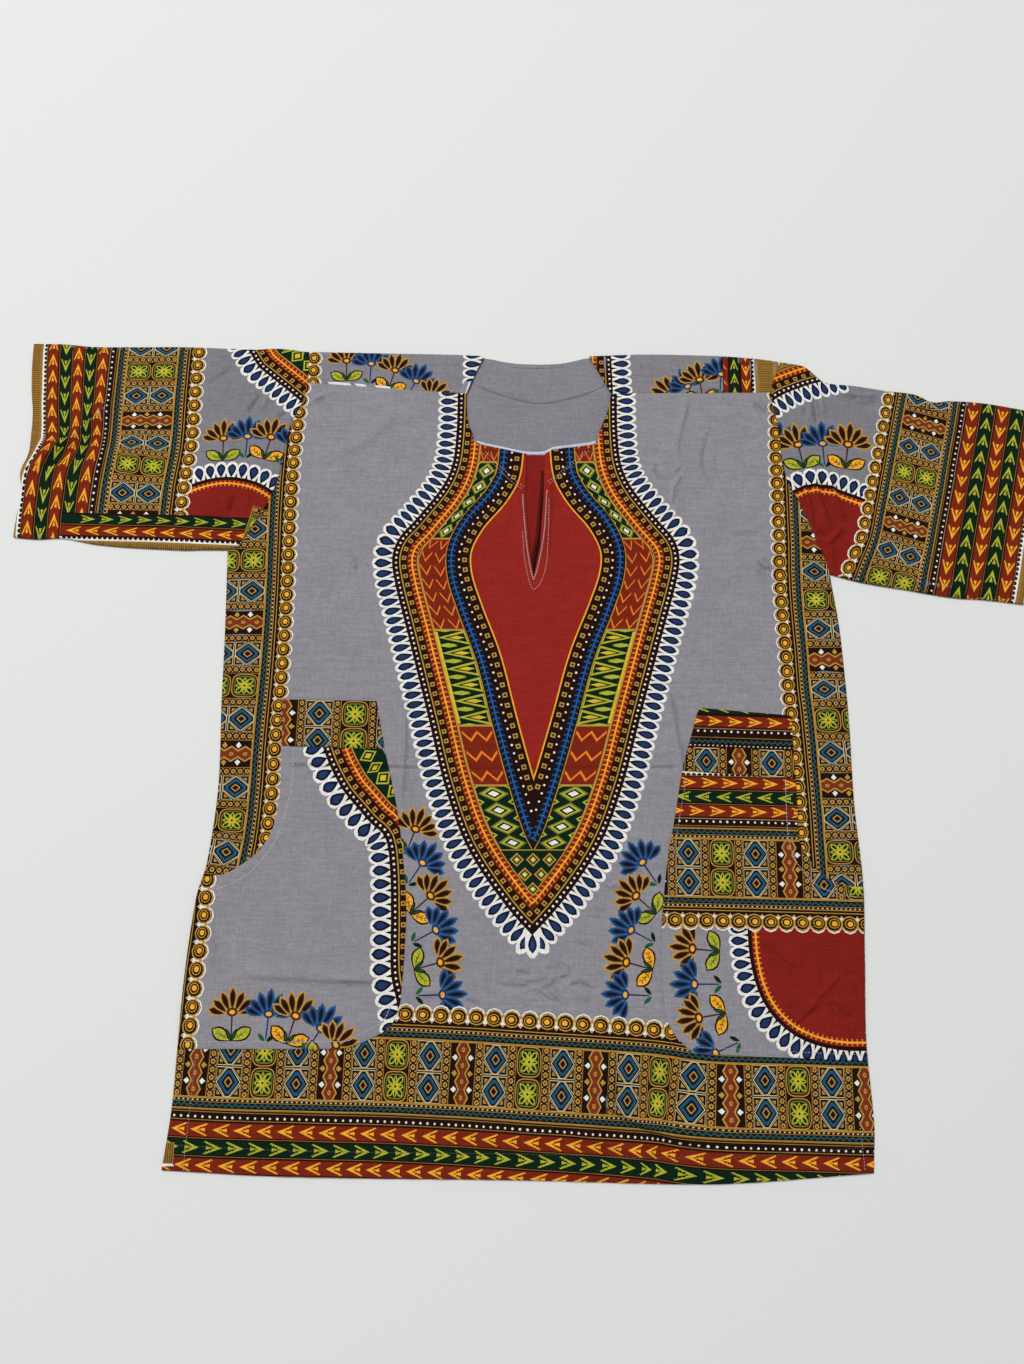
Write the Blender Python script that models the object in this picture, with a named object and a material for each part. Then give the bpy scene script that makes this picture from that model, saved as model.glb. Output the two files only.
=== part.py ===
"""A dashiki shirt, laid flat on its back: one pull-over body of a front and a back
panel, two wide short sleeves, two hip pockets with a curved hand opening, and a
round neck with a V slit.  Metres, +Z up, -Y towards the hem, +X towards the sleeve
that hangs a little, which is the wearer's left one.  The cloth rests on z = 0.
In the tables NEG and POS are the -X and +X sides.

Each piece that a maker cuts is one closed solid, with real walls of cloth and
0.3 mm of air to its neighbours at the seams.
"""
import math
from collections import namedtuple

import bpy
import bmesh
from mathutils import Vector
from mathutils.geometry import delaunay_2d_cdt

# ---------------------------------------------------------------- driving sizes
CLOTH = 0.0010          # wall of the cotton cloth
AIR = 0.00031           # air between pieces at a seam
SEAM = 0.00040          # air across the curved armhole seams
ON_TOP = 0.00034        # air under a piece that lies on the front's slopes
EDGE_LOW = CLOTH + AIR                  # underside of the front at side seams and hem
FRONT_LOW = 2 * (CLOTH + AIR)           # and further in, over the neck facings
EDGE_FALL = 0.022       # width over which the front comes down to its edges
SHOULDER_R = (FRONT_LOW + CLOTH) / 2    # outer radius of the fold over the shoulder
CELL = 0.030            # spacing of the free points inside a panel
SLEEVE_EDGE = 0.0026    # height of a sleeve at its two long folds
SLEEVE_LOFT = 0.0016    # how far the upper layer of a sleeve stands above that

# ------------------------------------------------------------- tables of the cut
# Sizes are from the body's centre line and from the bust line, in metres.
Side = namedtuple("Side", "y x")
Top = namedtuple("Top", "x y")
Pt = namedtuple("Pt", "x y")
Fold = namedtuple("Fold", "x0 y0 x1 y1 width height")

SIDE_NEG = [Side(0.1361, -0.3062), Side(0.0427, -0.3029), Side(-0.0180, -0.3017),
            Side(-0.0962, -0.2990), Side(-0.1715, -0.3043), Side(-0.2082, -0.3128),
            Side(-0.2968, -0.3188), Side(-0.3815, -0.3202), Side(-0.4386, -0.3252)]
SIDE_POS = [Side(0.1105, 0.2975), Side(0.0427, 0.3033), Side(-0.0379, 0.3048),
            Side(-0.1153, 0.3034), Side(-0.1899, 0.3058), Side(-0.2618, 0.3017),
            Side(-0.3396, 0.2970), Side(-0.3980, 0.2983), Side(-0.4410, 0.2946)]
HEM = [Top(-0.3252, -0.4386), Top(-0.2046, -0.4442), Top(-0.0130, -0.4466),
       Top(0.1435, -0.4498), Top(0.2946, -0.4410)]
ARM_NEG = [Pt(-0.3062, 0.1361), Pt(-0.2934, 0.1430), Pt(-0.2798, 0.1663),
           Pt(-0.2661, 0.1926), Pt(-0.2567, 0.2259), Pt(-0.2500, 0.2720),
           Pt(-0.2404, 0.2960), Pt(-0.2346, 0.3230), Pt(-0.2342, 0.3596)]
ARM_POS = [Pt(0.2975, 0.1105), Pt(0.2953, 0.1211), Pt(0.2828, 0.1576),
           Pt(0.2709, 0.1904), Pt(0.2598, 0.2169), Pt(0.2556, 0.2722),
           Pt(0.2507, 0.3114), Pt(0.2630, 0.3477)]
# the fold over the shoulders, neck point to armhole
CREST_NEG = [Top(-0.2342, 0.3596), Top(-0.1400, 0.3575), Top(-0.0750, 0.3560),
             Top(-0.0503, 0.3545)]
CREST_POS = [Top(0.0620, 0.3545), Top(0.1200, 0.3565), Top(0.1900, 0.3550),
             Top(0.2266, 0.3525), Top(0.2630, 0.3477)]
# the seam where the shoulder strip, part of the back, meets the front
YOKE_NEG = [Top(-0.2346, 0.3230), Top(-0.0681, 0.3102)]
YOKE_POS = [Top(0.0837, 0.3102), Top(0.2507, 0.3114)]
# neckline of the front panel, from one strip to the other
NECK_FRONT = [Pt(-0.0681, 0.3102), Pt(-0.0679, 0.2915), Pt(-0.0658, 0.2768),
              Pt(-0.0616, 0.2651), Pt(-0.0562, 0.2536), Pt(-0.0285, 0.2463),
              Pt(-0.0050, 0.2410), Pt(0.0140, 0.2414), Pt(0.0215, 0.2457),
              Pt(0.0441, 0.2492), Pt(0.0666, 0.2536), Pt(0.0708, 0.2680),
              Pt(0.0792, 0.2885), Pt(0.0837, 0.3102)]
# neckline of the back panel, from fold to fold
NECK_BACK = [Pt(-0.0503, 0.3545), Pt(-0.0316, 0.3490), Pt(-0.0126, 0.3462),
             Pt(0.0117, 0.3454), Pt(0.0318, 0.3465), Pt(0.0496, 0.3504),
             Pt(0.0620, 0.3545)]
SLIT_NEG = [Pt(-0.0050, 0.2410), Pt(-0.0067, 0.1918), Pt(-0.0029, 0.1391)]
SLIT_TIP = Pt(0.0015, 0.1062)
SLIT_POS = [Pt(0.0080, 0.1391), Pt(0.0119, 0.1918), Pt(0.0140, 0.2414)]
FACING_ARC = [Pt(-0.0589, 0.3219), Pt(-0.0380, 0.3120), Pt(0.0062, 0.2998),
              Pt(0.0500, 0.3080), Pt(0.0760, 0.3200)]

# pockets: hand opening from the top down to the side seam, then the inner edge
HAND_NEG = [Pt(-0.2408, -0.0643), Pt(-0.2398, -0.0900), Pt(-0.2399, -0.1173),
            Pt(-0.2455, -0.1465), Pt(-0.2570, -0.1642), Pt(-0.2724, -0.1767),
            Pt(-0.2877, -0.1850), Pt(-0.3030, -0.1863)]
INNER_NEG = [Pt(-0.3160, -0.3384), Pt(-0.1753, -0.3384), Pt(-0.1581, -0.3345),
             Pt(-0.1311, -0.3209), Pt(-0.1222, -0.3029), Pt(-0.1203, -0.2881),
             Pt(-0.1181, -0.2503), Pt(-0.1183, -0.2055), Pt(-0.1269, -0.1342),
             Pt(-0.1419, -0.0673)]
BAND_NEG = [Pt(-0.2408, -0.0643), Pt(-0.1419, -0.0673), Pt(-0.1519, -0.0180),
            Pt(-0.2417, -0.0170)]
HAND_POS = [Pt(0.2490, -0.0958), Pt(0.2487, -0.1250), Pt(0.2483, -0.1520),
            Pt(0.2550, -0.1677), Pt(0.2662, -0.1845), Pt(0.2841, -0.1936),
            Pt(0.3020, -0.1966)]
INNER_POS = [Pt(0.2930, -0.3486), Pt(0.1428, -0.3425), Pt(0.1341, -0.3356),
             Pt(0.1227, -0.3218), Pt(0.1178, -0.3060), Pt(0.1167, -0.2812),
             Pt(0.1178, -0.2270), Pt(0.1255, -0.1677), Pt(0.1329, -0.1336),
             Pt(0.1414, -0.0885)]
BAND_POS = [Pt(0.2490, -0.0958), Pt(0.1414, -0.0885), Pt(0.1600, -0.0270),
            Pt(0.2490, -0.0345)]

# sleeves: how far each long edge strays from a straight line, by the share of
# the way from the armhole to the cuff, and the cuff's own line
Stray = namedtuple("Stray", "s top bottom")
STRAY_NEG = [Stray(0.00, 0.0000, 0.0000), Stray(0.12, 0.0030, -0.0015),
             Stray(0.20, 0.0010, -0.0030), Stray(0.45, 0.0015, -0.0035),
             Stray(0.60, 0.0000, -0.0025), Stray(0.78, -0.0015, 0.0020),
             Stray(0.90, 0.0005, -0.0005), Stray(1.00, 0.0000, 0.0000)]
STRAY_POS = [Stray(0.00, 0.0000, 0.0000), Stray(0.08, 0.0010, -0.0020),
             Stray(0.17, -0.0140, -0.0035), Stray(0.28, -0.0110, -0.0040),
             Stray(0.40, -0.0095, -0.0040), Stray(0.50, -0.0070, -0.0045),
             Stray(0.57, -0.0120, -0.0047), Stray(0.64, -0.0065, -0.0045),
             Stray(0.80, -0.0010, -0.0015), Stray(1.00, 0.0000, 0.0000)]
CUFF_NEG = [Pt(-0.5235, 0.1500), Pt(-0.5222, 0.1734), Pt(-0.5203, 0.1996),
            Pt(-0.5240, 0.2214), Pt(-0.5178, 0.2457), Pt(-0.5189, 0.2852),
            Pt(-0.5243, 0.3230), Pt(-0.5272, 0.3695)]
CUFF_POS = [Pt(0.4870, 0.0790), Pt(0.4985, 0.1260), Pt(0.5115, 0.1800),
            Pt(0.5240, 0.2310), Pt(0.5370, 0.2870)]

# the largest folds of the front, as soft ridges from one point to another
FRONT_FOLDS = [
    Fold(0.150, -0.395, 0.262, -0.405, 0.016, 0.0034),
    Fold(-0.015, -0.384, 0.130, -0.399, 0.014, 0.0022),
    Fold(0.196, 0.262, 0.238, 0.160, 0.015, 0.0030),
    Fold(-0.190, 0.262, -0.108, 0.292, 0.018, 0.0018),
    Fold(0.128, 0.286, 0.176, 0.188, 0.016, 0.0020),
    Fold(-0.286, 0.040, -0.262, -0.060, 0.015, 0.0020),
    Fold(0.284, 0.020, 0.272, -0.092, 0.015, 0.0024),
    Fold(0.205, -0.232, 0.262, -0.300, 0.016, 0.0026),
    Fold(0.262, -0.236, 0.212, -0.286, 0.016, 0.0020),
    Fold(-0.276, -0.292, -0.172, -0.296, 0.016, 0.0018),
    Fold(-0.020, -0.282, 0.030, -0.306, 0.015, 0.0018),
]
# and of the sleeves' upper layers, in shares from armhole to cuff (x) and from
# the lower to the upper long edge (y); width in shares of the sleeve's length
SLEEVE_FOLDS_NEG = [Fold(0.28, 0.10, 0.10, 0.55, 0.09, 0.0026),
                    Fold(0.93, 0.30, 0.99, 0.58, 0.05, 0.0032),
                    Fold(0.62, 0.20, 0.55, 0.80, 0.08, 0.0014)]
SLEEVE_FOLDS_POS = [Fold(0.04, 0.10, 0.16, 0.62, 0.08, 0.0050),
                    Fold(0.20, 0.06, 0.34, 0.52, 0.08, 0.0036),
                    Fold(0.14, 0.92, 0.34, 0.70, 0.08, 0.0036),
                    Fold(0.55, 0.82, 0.66, 0.40, 0.08, 0.0026),
                    Fold(0.80, 0.14, 0.84, 0.60, 0.07, 0.0022)]

Finish = namedtuple("Finish", "colour roughness")
GREY_CLOTH = Finish((0.26, 0.25, 0.28), 0.85)
BORDER_CLOTH = Finish((0.32, 0.19, 0.07), 0.85)
RED_CLOTH = Finish((0.30, 0.02, 0.015), 0.85)


# -------------------------------------------------------------------- curve maths
def along(rows, at, key, value):
    """Smooth value of a table of rows at a place, monotone between rows."""
    xs = [getattr(r, key) for r in rows]
    ys = [getattr(r, value) for r in rows]
    if xs[0] > xs[-1]:
        xs, ys = xs[::-1], ys[::-1]
    if at <= xs[0]:
        return ys[0]
    if at >= xs[-1]:
        return ys[-1]
    k = next(i for i in range(len(xs) - 1) if at <= xs[i + 1])
    slopes = [(ys[i + 1] - ys[i]) / (xs[i + 1] - xs[i]) for i in range(len(xs) - 1)]

    def knot(i):
        if i == 0:
            return slopes[0]
        if i == len(xs) - 1:
            return slopes[-1]
        a, b = slopes[i - 1], slopes[i]
        return 0.0 if a * b <= 0 else 2 * a * b / (a + b)

    h = xs[k + 1] - xs[k]
    u = (at - xs[k]) / h
    return ((1 + 2 * u) * (1 - u) ** 2 * ys[k] + u * (1 - u) ** 2 * h * knot(k)
            + u * u * (3 - 2 * u) * ys[k + 1] + u * u * (u - 1) * h * knot(k + 1))


def rounded(points, step):
    """A Catmull-Rom line through the points, with about one point per step."""
    ps = [Vector((p.x, p.y)) for p in points]
    ends = [2 * ps[0] - ps[1]] + ps + [2 * ps[-1] - ps[-2]]
    out = []
    for i in range(1, len(ends) - 2):
        a, b, c, d = ends[i - 1:i + 3]
        n = max(1, round((c - b).length / step))
        for k in range(n):
            u = k / n
            out.append(0.5 * (2 * b + (c - a) * u + (2 * a - 5 * b + 4 * c - d) * u * u
                              + (3 * b - a - 3 * c + d) * u ** 3))
    return out + [ps[-1]]


def shared(points, count):
    """count + 1 points at even shares of the length of the rounded line."""
    line = rounded(points, 0.004)
    run = [0.0]
    for a, b in zip(line, line[1:]):
        run.append(run[-1] + (b - a).length)
    out, j = [], 0
    for k in range(count + 1):
        goal = run[-1] * k / count
        while j < len(line) - 2 and run[j + 1] < goal:
            j += 1
        u = 0 if run[j + 1] == run[j] else (goal - run[j]) / (run[j + 1] - run[j])
        out.append(line[j].lerp(line[j + 1], min(1.0, u)))
    return out


def thinned(loop, least):
    out = []
    for p in loop:
        if not out or (p - out[-1]).length > least:
            out.append(p)
    while (out[0] - out[-1]).length <= least:
        out.pop()
    return out


def moved_out(line, by):
    """The line moved sideways by a distance, to the right of its direction if > 0."""
    out = []
    for i, p in enumerate(line):
        a = (p - line[i - 1]).normalized() if i else None
        b = (line[i + 1] - p).normalized() if i + 1 < len(line) else None
        a, b = a or b, b or a
        d = (a + b).normalized()
        right = Vector((d.y, -d.x))
        out.append(p + right * (by / max(0.5, a.dot(d))))
    return out


def inside(p, loop):
    hit = False
    for a, b in zip(loop, loop[1:] + loop[:1]):
        if (a.y > p.y) != (b.y > p.y):
            if p.x < a.x + (p.y - a.y) * (b.x - a.x) / (b.y - a.y):
                hit = not hit
    return hit


def to_line(p, a, b):
    d = b - a
    u = max(0.0, min(1.0, (p - a).dot(d) / max(d.length_squared, 1e-12)))
    return (p - a - d * u).length, u


def to_loop(p, loop, closed=True):
    pairs = zip(loop, loop[1:] + loop[:1]) if closed else zip(loop, loop[1:])
    return min(to_line(p, a, b)[0] for a, b in pairs)


def smooth(u):
    u = max(0.0, min(1.0, u))
    return u * u * (3 - 2 * u)


def ridges(p, folds):
    """Height of the soft ridges at a place: rounded across, fading at both ends."""
    total = 0.0
    for f in folds:
        off, u = to_line(p, Vector((f.x0, f.y0)), Vector((f.x1, f.y1)))
        if off < f.width:
            fade = smooth(u / 0.3) * smooth((1 - u) / 0.3)
            total += f.height * fade * (1 - smooth(off / f.width))
    return total


# ------------------------------------------------------------------ solids of cloth
def triangulate(loops, free, keep):
    """Triangles of a flat piece: its outline loops, free points inside, and keep()
    says which triangles belong to it."""
    points, edges = [], []
    for loop, closed in loops:
        start = len(points)
        points += loop
        n = len(loop)
        edges += [(start + i, start + (i + 1) % n) for i in range(n if closed else n - 1)]
    points += free
    made = delaunay_2d_cdt(points, edges, [], 0, 1e-6, False)
    verts, faces = made[0], made[2]
    out = []
    for f in faces:
        a, b, c = (verts[i] for i in f)
        if abs((b - a).cross(c - a)) > 1e-9 and keep((a + b + c) / 3):
            out.append(tuple(f) if (b - a).cross(c - a) > 0 else tuple(reversed(f)))
    return verts, out


def free_points(loops, cell, keep, extra=()):
    """Free points on a staggered grid, and extra ones, all clear of the outlines."""
    xs = [p.x for loop, _ in loops for p in loop]
    ys = [p.y for loop, _ in loops for p in loop]
    out = list(extra)
    row, y = 0, min(ys)
    while y < max(ys):
        x = min(xs) + (cell / 2 if row % 2 else 0)
        while x < max(xs):
            out.append(Vector((x, y)))
            x += cell
        row, y = row + 1, y + cell * 0.866
    kept = []
    for i, p in enumerate(out):
        near = cell * (0.18 if i < len(extra) else 0.45)
        if keep(p) and all(to_loop(p, loop, closed) > near for loop, closed in loops):
            if all((p - q).length > near for q in kept):
                kept.append(p)
    return kept


def shell(name, verts, faces, place, finish):
    """A closed wall of cloth: place(p, side) puts a flat point on the piece's lower
    (side 0) or upper (side 1) face."""
    used = sorted({i for f in faces for i in f})
    bm = bmesh.new()
    low = {i: bm.verts.new(place(verts[i], 0)) for i in used}
    high = {i: bm.verts.new(place(verts[i], 1)) for i in used}
    rim = {}
    for a, b, c in faces:
        bm.faces.new((high[a], high[b], high[c]))
        bm.faces.new((low[c], low[b], low[a]))
        for e in ((a, b), (b, c), (c, a)):
            if (e[1], e[0]) in rim:
                del rim[(e[1], e[0])]
            else:
                rim[e] = True
    for a, b in rim:
        bm.faces.new((low[a], low[b], high[b], high[a]))
    return finished(name, bm, finish)


def finished(name, bm, finish):
    bmesh.ops.recalc_face_normals(bm, faces=bm.faces)
    mesh = bpy.data.meshes.new(name)
    bm.to_mesh(mesh)
    bm.free()
    obj = bpy.data.objects.new(name, mesh)
    bpy.context.scene.collection.objects.link(obj)
    mesh.shade_smooth()
    mesh.set_sharp_from_angle(angle=math.radians(50))
    mat = bpy.data.materials.new(name + "_cloth")
    mat.use_nodes = True
    node = mat.node_tree.nodes["Principled BSDF"]
    node.inputs["Base Color"].default_value = (*finish.colour, 1)
    node.inputs["Roughness"].default_value = finish.roughness
    node.inputs["Metallic"].default_value = 0.0
    mesh.materials.append(mat)
    return obj


# ------------------------------------------------------------------------ outlines
ARM_STEPS = 14
arm_neg, arm_pos = shared(ARM_NEG, ARM_STEPS), shared(ARM_POS, ARM_STEPS)


def cut_at(points, y):
    """The part of an armhole line below y, ended exactly there."""
    out = [p for p in points if p.y < y - 0.002]
    a = out[-1]
    b = next(p for p in points if p.y >= y - 0.002)
    u = (y - a.y) / (b.y - a.y)
    return out + [a.lerp(b, u)]


def side_line(rows, step=0.045):
    top, low = rows[0].y, rows[-1].y
    n = round((top - low) / step)
    return [Vector((along(rows, top + (low - top) * k / n, "y", "x"),
                    top + (low - top) * k / n)) for k in range(n + 1)]


def top_line(rows, x0, x1, count):
    return [Vector((x0 + (x1 - x0) * k / count,
                    along(rows, x0 + (x1 - x0) * k / count, "x", "y")))
            for k in range(count + 1)]


def up(points, by):
    return [Vector((p.x, p.y + by)) for p in points]


# front: hem, side, armhole, seam under the shoulder strip, neckline with the slit
sides_neg, sides_pos = side_line(SIDE_NEG), side_line(SIDE_POS)
hem = top_line(HEM, HEM[0].x, HEM[-1].x, 14)
neck = rounded(NECK_FRONT, 0.011)
slit_top_neg = min(range(len(neck)), key=lambda i: (neck[i] - Vector(SLIT_NEG[0])).length)
slit_top_pos = min(range(len(neck)), key=lambda i: (neck[i] - Vector(SLIT_POS[-1])).length)
slit = [Vector(p) for p in SLIT_NEG[1:]] + [Vector(SLIT_TIP)] + [Vector(p) for p in SLIT_POS[:-1]]
neck_with_slit = neck[:slit_top_neg + 1] + slit + neck[slit_top_pos:]
front_loop = thinned(
    hem + sides_pos[::-1][1:] + cut_at(arm_pos, YOKE_POS[1].y - AIR)[1:]
    + up(top_line(YOKE_POS, YOKE_POS[1].x - 0.0005, YOKE_POS[0].x, 6), -AIR)
    + neck_with_slit[::-1][1:-1]
    + up(top_line(YOKE_NEG, YOKE_NEG[1].x, YOKE_NEG[0].x + 0.0005, 6), -AIR)
    + cut_at(arm_neg, YOKE_NEG[0].y - AIR)[::-1]
    + sides_neg[1:-1], 0.0015)


def front_low(p):
    """Underside of the front: down at the side seams and the hem, up with its folds."""
    rim = min(to_loop(p, sides_neg, False), to_loop(p, sides_pos, False),
              to_loop(p, hem, False))
    return EDGE_LOW + (FRONT_LOW - EDGE_LOW) * smooth(rim / EDGE_FALL) \
        + ridges(p, FRONT_FOLDS) * smooth(rim / EDGE_FALL)


def on_side(rows, p):
    """A pocket's outer end, just inside the side seam at its height."""
    inward = 0.0006 if p.x < 0 else -0.0006
    return Vector((along(rows, p.y, "y", "x") + inward, p.y))


def pocket_loop(hand, inner, rows):
    mouth = rounded(hand, 0.016)
    mouth[-1] = on_side(rows, mouth[-1])
    foot = on_side(rows, Vector(inner[0]))
    run = [Vector((along(rows, mouth[-1].y + (foot.y - mouth[-1].y) * k / 4, "y", "x")
                   + (0.0006 if foot.x < 0 else -0.0006),
                   mouth[-1].y + (foot.y - mouth[-1].y) * k / 4)) for k in range(1, 4)]
    edge = [foot] + [Vector(p) for p in inner[1:]]
    return thinned(mouth + run + edge, 0.0015)


pockets = {
    "pocket_right": pocket_loop(HAND_NEG, INNER_NEG, SIDE_NEG),
    "pocket_left": pocket_loop(HAND_POS, INNER_POS, SIDE_POS),
}
bands = {
    "pocket_band_right": [Vector((p.x, p.y)) for p in BAND_NEG],
    "pocket_band_left": [Vector((p.x, p.y)) for p in BAND_POS],
}


def seam_gap(loop, by):
    """A band's lower edge, lifted by the air at its seam to the pocket."""
    return [Vector((p.x, p.y + (by if i < 2 else 0.0))) for i, p in enumerate(loop)]


bands = {k: seam_gap(v, ON_TOP) for k, v in bands.items()}


def build_front():
    loops = [(front_loop, True)] + [(l, True) for l in [*pockets.values(), *bands.values()]]

    def keep(p):
        return inside(p, front_loop)

    crests = []
    for f in FRONT_FOLDS:
        a, b = Vector((f.x0, f.y0)), Vector((f.x1, f.y1))
        n = max(2, round((b - a).length / 0.020))
        out = (b - a).orthogonal().normalized() * f.width
        for k in range(n + 1):
            crests += [a.lerp(b, k / n) + out * w for w in (0.0, 0.55, -0.55, 1.05, -1.05)]
    outline = [(front_loop, True)]
    rails = [p for p in front_loop if to_loop(p, sides_neg, False) < 0.001
             or to_loop(p, sides_pos, False) < 0.001 or to_loop(p, hem, False) < 0.001]
    centre = Vector((0.0, -0.1))
    fall = [p + (centre - p).normalized() * EDGE_FALL for p in rails]
    free = free_points(loops, CELL, keep, extra=crests + fall)
    verts, faces = triangulate(loops, free, keep)
    low = {i: front_low(v) for i, v in enumerate(verts)}
    index = {(round(v.x, 7), round(v.y, 7)): i for i, v in enumerate(verts)}

    def height(p):
        return low[index[(round(p.x, 7), round(p.y, 7))]]

    def place(p, side):
        return Vector((p.x, p.y, height(p) + side * CLOTH))

    front = shell("front_panel", verts, faces, place, GREY_CLOTH)

    # what lies on the front is made from the front's own points, moved out
    def on_front(p, side):
        return Vector((p.x, p.y, height(p) + CLOTH + ON_TOP + side * CLOTH))

    made = [front]
    for name, loop in [*pockets.items(), *bands.items()]:
        mine = [f for f in faces
                if inside((verts[f[0]] + verts[f[1]] + verts[f[2]]) / 3, loop)]
        finish = GREY_CLOTH if name == "pocket_right" else BORDER_CLOTH
        made.append(shell(name, verts, mine, on_front, finish))
    return made


# ----------------------------------------------------------- back, folded forwards
# The back is one flat cut.  Past the shoulder line it turns over and comes down the
# front side as a strip to the yoke seam.  In the cut, w is the way up the cloth.
def crest(x):
    rows = CREST_NEG if x < 0 else CREST_POS
    return along(rows, x, "x", "y")


TURN = math.pi * (SHOULDER_R - CLOTH / 2)      # length of cloth in the half round


def back_place(p, side):
    """Flat cut point to its place: side 0 is the outer face of the shirt's back."""
    n = CLOTH if side else 0.0                 # inner face is nearer the fold's middle
    level = crest(p.x) - SHOULDER_R
    over = p.y - level
    if over <= 0:
        return Vector((p.x, p.y, n))
    r = SHOULDER_R - n
    if over < TURN:
        a = math.pi * over / TURN
        return Vector((p.x, level + r * math.sin(a), SHOULDER_R - r * math.cos(a)))
    return Vector((p.x, level - (over - TURN), 2 * SHOULDER_R - n))


def strip_edge(x, rows):
    """Where the strip's lower edge lies in the cut."""
    level = crest(x) - SHOULDER_R
    return level + TURN + level - along(rows, x, "x", "y")


def mirrored(points):
    """Points of the laid shirt's upper layer, taken to their place in the cut."""
    return [Vector((p.x, 2 * (crest(p.x) - SHOULDER_R) + TURN - p.y)) for p in points]


def shoulder_cut(arm, yoke, neck_point, seam_x, neck_x):
    """The strip of one shoulder in the cut: armhole edge, yoke edge, neck edge."""
    end = cut_at(arm, crest(arm[-1].x) - SHOULDER_R)[-1]
    level = crest(end.x) - SHOULDER_R
    up_arm = [p for p in arm if p.y < level - 0.004]
    turn = [Vector((end.x, level + TURN * k / 6)) for k in range(7)]
    seam_end = cut_at(arm, along(yoke, seam_x, "x", "y"))[-1]
    over = [p for p in arm if seam_end.y + 0.0006 < p.y < level - 0.004]
    seam = mirrored([*reversed(over), *top_line(yoke, seam_end.x, neck_x, 6)])
    down = mirrored([Vector((neck_x, along(yoke, neck_x, "x", "y"))).lerp(
        Vector((neck_point.x, crest(neck_point.x) - SHOULDER_R)), u) for u in (0.33, 0.66)])
    level = crest(neck_point.x) - SHOULDER_R
    back = [Vector((neck_point.x, level + TURN * k / 6)) for k in range(6, -1, -1)]
    return up_arm + turn + seam + down + back


def build_back():
    pos = shoulder_cut(arm_pos, YOKE_POS, Pt(0.0620, 0.0), YOKE_POS[1].x, YOKE_POS[0].x)
    neg = shoulder_cut(arm_neg, YOKE_NEG, Pt(-0.0503, 0.0), YOKE_NEG[0].x, YOKE_NEG[1].x)
    nape = [p for p in rounded(NECK_BACK, 0.012)
            if p.y < crest(p.x) - SHOULDER_R - 0.0008]
    loop = thinned(hem + sides_pos[::-1][1:] + pos[1:] + nape[::-1] + neg[::-1]
                   + sides_neg[1:-1], 0.0004)

    def keep(p):
        return inside(p, loop)

    rows = []
    for rows_x in ((CREST_NEG, -0.2200, -0.0620), (CREST_POS, 0.0740, 0.2500)):
        _, x0, x1 = rows_x
        for i in range(10):
            x = x0 + (x1 - x0) * i / 9
            level = crest(x) - SHOULDER_R
            rows += [Vector((x, level + TURN * k / 6)) for k in range(7)]
    free = [p for p in rows if keep(p) and to_loop(p, loop) > 0.0006]
    grid = free_points([(loop, True)], 0.075, keep)
    free += [p for p in grid if p.y < 0.33]
    verts, faces = triangulate([(loop, True)], free, keep)
    return shell("back_panel", verts, faces, back_place, GREY_CLOTH)


# ---------------------------------------------------------------- facings at the neck
def flat_piece(name, loop, low, finish):
    verts, faces = triangulate([(loop, True)], [], lambda p: inside(p, loop))
    return shell(name, verts, faces,
                 lambda p, side: Vector((p.x, p.y, low + side * CLOTH)), finish)


def build_back_facing():
    """Faces the back neckline from inside; its arc is stitched to the back panel."""
    inset = Vector((0.0, -0.0008))
    nape = [p + inset for p in rounded(NECK_BACK, 0.012)
            if p.y < crest(p.x) - 2 * SHOULDER_R]
    ends = [Vector((0.0800, 0.3330)), Vector((-0.0640, 0.3340))]
    arc = rounded(FACING_ARC, 0.012)
    loop = thinned(arc + [ends[0]] + nape[::-1] + [ends[1]], 0.0010)
    return flat_piece("back_neck_facing", loop, CLOTH + AIR, GREY_CLOTH)


def build_front_facing():
    """Faces the front neckline and the slit from inside: a rim shows above the
    neckline, and its middle shows through the slit."""
    rim = [p + Vector((0.0, 0.0034)) for p in neck if -0.057 < p.x < 0.067 and p.y < 0.2540]
    left, right = rim[0], rim[-1]
    loop = rim[::-1] + [Vector((left.x - 0.001, left.y - 0.010)), Vector((-0.0170, 0.2000)),
                        Vector((-0.0150, 0.1500)), Vector((-0.0075, 0.1020)),
                        Vector((0.0015, 0.0900)), Vector((0.0115, 0.1020)),
                        Vector((0.0200, 0.1500)), Vector((0.0225, 0.2000)),
                        Vector((right.x + 0.001, right.y - 0.010))]
    return flat_piece("front_neck_facing", thinned(loop, 0.0010), CLOTH + AIR, RED_CLOTH)


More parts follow.
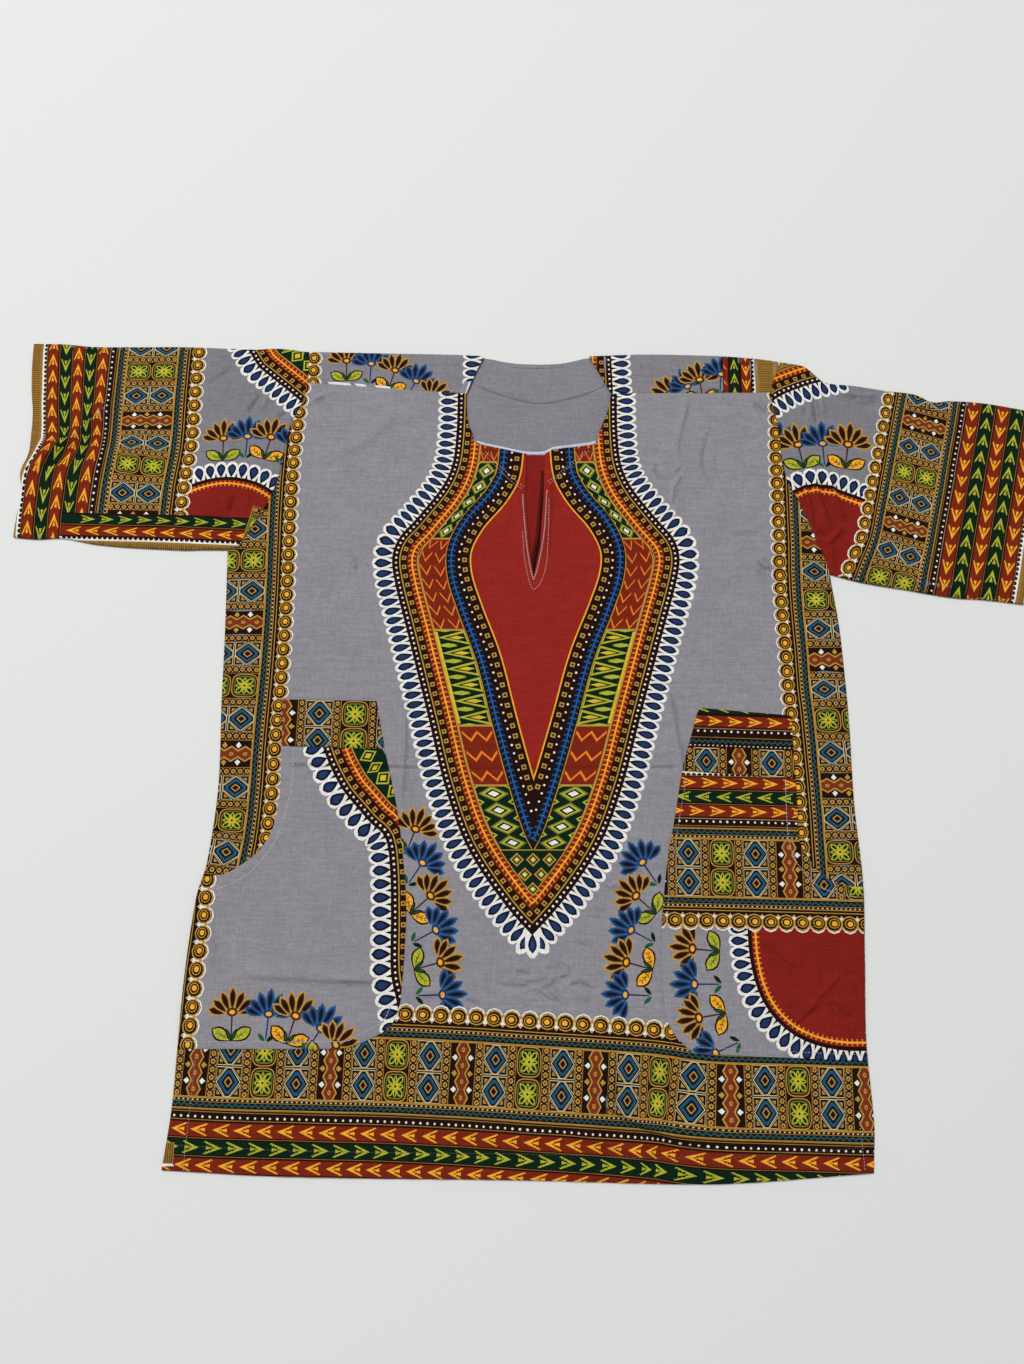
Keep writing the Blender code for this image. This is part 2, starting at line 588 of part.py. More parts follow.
# -------------------------------------------------------------------------- sleeves
def build_sleeve(name, arm, cuff_rows, stray, folds, outward):
    """A flattened tube: rings from the armhole to the cuff, each with a lower layer on
    the floor, an upper layer on it, and a rounded fold at both long edges."""
    stations = [0.0, 0.04, 0.09, 0.15, 0.22, 0.30, 0.40, 0.50, 0.60, 0.70, 0.80, 0.90, 0.96, 1.0]
    cuff = shared(cuff_rows, ARM_STEPS)
    start = moved_out(arm, outward * SEAM)
    rings = []
    for s in stations:
        top, bottom = along(stray, s, "s", "top"), along(stray, s, "s", "bottom")
        line = [a.lerp(c, s) + Vector((0, top * k / ARM_STEPS + bottom * (1 - k / ARM_STEPS)))
                for k, (a, c) in enumerate(zip(start, cuff))]
        rise = [SLEEVE_EDGE + SLEEVE_LOFT * math.sin(math.pi * k / ARM_STEPS) ** 0.5
                * (0.65 + 0.35 * math.cos(math.pi * min(1.0, s)))
                + ridges(Vector((s, k / ARM_STEPS)), folds)
                for k in range(ARM_STEPS + 1)]
        outer, inner = [], []
        for grow, loop in ((0.0, outer), (CLOTH, inner)):
            mid = SLEEVE_EDGE / 2
            r = mid - grow
            ends = []
            for at, beyond in ((ARM_STEPS, 1), (0, ARM_STEPS - 1)):
                here = line[at]
                away = (here - line[at - 1 if at else 1]).normalized()
                centre = here - away * mid
                ends.append([Vector((*(centre + away * r * math.sin(a)), mid - r * math.cos(a)))
                             for a in (math.pi * q / 6 for q in range(1, 6))])
            body = range(1, ARM_STEPS)
            loop += [Vector((*line[k], grow)) for k in body]
            loop += ends[0]
            loop += [Vector((*line[k], rise[k] - grow)) for k in reversed(body)]
            loop += list(reversed(ends[1]))
        rings.append((outer, inner))
    bm = bmesh.new()
    made = [([bm.verts.new(p) for p in outer], [bm.verts.new(p) for p in inner])
            for outer, inner in rings]
    n = len(made[0][0])
    for (o0, i0), (o1, i1) in zip(made, made[1:]):
        for k in range(n):
            m = (k + 1) % n
            bm.faces.new((o0[k], o0[m], o1[m], o1[k]))
            bm.faces.new((i0[k], i1[k], i1[m], i0[m]))
    for (o, i) in (made[0], made[-1]):
        for k in range(n):
            m = (k + 1) % n
            bm.faces.new((o[k], i[k], i[m], o[m]))
    return finished(name, bm, BORDER_CLOTH)


# ---------------------------------------------------------------------------- scene
def main():
    for obj in list(bpy.data.objects):
        bpy.data.objects.remove(obj, do_unlink=True)
    pieces = [build_back(), build_back_facing(), build_front_facing(), *build_front(),
              build_sleeve("sleeve_right", arm_neg, CUFF_NEG, STRAY_NEG, SLEEVE_FOLDS_NEG, -1),
              build_sleeve("sleeve_left", arm_pos, CUFF_POS, STRAY_POS, SLEEVE_FOLDS_POS, 1)]
    # the origin goes to the middle of the laid shirt's box, on the surface it lies on
    xs = [v.co.x for o in pieces for v in o.data.vertices]
    ys = [v.co.y for o in pieces for v in o.data.vertices]
    middle = Vector(((min(xs) + max(xs)) / 2, (min(ys) + max(ys)) / 2, 0.0))
    for o in pieces:
        for v in o.data.vertices:
            v.co -= middle
        o.data.update()
    print("origin moved by", [round(c, 5) for c in middle])


main()
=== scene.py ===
"""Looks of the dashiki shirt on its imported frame: a front, a back that folds over the
shoulders, two sleeves, two hip pockets with their bands, and the neck facings, each a
thin closed shell of printed cotton that is cut, in the flat, along every shape of its
print.  The print is a generic one, drawn here from rows of motifs."""

import bpy
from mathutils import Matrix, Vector
from mathutils.geometry import delaunay_2d_cdt
from mathutils.bvhtree import BVHTree
from mathutils.kdtree import KDTree
import math
import random

import numpy as np


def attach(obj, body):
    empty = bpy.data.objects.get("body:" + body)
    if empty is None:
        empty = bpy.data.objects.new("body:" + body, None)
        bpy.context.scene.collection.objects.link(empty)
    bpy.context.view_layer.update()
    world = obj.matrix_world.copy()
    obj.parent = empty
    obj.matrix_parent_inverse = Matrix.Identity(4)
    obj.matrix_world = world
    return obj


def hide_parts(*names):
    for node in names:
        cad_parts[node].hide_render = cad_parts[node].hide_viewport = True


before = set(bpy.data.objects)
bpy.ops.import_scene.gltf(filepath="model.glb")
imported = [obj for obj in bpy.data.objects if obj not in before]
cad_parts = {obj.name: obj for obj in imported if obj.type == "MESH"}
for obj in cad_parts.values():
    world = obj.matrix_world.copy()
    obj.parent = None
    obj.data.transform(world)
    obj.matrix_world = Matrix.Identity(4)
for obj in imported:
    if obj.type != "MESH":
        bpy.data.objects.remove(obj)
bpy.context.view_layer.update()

# =============================================================== inks of the print
# sRGB as the cloth shows them in soft daylight, 0 to 255.
INKS = {
    # inside, the ink of linings and inner layers, is darker than the ground: partly the cloth's reverse, partly painted
    # shade for the depth of the neck opening
    "ground": (140, 138, 144), "inside": (131, 130, 136), "pale": (190, 200, 214),
    "white": (229, 227, 222), "cream": (206, 190, 150),
    "red": (143, 37, 30), "crimson": (128, 31, 25), "brick": (120, 37, 19),
    "rust": (118, 50, 27), "orange": (231, 124, 40), "amber": (239, 168, 46),
    "yellow": (210, 178, 50), "lime": (172, 172, 50), "olive": (116, 112, 44),
    "gold": (182, 140, 60), "tan": (150, 113, 50), "brown": (72, 38, 20),
    "umber": (33, 15, 10), "night": (20, 22, 34), "navy": (34, 54, 96),
    "denim": (46, 84, 138), "blue": (26, 92, 160), "teal": (30, 86, 116),
    "sky": (92, 140, 178), "bottle": (10, 35, 23), "leaf": (34, 88, 48),
    # the last four inks here are painted shade: two darker reds for the slit's shade, and the grey ground painted
    # darker on the sleeves and on the shoulder strips
    "painted_slit_shade": (84, 20, 16), "painted_slit_shadow": (44, 12, 12), "sleeve_ground_painted_shade": (124, 124, 130), "strip_ground_painted_shade": (129, 127, 133),
    "pine": (28, 84, 92), "iris": (42, 88, 134),
}
INK_LIST = list(INKS)
INK_NO = {name: i for i, name in enumerate(INK_LIST)}


# ================================================================== lines and shapes
def smooth_line(points, step=0.006, closed=False):
    """A Catmull-Rom line through points, about one point a step."""
    p = np.asarray(points, float)
    if closed:
        q = np.vstack([p[-1], p, p[0], p[1]])
    else:
        q = np.vstack([2 * p[0] - p[1], p, 2 * p[-1] - p[-2]])
    out = []
    for i in range(1, len(q) - 2):
        a, b, c, d = q[i - 1:i + 3]
        n = max(1, int(round(np.hypot(*(c - b)) / step)))
        u = (np.arange(n) / n)[:, None]
        out.append(0.5 * (2 * b + (c - a) * u + (2 * a - 5 * b + 4 * c - d) * u * u
                          + (3 * b - a - 3 * c + d) * u ** 3))
    if not closed:
        out.append(p[-1:])
    return np.vstack(out)


def resampled(points, step):
    p = np.asarray(points, float)
    run = np.concatenate([[0], np.cumsum(np.hypot(*np.diff(p, axis=0).T))])
    n = max(1, int(round(run[-1] / step)))
    s = np.linspace(0, run[-1], n + 1)
    return np.stack([np.interp(s, run, p[:, 0]), np.interp(s, run, p[:, 1])], 1)


def distance_to(points, line):
    """Distance from each point to a polyline."""
    x, y = points[:, 0], points[:, 1]
    best = np.full(len(points), 1e9)
    for (ax, ay), (bx, by) in zip(line[:-1], line[1:]):
        dx, dy = bx - ax, by - ay
        px, py = x - ax, y - ay
        u = np.clip((px * dx + py * dy) / max(dx * dx + dy * dy, 1e-18), 0, 1)
        best = np.minimum(best, (px - u * dx) ** 2 + (py - u * dy) ** 2)
    return np.sqrt(best)


def close_to(points, line, reach):
    """Distance to a polyline where it is under reach, and something longer elsewhere."""
    out = np.full(len(points), 1e9)
    for k in range(0, len(line) - 1, 6):
        part = line[k:k + 7]
        m = ((points > part.min(0) - reach) & (points < part.max(0) + reach)).all(1)
        if m.any():
            out[m] = np.minimum(out[m], distance_to(points[m], part))
    return out


class Line:
    """A line on the flat cloth: at(s, d) is s metres along it and d to its left."""

    def __init__(self, points):
        p = np.asarray(points, float)
        seg = np.diff(p, axis=0)
        ln = np.hypot(*seg.T)
        keep = np.concatenate([[True], ln > 1e-7])
        p = p[keep]
        seg = np.diff(p, axis=0)
        ln = np.hypot(*seg.T)
        self.p = p
        self.s = np.concatenate([[0], np.cumsum(ln)])
        self.length = float(self.s[-1])
        nrm = np.stack([-seg[:, 1], seg[:, 0]], 1) / ln[:, None]
        v = np.vstack([nrm[:1], nrm[:-1] + nrm[1:], nrm[-1:]])
        v[1:-1] /= np.maximum(0.35, (v[1:-1] * nrm[:-1]).sum(1))[:, None]
        self.n = v
        self.n[0], self.n[-1] = nrm[0], nrm[-1]

    def at(self, s, d):
        s = np.atleast_1d(np.asarray(s, float))
        d = np.atleast_1d(np.asarray(d, float))
        i = np.clip(np.searchsorted(self.s, s, side="right") - 1, 0, len(self.p) - 2)
        u = ((s - self.s[i]) / (self.s[i + 1] - self.s[i]))[:, None]
        uc = np.clip(u, 0, 1)
        base = self.p[i] + u * (self.p[i + 1] - self.p[i])
        nrm = self.n[i] * (1 - uc) + self.n[i + 1] * uc
        return base + nrm * d[:, None]

    def offset(self, d, step=0.005):
        """The line moved to its left, with what would cross itself trimmed away."""
        dense = resampled(self.p, 0.0018)
        t = np.gradient(dense, axis=0)
        t /= np.hypot(*t.T)[:, None]
        q = dense + np.stack([-t[:, 1], t[:, 0]], 1) * d
        keep = distance_to(q, dense) > abs(d) - 0.00025
        return Line(resampled(q[keep], step))

    def reverse(self):
        return Line(self.p[::-1])


def ring(cx, cy, rx, ry=None, n=8, turn=0.0):
    ry = rx if ry is None else ry
    a = np.arange(n) * 2 * math.pi / n + (math.pi / n)
    x, y = rx * np.cos(a), ry * np.sin(a)
    c, s = math.cos(turn), math.sin(turn)
    return np.stack([cx + c * x - s * y, cy + s * x + c * y], 1)


def blade(length, width, n=4, belly=0.5):
    """A leaf from (0, 0) to (length, 0), widest at belly."""
    u = np.linspace(0, 1, n + 2)
    w = np.where(u < belly, np.sin(0.5 * math.pi * u / belly),
                 np.clip(np.cos(0.5 * math.pi * (u - belly) / (1 - belly)), 0, 1) ** 0.8)
    up = np.stack([u * length, w * width / 2], 1)
    return np.vstack([up, up[-2:0:-1] * [1, -1]])


def moved(loop, x=0.0, y=0.0, turn=0.0, size=1.0, flip=False):
    loop = np.asarray(loop, float) * size
    if flip:
        loop = (loop * [1, -1])[::-1]
    c, s = math.cos(turn), math.sin(turn)
    return np.stack([x + c * loop[:, 0] - s * loop[:, 1],
                     y + s * loop[:, 0] + c * loop[:, 1]], 1)


# ========================================================================== artwork
class Art:
    """Shapes of ink on flat cloth, later ones over earlier ones."""

    def __init__(self, seed=1):
        self.shapes = []
        self.dice = random.Random(seed)
        self.keep = None        # optional test of a shape's middle

    def add(self, loop, ink):
        loop = np.asarray(loop, float)
        if self.keep is None or self.keep(loop.mean(0)):
            self.shapes.append((loop, INK_NO[ink]))

    def strip(self, line, s0, s1, d0, d1, ink):
        inner = line.s[(line.s > s0 + 1e-4) & (line.s < s1 - 1e-4)]
        s = np.concatenate([[s0], inner, [s1]])
        a, b = line.at(s, np.full(len(s), d0)), line.at(s, np.full(len(s), d1))
        self.shapes.append((np.vstack([a, b[::-1]]), INK_NO[ink]))

    def stamp(self, line, s, d, motif):
        """A motif of (loop, ink) bent along the line."""
        for loop, ink in motif:
            self.add(line.at(s + loop[:, 0], d + loop[:, 1]), ink)

    def place(self, x, y, turn, motif, size=1.0):
        for loop, ink in motif:
            self.add(moved(loop, x, y, turn, size), ink)

    def wobble(self, share):
        return 1 + self.dice.uniform(-share, share)

    def warped(self, bend):
        """The same shapes with every corner moved by bend(points)."""
        flat = bend(np.vstack([loop for loop, _ in self.shapes]))
        at, out = 0, []
        for loop, ink in self.shapes:
            out.append((flat[at:at + len(loop)], ink))
            at += len(loop)
        self.shapes = out
        return self


# ------------------------------------------------------------------ rows of a border
ARROW = np.array([(1.00, 0.00), (0.08, 0.47), (0.00, 0.37), (0.15, 0.365), (0.13, 0.27),
                  (0.29, 0.275), (0.28, 0.185), (0.45, 0.19), (0.45, 0.10), (0.62, 0.0)])
ARROW = np.vstack([ARROW, ARROW[-2:0:-1] * [1, -1]])


def arrows(art, line, s0, s1, d0, d1, ground, ink, way=1, pitch=0.0192, phase=0.0):
    """A row of toothed arrow heads between two dark lines."""
    edge = 0.0014
    art.strip(line, s0, s1, d0, d1, "umber")
    art.strip(line, s0, s1, d0 + edge, d1 - edge, ground)
    h = (d1 - d0) - 2 * edge
    mid = (d0 + d1) / 2
    s = s0 + (0.5 + phase % 1) * pitch
    while s < s1 - pitch * 0.42:
        k = art.wobble(0.05)
        loop = ARROW * [0.80 * pitch * k, h * 0.96 * art.wobble(0.03)] - [0.40 * pitch, 0]
        loop[:, 0] *= way
        art.stamp(line, s, mid, [(loop, ink)])
        heart = np.array([(0.08, 0.13), (0.40, 0.0), (0.08, -0.13)]) * [pitch, h] \
            - [0.36 * pitch, 0]
        heart[:, 0] *= way
        art.stamp(line, s, mid, [(heart, ink)])
        s += pitch


def between(art, line, s0, s1, d, ink="tan", wide=0.0009):
    art.strip(line, s0, s1, d - wide / 2, d + wide / 2, ink)


def dots(art, line, s0, s1, d, pitch, r, ink, n=6, phase=0.5):
    s = s0 + pitch * phase
    while s < s1:
        art.stamp(line, s, d, [(ring(0, 0, r * art.wobble(0.1), n=n), ink)])
        s += pitch


def dotted_band(art, line, s0, s1, d0, d1, pitch=0.0064):
    """White dots on a dark band, between fine tan lines."""
    w = d1 - d0
    art.strip(line, s0, s1, d0, d1, "tan")
    art.strip(line, s0, s1, d0 + 0.0007, d1 - 0.0007, "umber")
    between(art, line, s0, s1, d0 + 0.24 * w, "tan", 0.0006)
    dots(art, line, s0, s1, d0 + 0.68 * w, pitch, 0.00110, "white", n=6)


def zigzag(art, line, s0, s1, d, reach, pitch, wide, ink):
    n = max(2, int(round((s1 - s0) / (pitch / 2))))
    s = np.linspace(s0, s1, n + 1)
    v = np.where(np.arange(n + 1) % 2, reach, -reach)
    a, b = line.at(s, d + v + wide / 2), line.at(s, d + v - wide / 2)
    art.shapes.append((np.vstack([a, b[::-1]]), INK_NO[ink]))


def braid(art, line, s0, s1, d0, d1):
    """A narrow dark border: gold edges, a row of cream ticks and a teal zigzag."""
    w = d1 - d0
    art.strip(line, s0, s1, d0, d1, "umber")
    between(art, line, s0, s1, d0 + 0.05 * w, "gold", 0.0007)
    between(art, line, s0, s1, d1 - 0.05 * w, "gold", 0.0007)
    between(art, line, s0, s1, d0 + 0.36 * w, "tan", 0.0006)
    zigzag(art, line, s0, s1, d0 + 0.63 * w, 0.13 * w, 0.0056, 0.17 * w, "pine")
    s = s0 + 0.002
    tick = np.array([(-0.0010, -0.0006), (0.0006, -0.0006), (0.0010, 0.0006), (-0.0006, 0.0006)])
    while s < s1:
        art.stamp(line, s, d0 + 0.20 * w, [(tick, "cream")])
        s += 0.0043


def ribbed(art, line, s0, s1, d0, d1, pitch=0.0021):
    """A tan hem band with fine brown ribs across it and a plain edge."""
    art.strip(line, s0, s1, d0, d1, "tan")
    lo, hi = d0 + 0.12 * (d1 - d0), d1 - 0.28 * (d1 - d0)
    s = s0 + pitch / 2
    while s < s1:
        a = art.dice.uniform(0, 0.10) * (hi - lo)
        art.add(line.at([s - 0.0003, s + 0.0003, s + 0.0003, s - 0.0003],
                        [lo + a, lo + a, hi, hi]), "brown")
        s += pitch * art.wobble(0.12)
    between(art, line, s0, s1, d1 - 0.16 * (d1 - d0), "gold", 0.0012)


def picots(art, line, s0, s1, d0, d1, ground="white", ink="umber", pitch=0.0052):
    """A white edge with a dark scallop."""
    art.strip(line, s0, s1, d0, d1, ground)
    s, h = s0 + pitch / 2, (d1 - d0)
    while s < s1:
        bump = np.array([(-0.46, 0.0), (-0.30, 0.50), (0, 0.66), (0.30, 0.50), (0.46, 0.0)])
        art.stamp(line, s, d0, [(bump * [pitch, h], ink)])
        s += pitch


# -------------------------------------------------------- panels of the wide border
def frame_of(u, v, w, h):
    """Maps a unit square (-1..1) to a cell at (u, v) of half sizes w, h."""
    def to(points):
        return np.asarray(points, float) * [w, h] + [u, v]
    return to


def eye_cell(to):
    """Nested six-sided eyes in blue, with framed triangles in the corners."""
    out = [(to([(-1, -1), (1, -1), (1, 1), (-1, 1)]), "umber")]
    for sx in (-1, 1):
        for sy in (-1, 1):
            for tri, ink in (([(1.0, 0.98), (0.17, 0.98), (1.0, 0.13)], "cream"),
                             ([(0.97, 0.93), (0.27, 0.93), (0.97, 0.22)], "umber"),
                             ([(0.82, 0.78), (0.54, 0.78), (0.82, 0.50)], "gold")):
                out.append((to(np.array(tri) * [sx, sy]), ink))
    hexa = np.array([(-1.0, 0.0), (-0.16, 0.97), (0.16, 0.97), (1.0, 0.0),
                     (0.16, -0.97), (-0.16, -0.97)])
    for k, ink in ((1.0, "cream"), (0.92, "umber"), (0.77, "teal"), (0.56, "night"),
                   (0.34, "gold"), (0.23, "umber")):
        out.append((to(hexa * k), ink))
    return out


def clover_cell(to):
    """A four-leaved flower in a soft square, yellow-green on dark."""
    a = np.arange(16) * math.pi / 8 + math.pi / 16
    soft = np.stack([np.sign(np.cos(a)) * abs(np.cos(a)) ** 0.55,
                     np.sign(np.sin(a)) * abs(np.sin(a)) ** 0.55], 1) * 1.02
    out = [(to([(-1, -1), (1, -1), (1, 1), (-1, 1)]), "umber"),
           (to(soft * 0.97), "gold"), (to(soft * 0.90), "umber"), (to(soft * 0.80), "olive"),
           (to(soft * 0.72), "bottle")]
    for k in range(8):
        t = k * math.pi / 4
        if k % 2:
            out.append((to(moved(blade(0.90, 0.46, 3, 0.62), 0.0, 0.0, t)), "lime"))
            out.append((to(moved(blade(0.52, 0.24, 2, 0.6), 0.28 * math.cos(t), 0.28 * math.sin(t), t)), "bottle"))
        else:
            out.append((to(moved(blade(0.72, 0.30, 3, 0.62), 0.0, 0.0, t)), "lime"))
            out.append((to(moved(blade(0.34, 0.13, 1), 0.28 * math.cos(t), 0.28 * math.sin(t), t)), "umber"))
    out.append((to(ring(0, 0, 0.21, n=8)), "yellow"))
    out.append((to(ring(0, 0, 0.10, n=6)), "bottle"))
    return out


def flame_cell(to):
    """A rust cell: a waisted column with stepped sides and small white kites."""
    out = [(to([(-1, -1), (1, -1), (1, 1), (-1, 1)]), "umber")]
    n = 4
    col = []
    for k in range(n * 2 + 1):
        col.append((0.62 if k % 2 else 0.30, -1 + k / n))
    left = [(-x, y) for x, y in col]
    out.append((to(col + left[::-1]), "gold"))
    col2 = [(max(0.05, x - 0.13), y) for x, y in col]
    left2 = [(-x, y) for x, y in col2]
    out.append((to(col2 + left2[::-1]), "rust"))
    for k in range(n):
        y = -1 + (2 * k + 1) / n * 1.0
        out.append((to(ring(0, y, 0.15, 0.085, 6)), "gold"))
        out.append((to(ring(0, y, 0.07, 0.04, 4)), "rust"))
    for sx in (-1, 1):
        for k in range(1, n):
            y = -1 + 2 * k / n
            kite = np.array([(0.42, 0.0), (0.62, 0.10), (0.90, 0.0), (0.62, -0.10)])
            out.append((to(kite * [sx, 1] + [0, y]), "white" if k % 2 else "gold"))
    return out


CELL_RUN = ("eye", "clover", "eye", "flame")


def cells(art, line, s0, s1, d0, d1, first=0, cell=0.0232, gap=0.0080):
    """The wide border: cells side by side, with columns of beads between them."""
    art.strip(line, s0, s1, d0, d1, "umber")
    s, k = s0, first
    while s < s1:
        kind = CELL_RUN[k % 4]
        mid = s + cell / 2
        if kind == "flame":
            art.stamp(line, mid, 0.0, flame_cell(
                frame_of(0, (d0 + d1) / 2, cell / 2, (d1 - d0) / 2)))
        else:
            make = eye_cell if kind == "eye" else clover_cell
            h = (d1 - d0) / 2
            for j in range(2):
                v = d0 + (j + 0.5) * h
                art.stamp(line, mid, 0.0, make(frame_of(0, v, cell / 2 * 0.98, h / 2 * 0.98)))
        cross = s + cell
        n = int((d1 - d0) / 0.0060)
        lines = [0.0006, gap - 0.0006]
        for e in lines:
            art.add(line.at([cross + e - 0.0004, cross + e + 0.0004, cross + e + 0.0004,
                             cross + e - 0.0004], [d0, d0, d1, d1]), "tan")
        for j in range(n):
            v = d0 + (j + 0.5) * (d1 - d0) / n
            art.stamp(line, cross + gap / 2, v, [(ring(0, 0, 0.0022, 0.0024, 7), "gold"),
                                                 (ring(0, 0, 0.0010, 0.0012, 5), "rust")])
            if j < n - 1:
                for e in (-0.0022, 0.0022):
                    art.stamp(line, cross + gap / 2 + e, v + (d1 - d0) / n / 2,
                              [(ring(0, 0, 0.0006, n=4), "cream")])
        s, k = s + cell + gap, k + 1
    between(art, line, s0, s1, d0 + 0.0005, "gold", 0.0008)
    between(art, line, s0, s1, d1 - 0.0005, "gold", 0.0008)
    return k


def coins(art, line, s0, s1, d0, d1, pitch=0.0146, phase=0.5):
    """A chain of gold rings with bright middles and small paired leaves between them,
    with a scalloped white edge on the d0 side."""
    w = d1 - d0
    mid = d0 + w * 0.47
    spots = list(np.arange(s0 + pitch * (phase % 1), s1 + pitch / 2, pitch))
    art.strip(line, s0, s1, mid - 0.10 * w, d1, "white")
    for s in spots:
        art.stamp(line, s, mid, [(ring(0, 0, pitch * 0.545, w * 0.47, 10), "white")])
    art.strip(line, s0, s1, mid + 0.02 * w, d1 - 0.02 * w, "umber")
    for s in spots:
        art.stamp(line, s, mid, [(ring(0, 0, pitch * 0.475, w * 0.40, 10), "umber")])
        half = s + pitch / 2
        leaf = moved(blade(w * 0.40, w * 0.24, 2), 0, -w * 0.02, math.pi / 2)
        art.stamp(line, half, mid, [(leaf, "white")])
        art.stamp(line, half, mid + 0.30 * w, [(ring(0, 0, 0.0010, n=5), "gold")])
        leaf = moved(blade(w * 0.26, w * 0.13, 1), 0, -w * 0.02, -math.pi / 2)
        art.stamp(line, half, mid, [(leaf, "gold")])
    r = w * 0.39
    for s in spots:
        k = art.wobble(0.04)
        art.stamp(line, s, mid, [
            (ring(0, 0, r * 1.06 * k, r * 0.97 * k, 10), "gold"),
            (ring(0, 0, r * 0.90 * k, r * 0.82 * k, 10), "umber"),
            (ring(0.0004, 0.0003, r * 0.68 * k, r * 0.60 * k, 9), "gold"),
            (ring(0.0004, 0.0003, r * 0.56 * k, r * 0.49 * k, 8), "umber"),
            (ring(0.0006, 0.0002, r * 0.36 * k, r * 0.32 * k, 7), "amber")])
    between(art, line, s0, s1, d1 - 0.03 * w, "gold", 0.0008)


# ------------------------------------------------------------------- edging of leaves
def leaf_edge(art, line, s0, s1, length, pitch):
    """White tongues with navy leaves, pointing out of the line's left side; their
    feet are on the line."""
    n = max(1, int(round((s1 - s0) / pitch)))
    step = (s1 - s0) / n
    tongue = np.array([(-0.50, -0.10), (-0.51, 0.68), (-0.39, 0.90), (-0.15, 0.995),
                       (0.15, 0.995), (0.39, 0.90), (0.51, 0.68), (0.50, -0.10)])
    for k in range(n):
        s = s0 + (k + 0.5) * step
        art.stamp(line, s, 0.0, [(tongue * [step * 1.02, length], "white")])
    for k in range(n):
        s = s0 + (k + 0.5) * step
        ln = length * 0.86 * art.wobble(0.03)
        body = moved(blade(ln, step * 0.78, 5, 0.66), 0, length * 0.04, math.pi / 2)
        art.stamp(line, s, 0.0, [(body, "night")])
        inner = moved(blade(ln * 0.62, step * 0.50, 4, 0.62), 0, length * 0.25, math.pi / 2)
        art.stamp(line, s, 0.0, [(inner, "navy")])
        dart = np.array([(-0.16, -0.02), (0.16, -0.02), (0.0, 0.34)]) * [step, length] + [step / 2, 0]
        art.stamp(line, s, 0.0, [(dart, "umber")])


def stitch_band(art, line, s0, s1, d0, d1, ground, ink, rail, pitch=0.0050):
    """A band with a bright rail along its middle and slanted stitches across it."""
    w, mid = d1 - d0, (d0 + d1) / 2
    art.strip(line, s0, s1, d0, d1, ground)
    s = s0 + pitch / 2
    while s < s1:
        for side in (1, -1):
            a = side * 0.08 * w
            b = side * 0.44 * w
            art.add(line.at([s - 0.0008, s + 0.0008, s + 0.0016, s + 0.0003],
                            [mid + a, mid + a, mid + b, mid + b]), ink)
        s += pitch
    between(art, line, s0, s1, mid, rail, w * 0.17)


# ------------------------------------------------------------------------- flowers
def daisy(petal, heart, tone, core):
    """A half-open daisy on a stem, 1 long, growing along +x from (0, 0)."""
    out = [(np.array([(0.10, -0.012), (0.58, -0.016), (0.58, 0.016), (0.10, 0.012)]), heart)]
    for k in (-3, 3, -2, 2, -1, 1, 0):
        t = k * 0.42
        ln = 0.46 - 0.035 * abs(k)
        b = blade(ln, 0.155, 4, 0.64)
        at = (0.52 - 0.01 * abs(k), 0.035 * k)
        out.append((moved(b, at[0], at[1], t), petal))
        out.append((moved(blade(ln * 0.80, 0.108, 3, 0.64),
                          at[0] + 0.10 * ln * math.cos(t), at[1] + 0.10 * ln * math.sin(t), t), tone))
        out.append((moved(blade(ln * 0.62, 0.066, 2, 0.64),
                          at[0] + 0.20 * ln * math.cos(t), at[1] + 0.20 * ln * math.sin(t), t), core))
    out.append((ring(0.53, 0, 0.075, 0.10, 8), heart))
    out.append((ring(0.53, 0, 0.040, 0.056, 6), "amber"))
    return out


def leaves(a, b):
    """A pair of broad veined leaves at the foot of a stem."""
    out = []
    for side, ink in ((1, a), (-1, b)):
        t = side * 1.02
        out.append((moved(blade(0.44, 0.26, 4, 0.60), 0.06, 0, t), "umber"))
        out.append((moved(blade(0.38, 0.19, 4, 0.60), 0.06 + 0.03 * math.cos(t), 0.03 * math.sin(t), t), ink))
        for v in (0.12, 0.20, 0.28):
            for e in (1, -1):
                out.append((moved(blade(0.08, 0.018, 1), 0.06 + v * math.cos(t), v * math.sin(t),
                                  t + e * 0.7), "brown" if ink == "amber" else "olive"))
        out.append((moved(blade(0.30, 0.022, 1), 0.06 + 0.05 * math.cos(t), 0.05 * math.sin(t), t),
                    "leaf"))
    for side in (1, -1):
        t = side * 0.42
        out.append((moved(blade(0.26, 0.085, 2), 0.05, 0, t), "bottle"))
        out.append((moved(blade(0.17, 0.030, 1), 0.05 + 0.05 * math.cos(t), 0.05 * math.sin(t), t), "leaf"))
    return out


BLUE_DAISY = daisy("iris", "navy", "navy", "night")
GOLD_DAISY = daisy("gold", "brown", "brown", "umber")


STEM_LEAVES = [(moved(blade(0.210, 0.078, 3, 0.5), 0.06, side * 0.010, side * 0.80), ink)
               for side, ink in ((-1, "bottle"), (1, "leaf"))]


def spray(art, spots, size, first=0):
    """Flowers by turns in gold and blue; spots are (x, y, direction)."""
    for k, (x, y, t) in enumerate(spots):
        kind = (k + first) % 2
        z = size * art.wobble(0.03) * (0.93 if kind else 1.0)
        if kind == 0:
            art.place(x, y, t, leaves(*(("amber", "amber") if (k // 2) % 2 else ("lime", "lime"))), z * 0.92)
            art.place(x, y, t, GOLD_DAISY, z)
        else:
            art.place(x, y, t, BLUE_DAISY, z * 1.06)
            art.place(x, y, t, STEM_LEAVES, z)


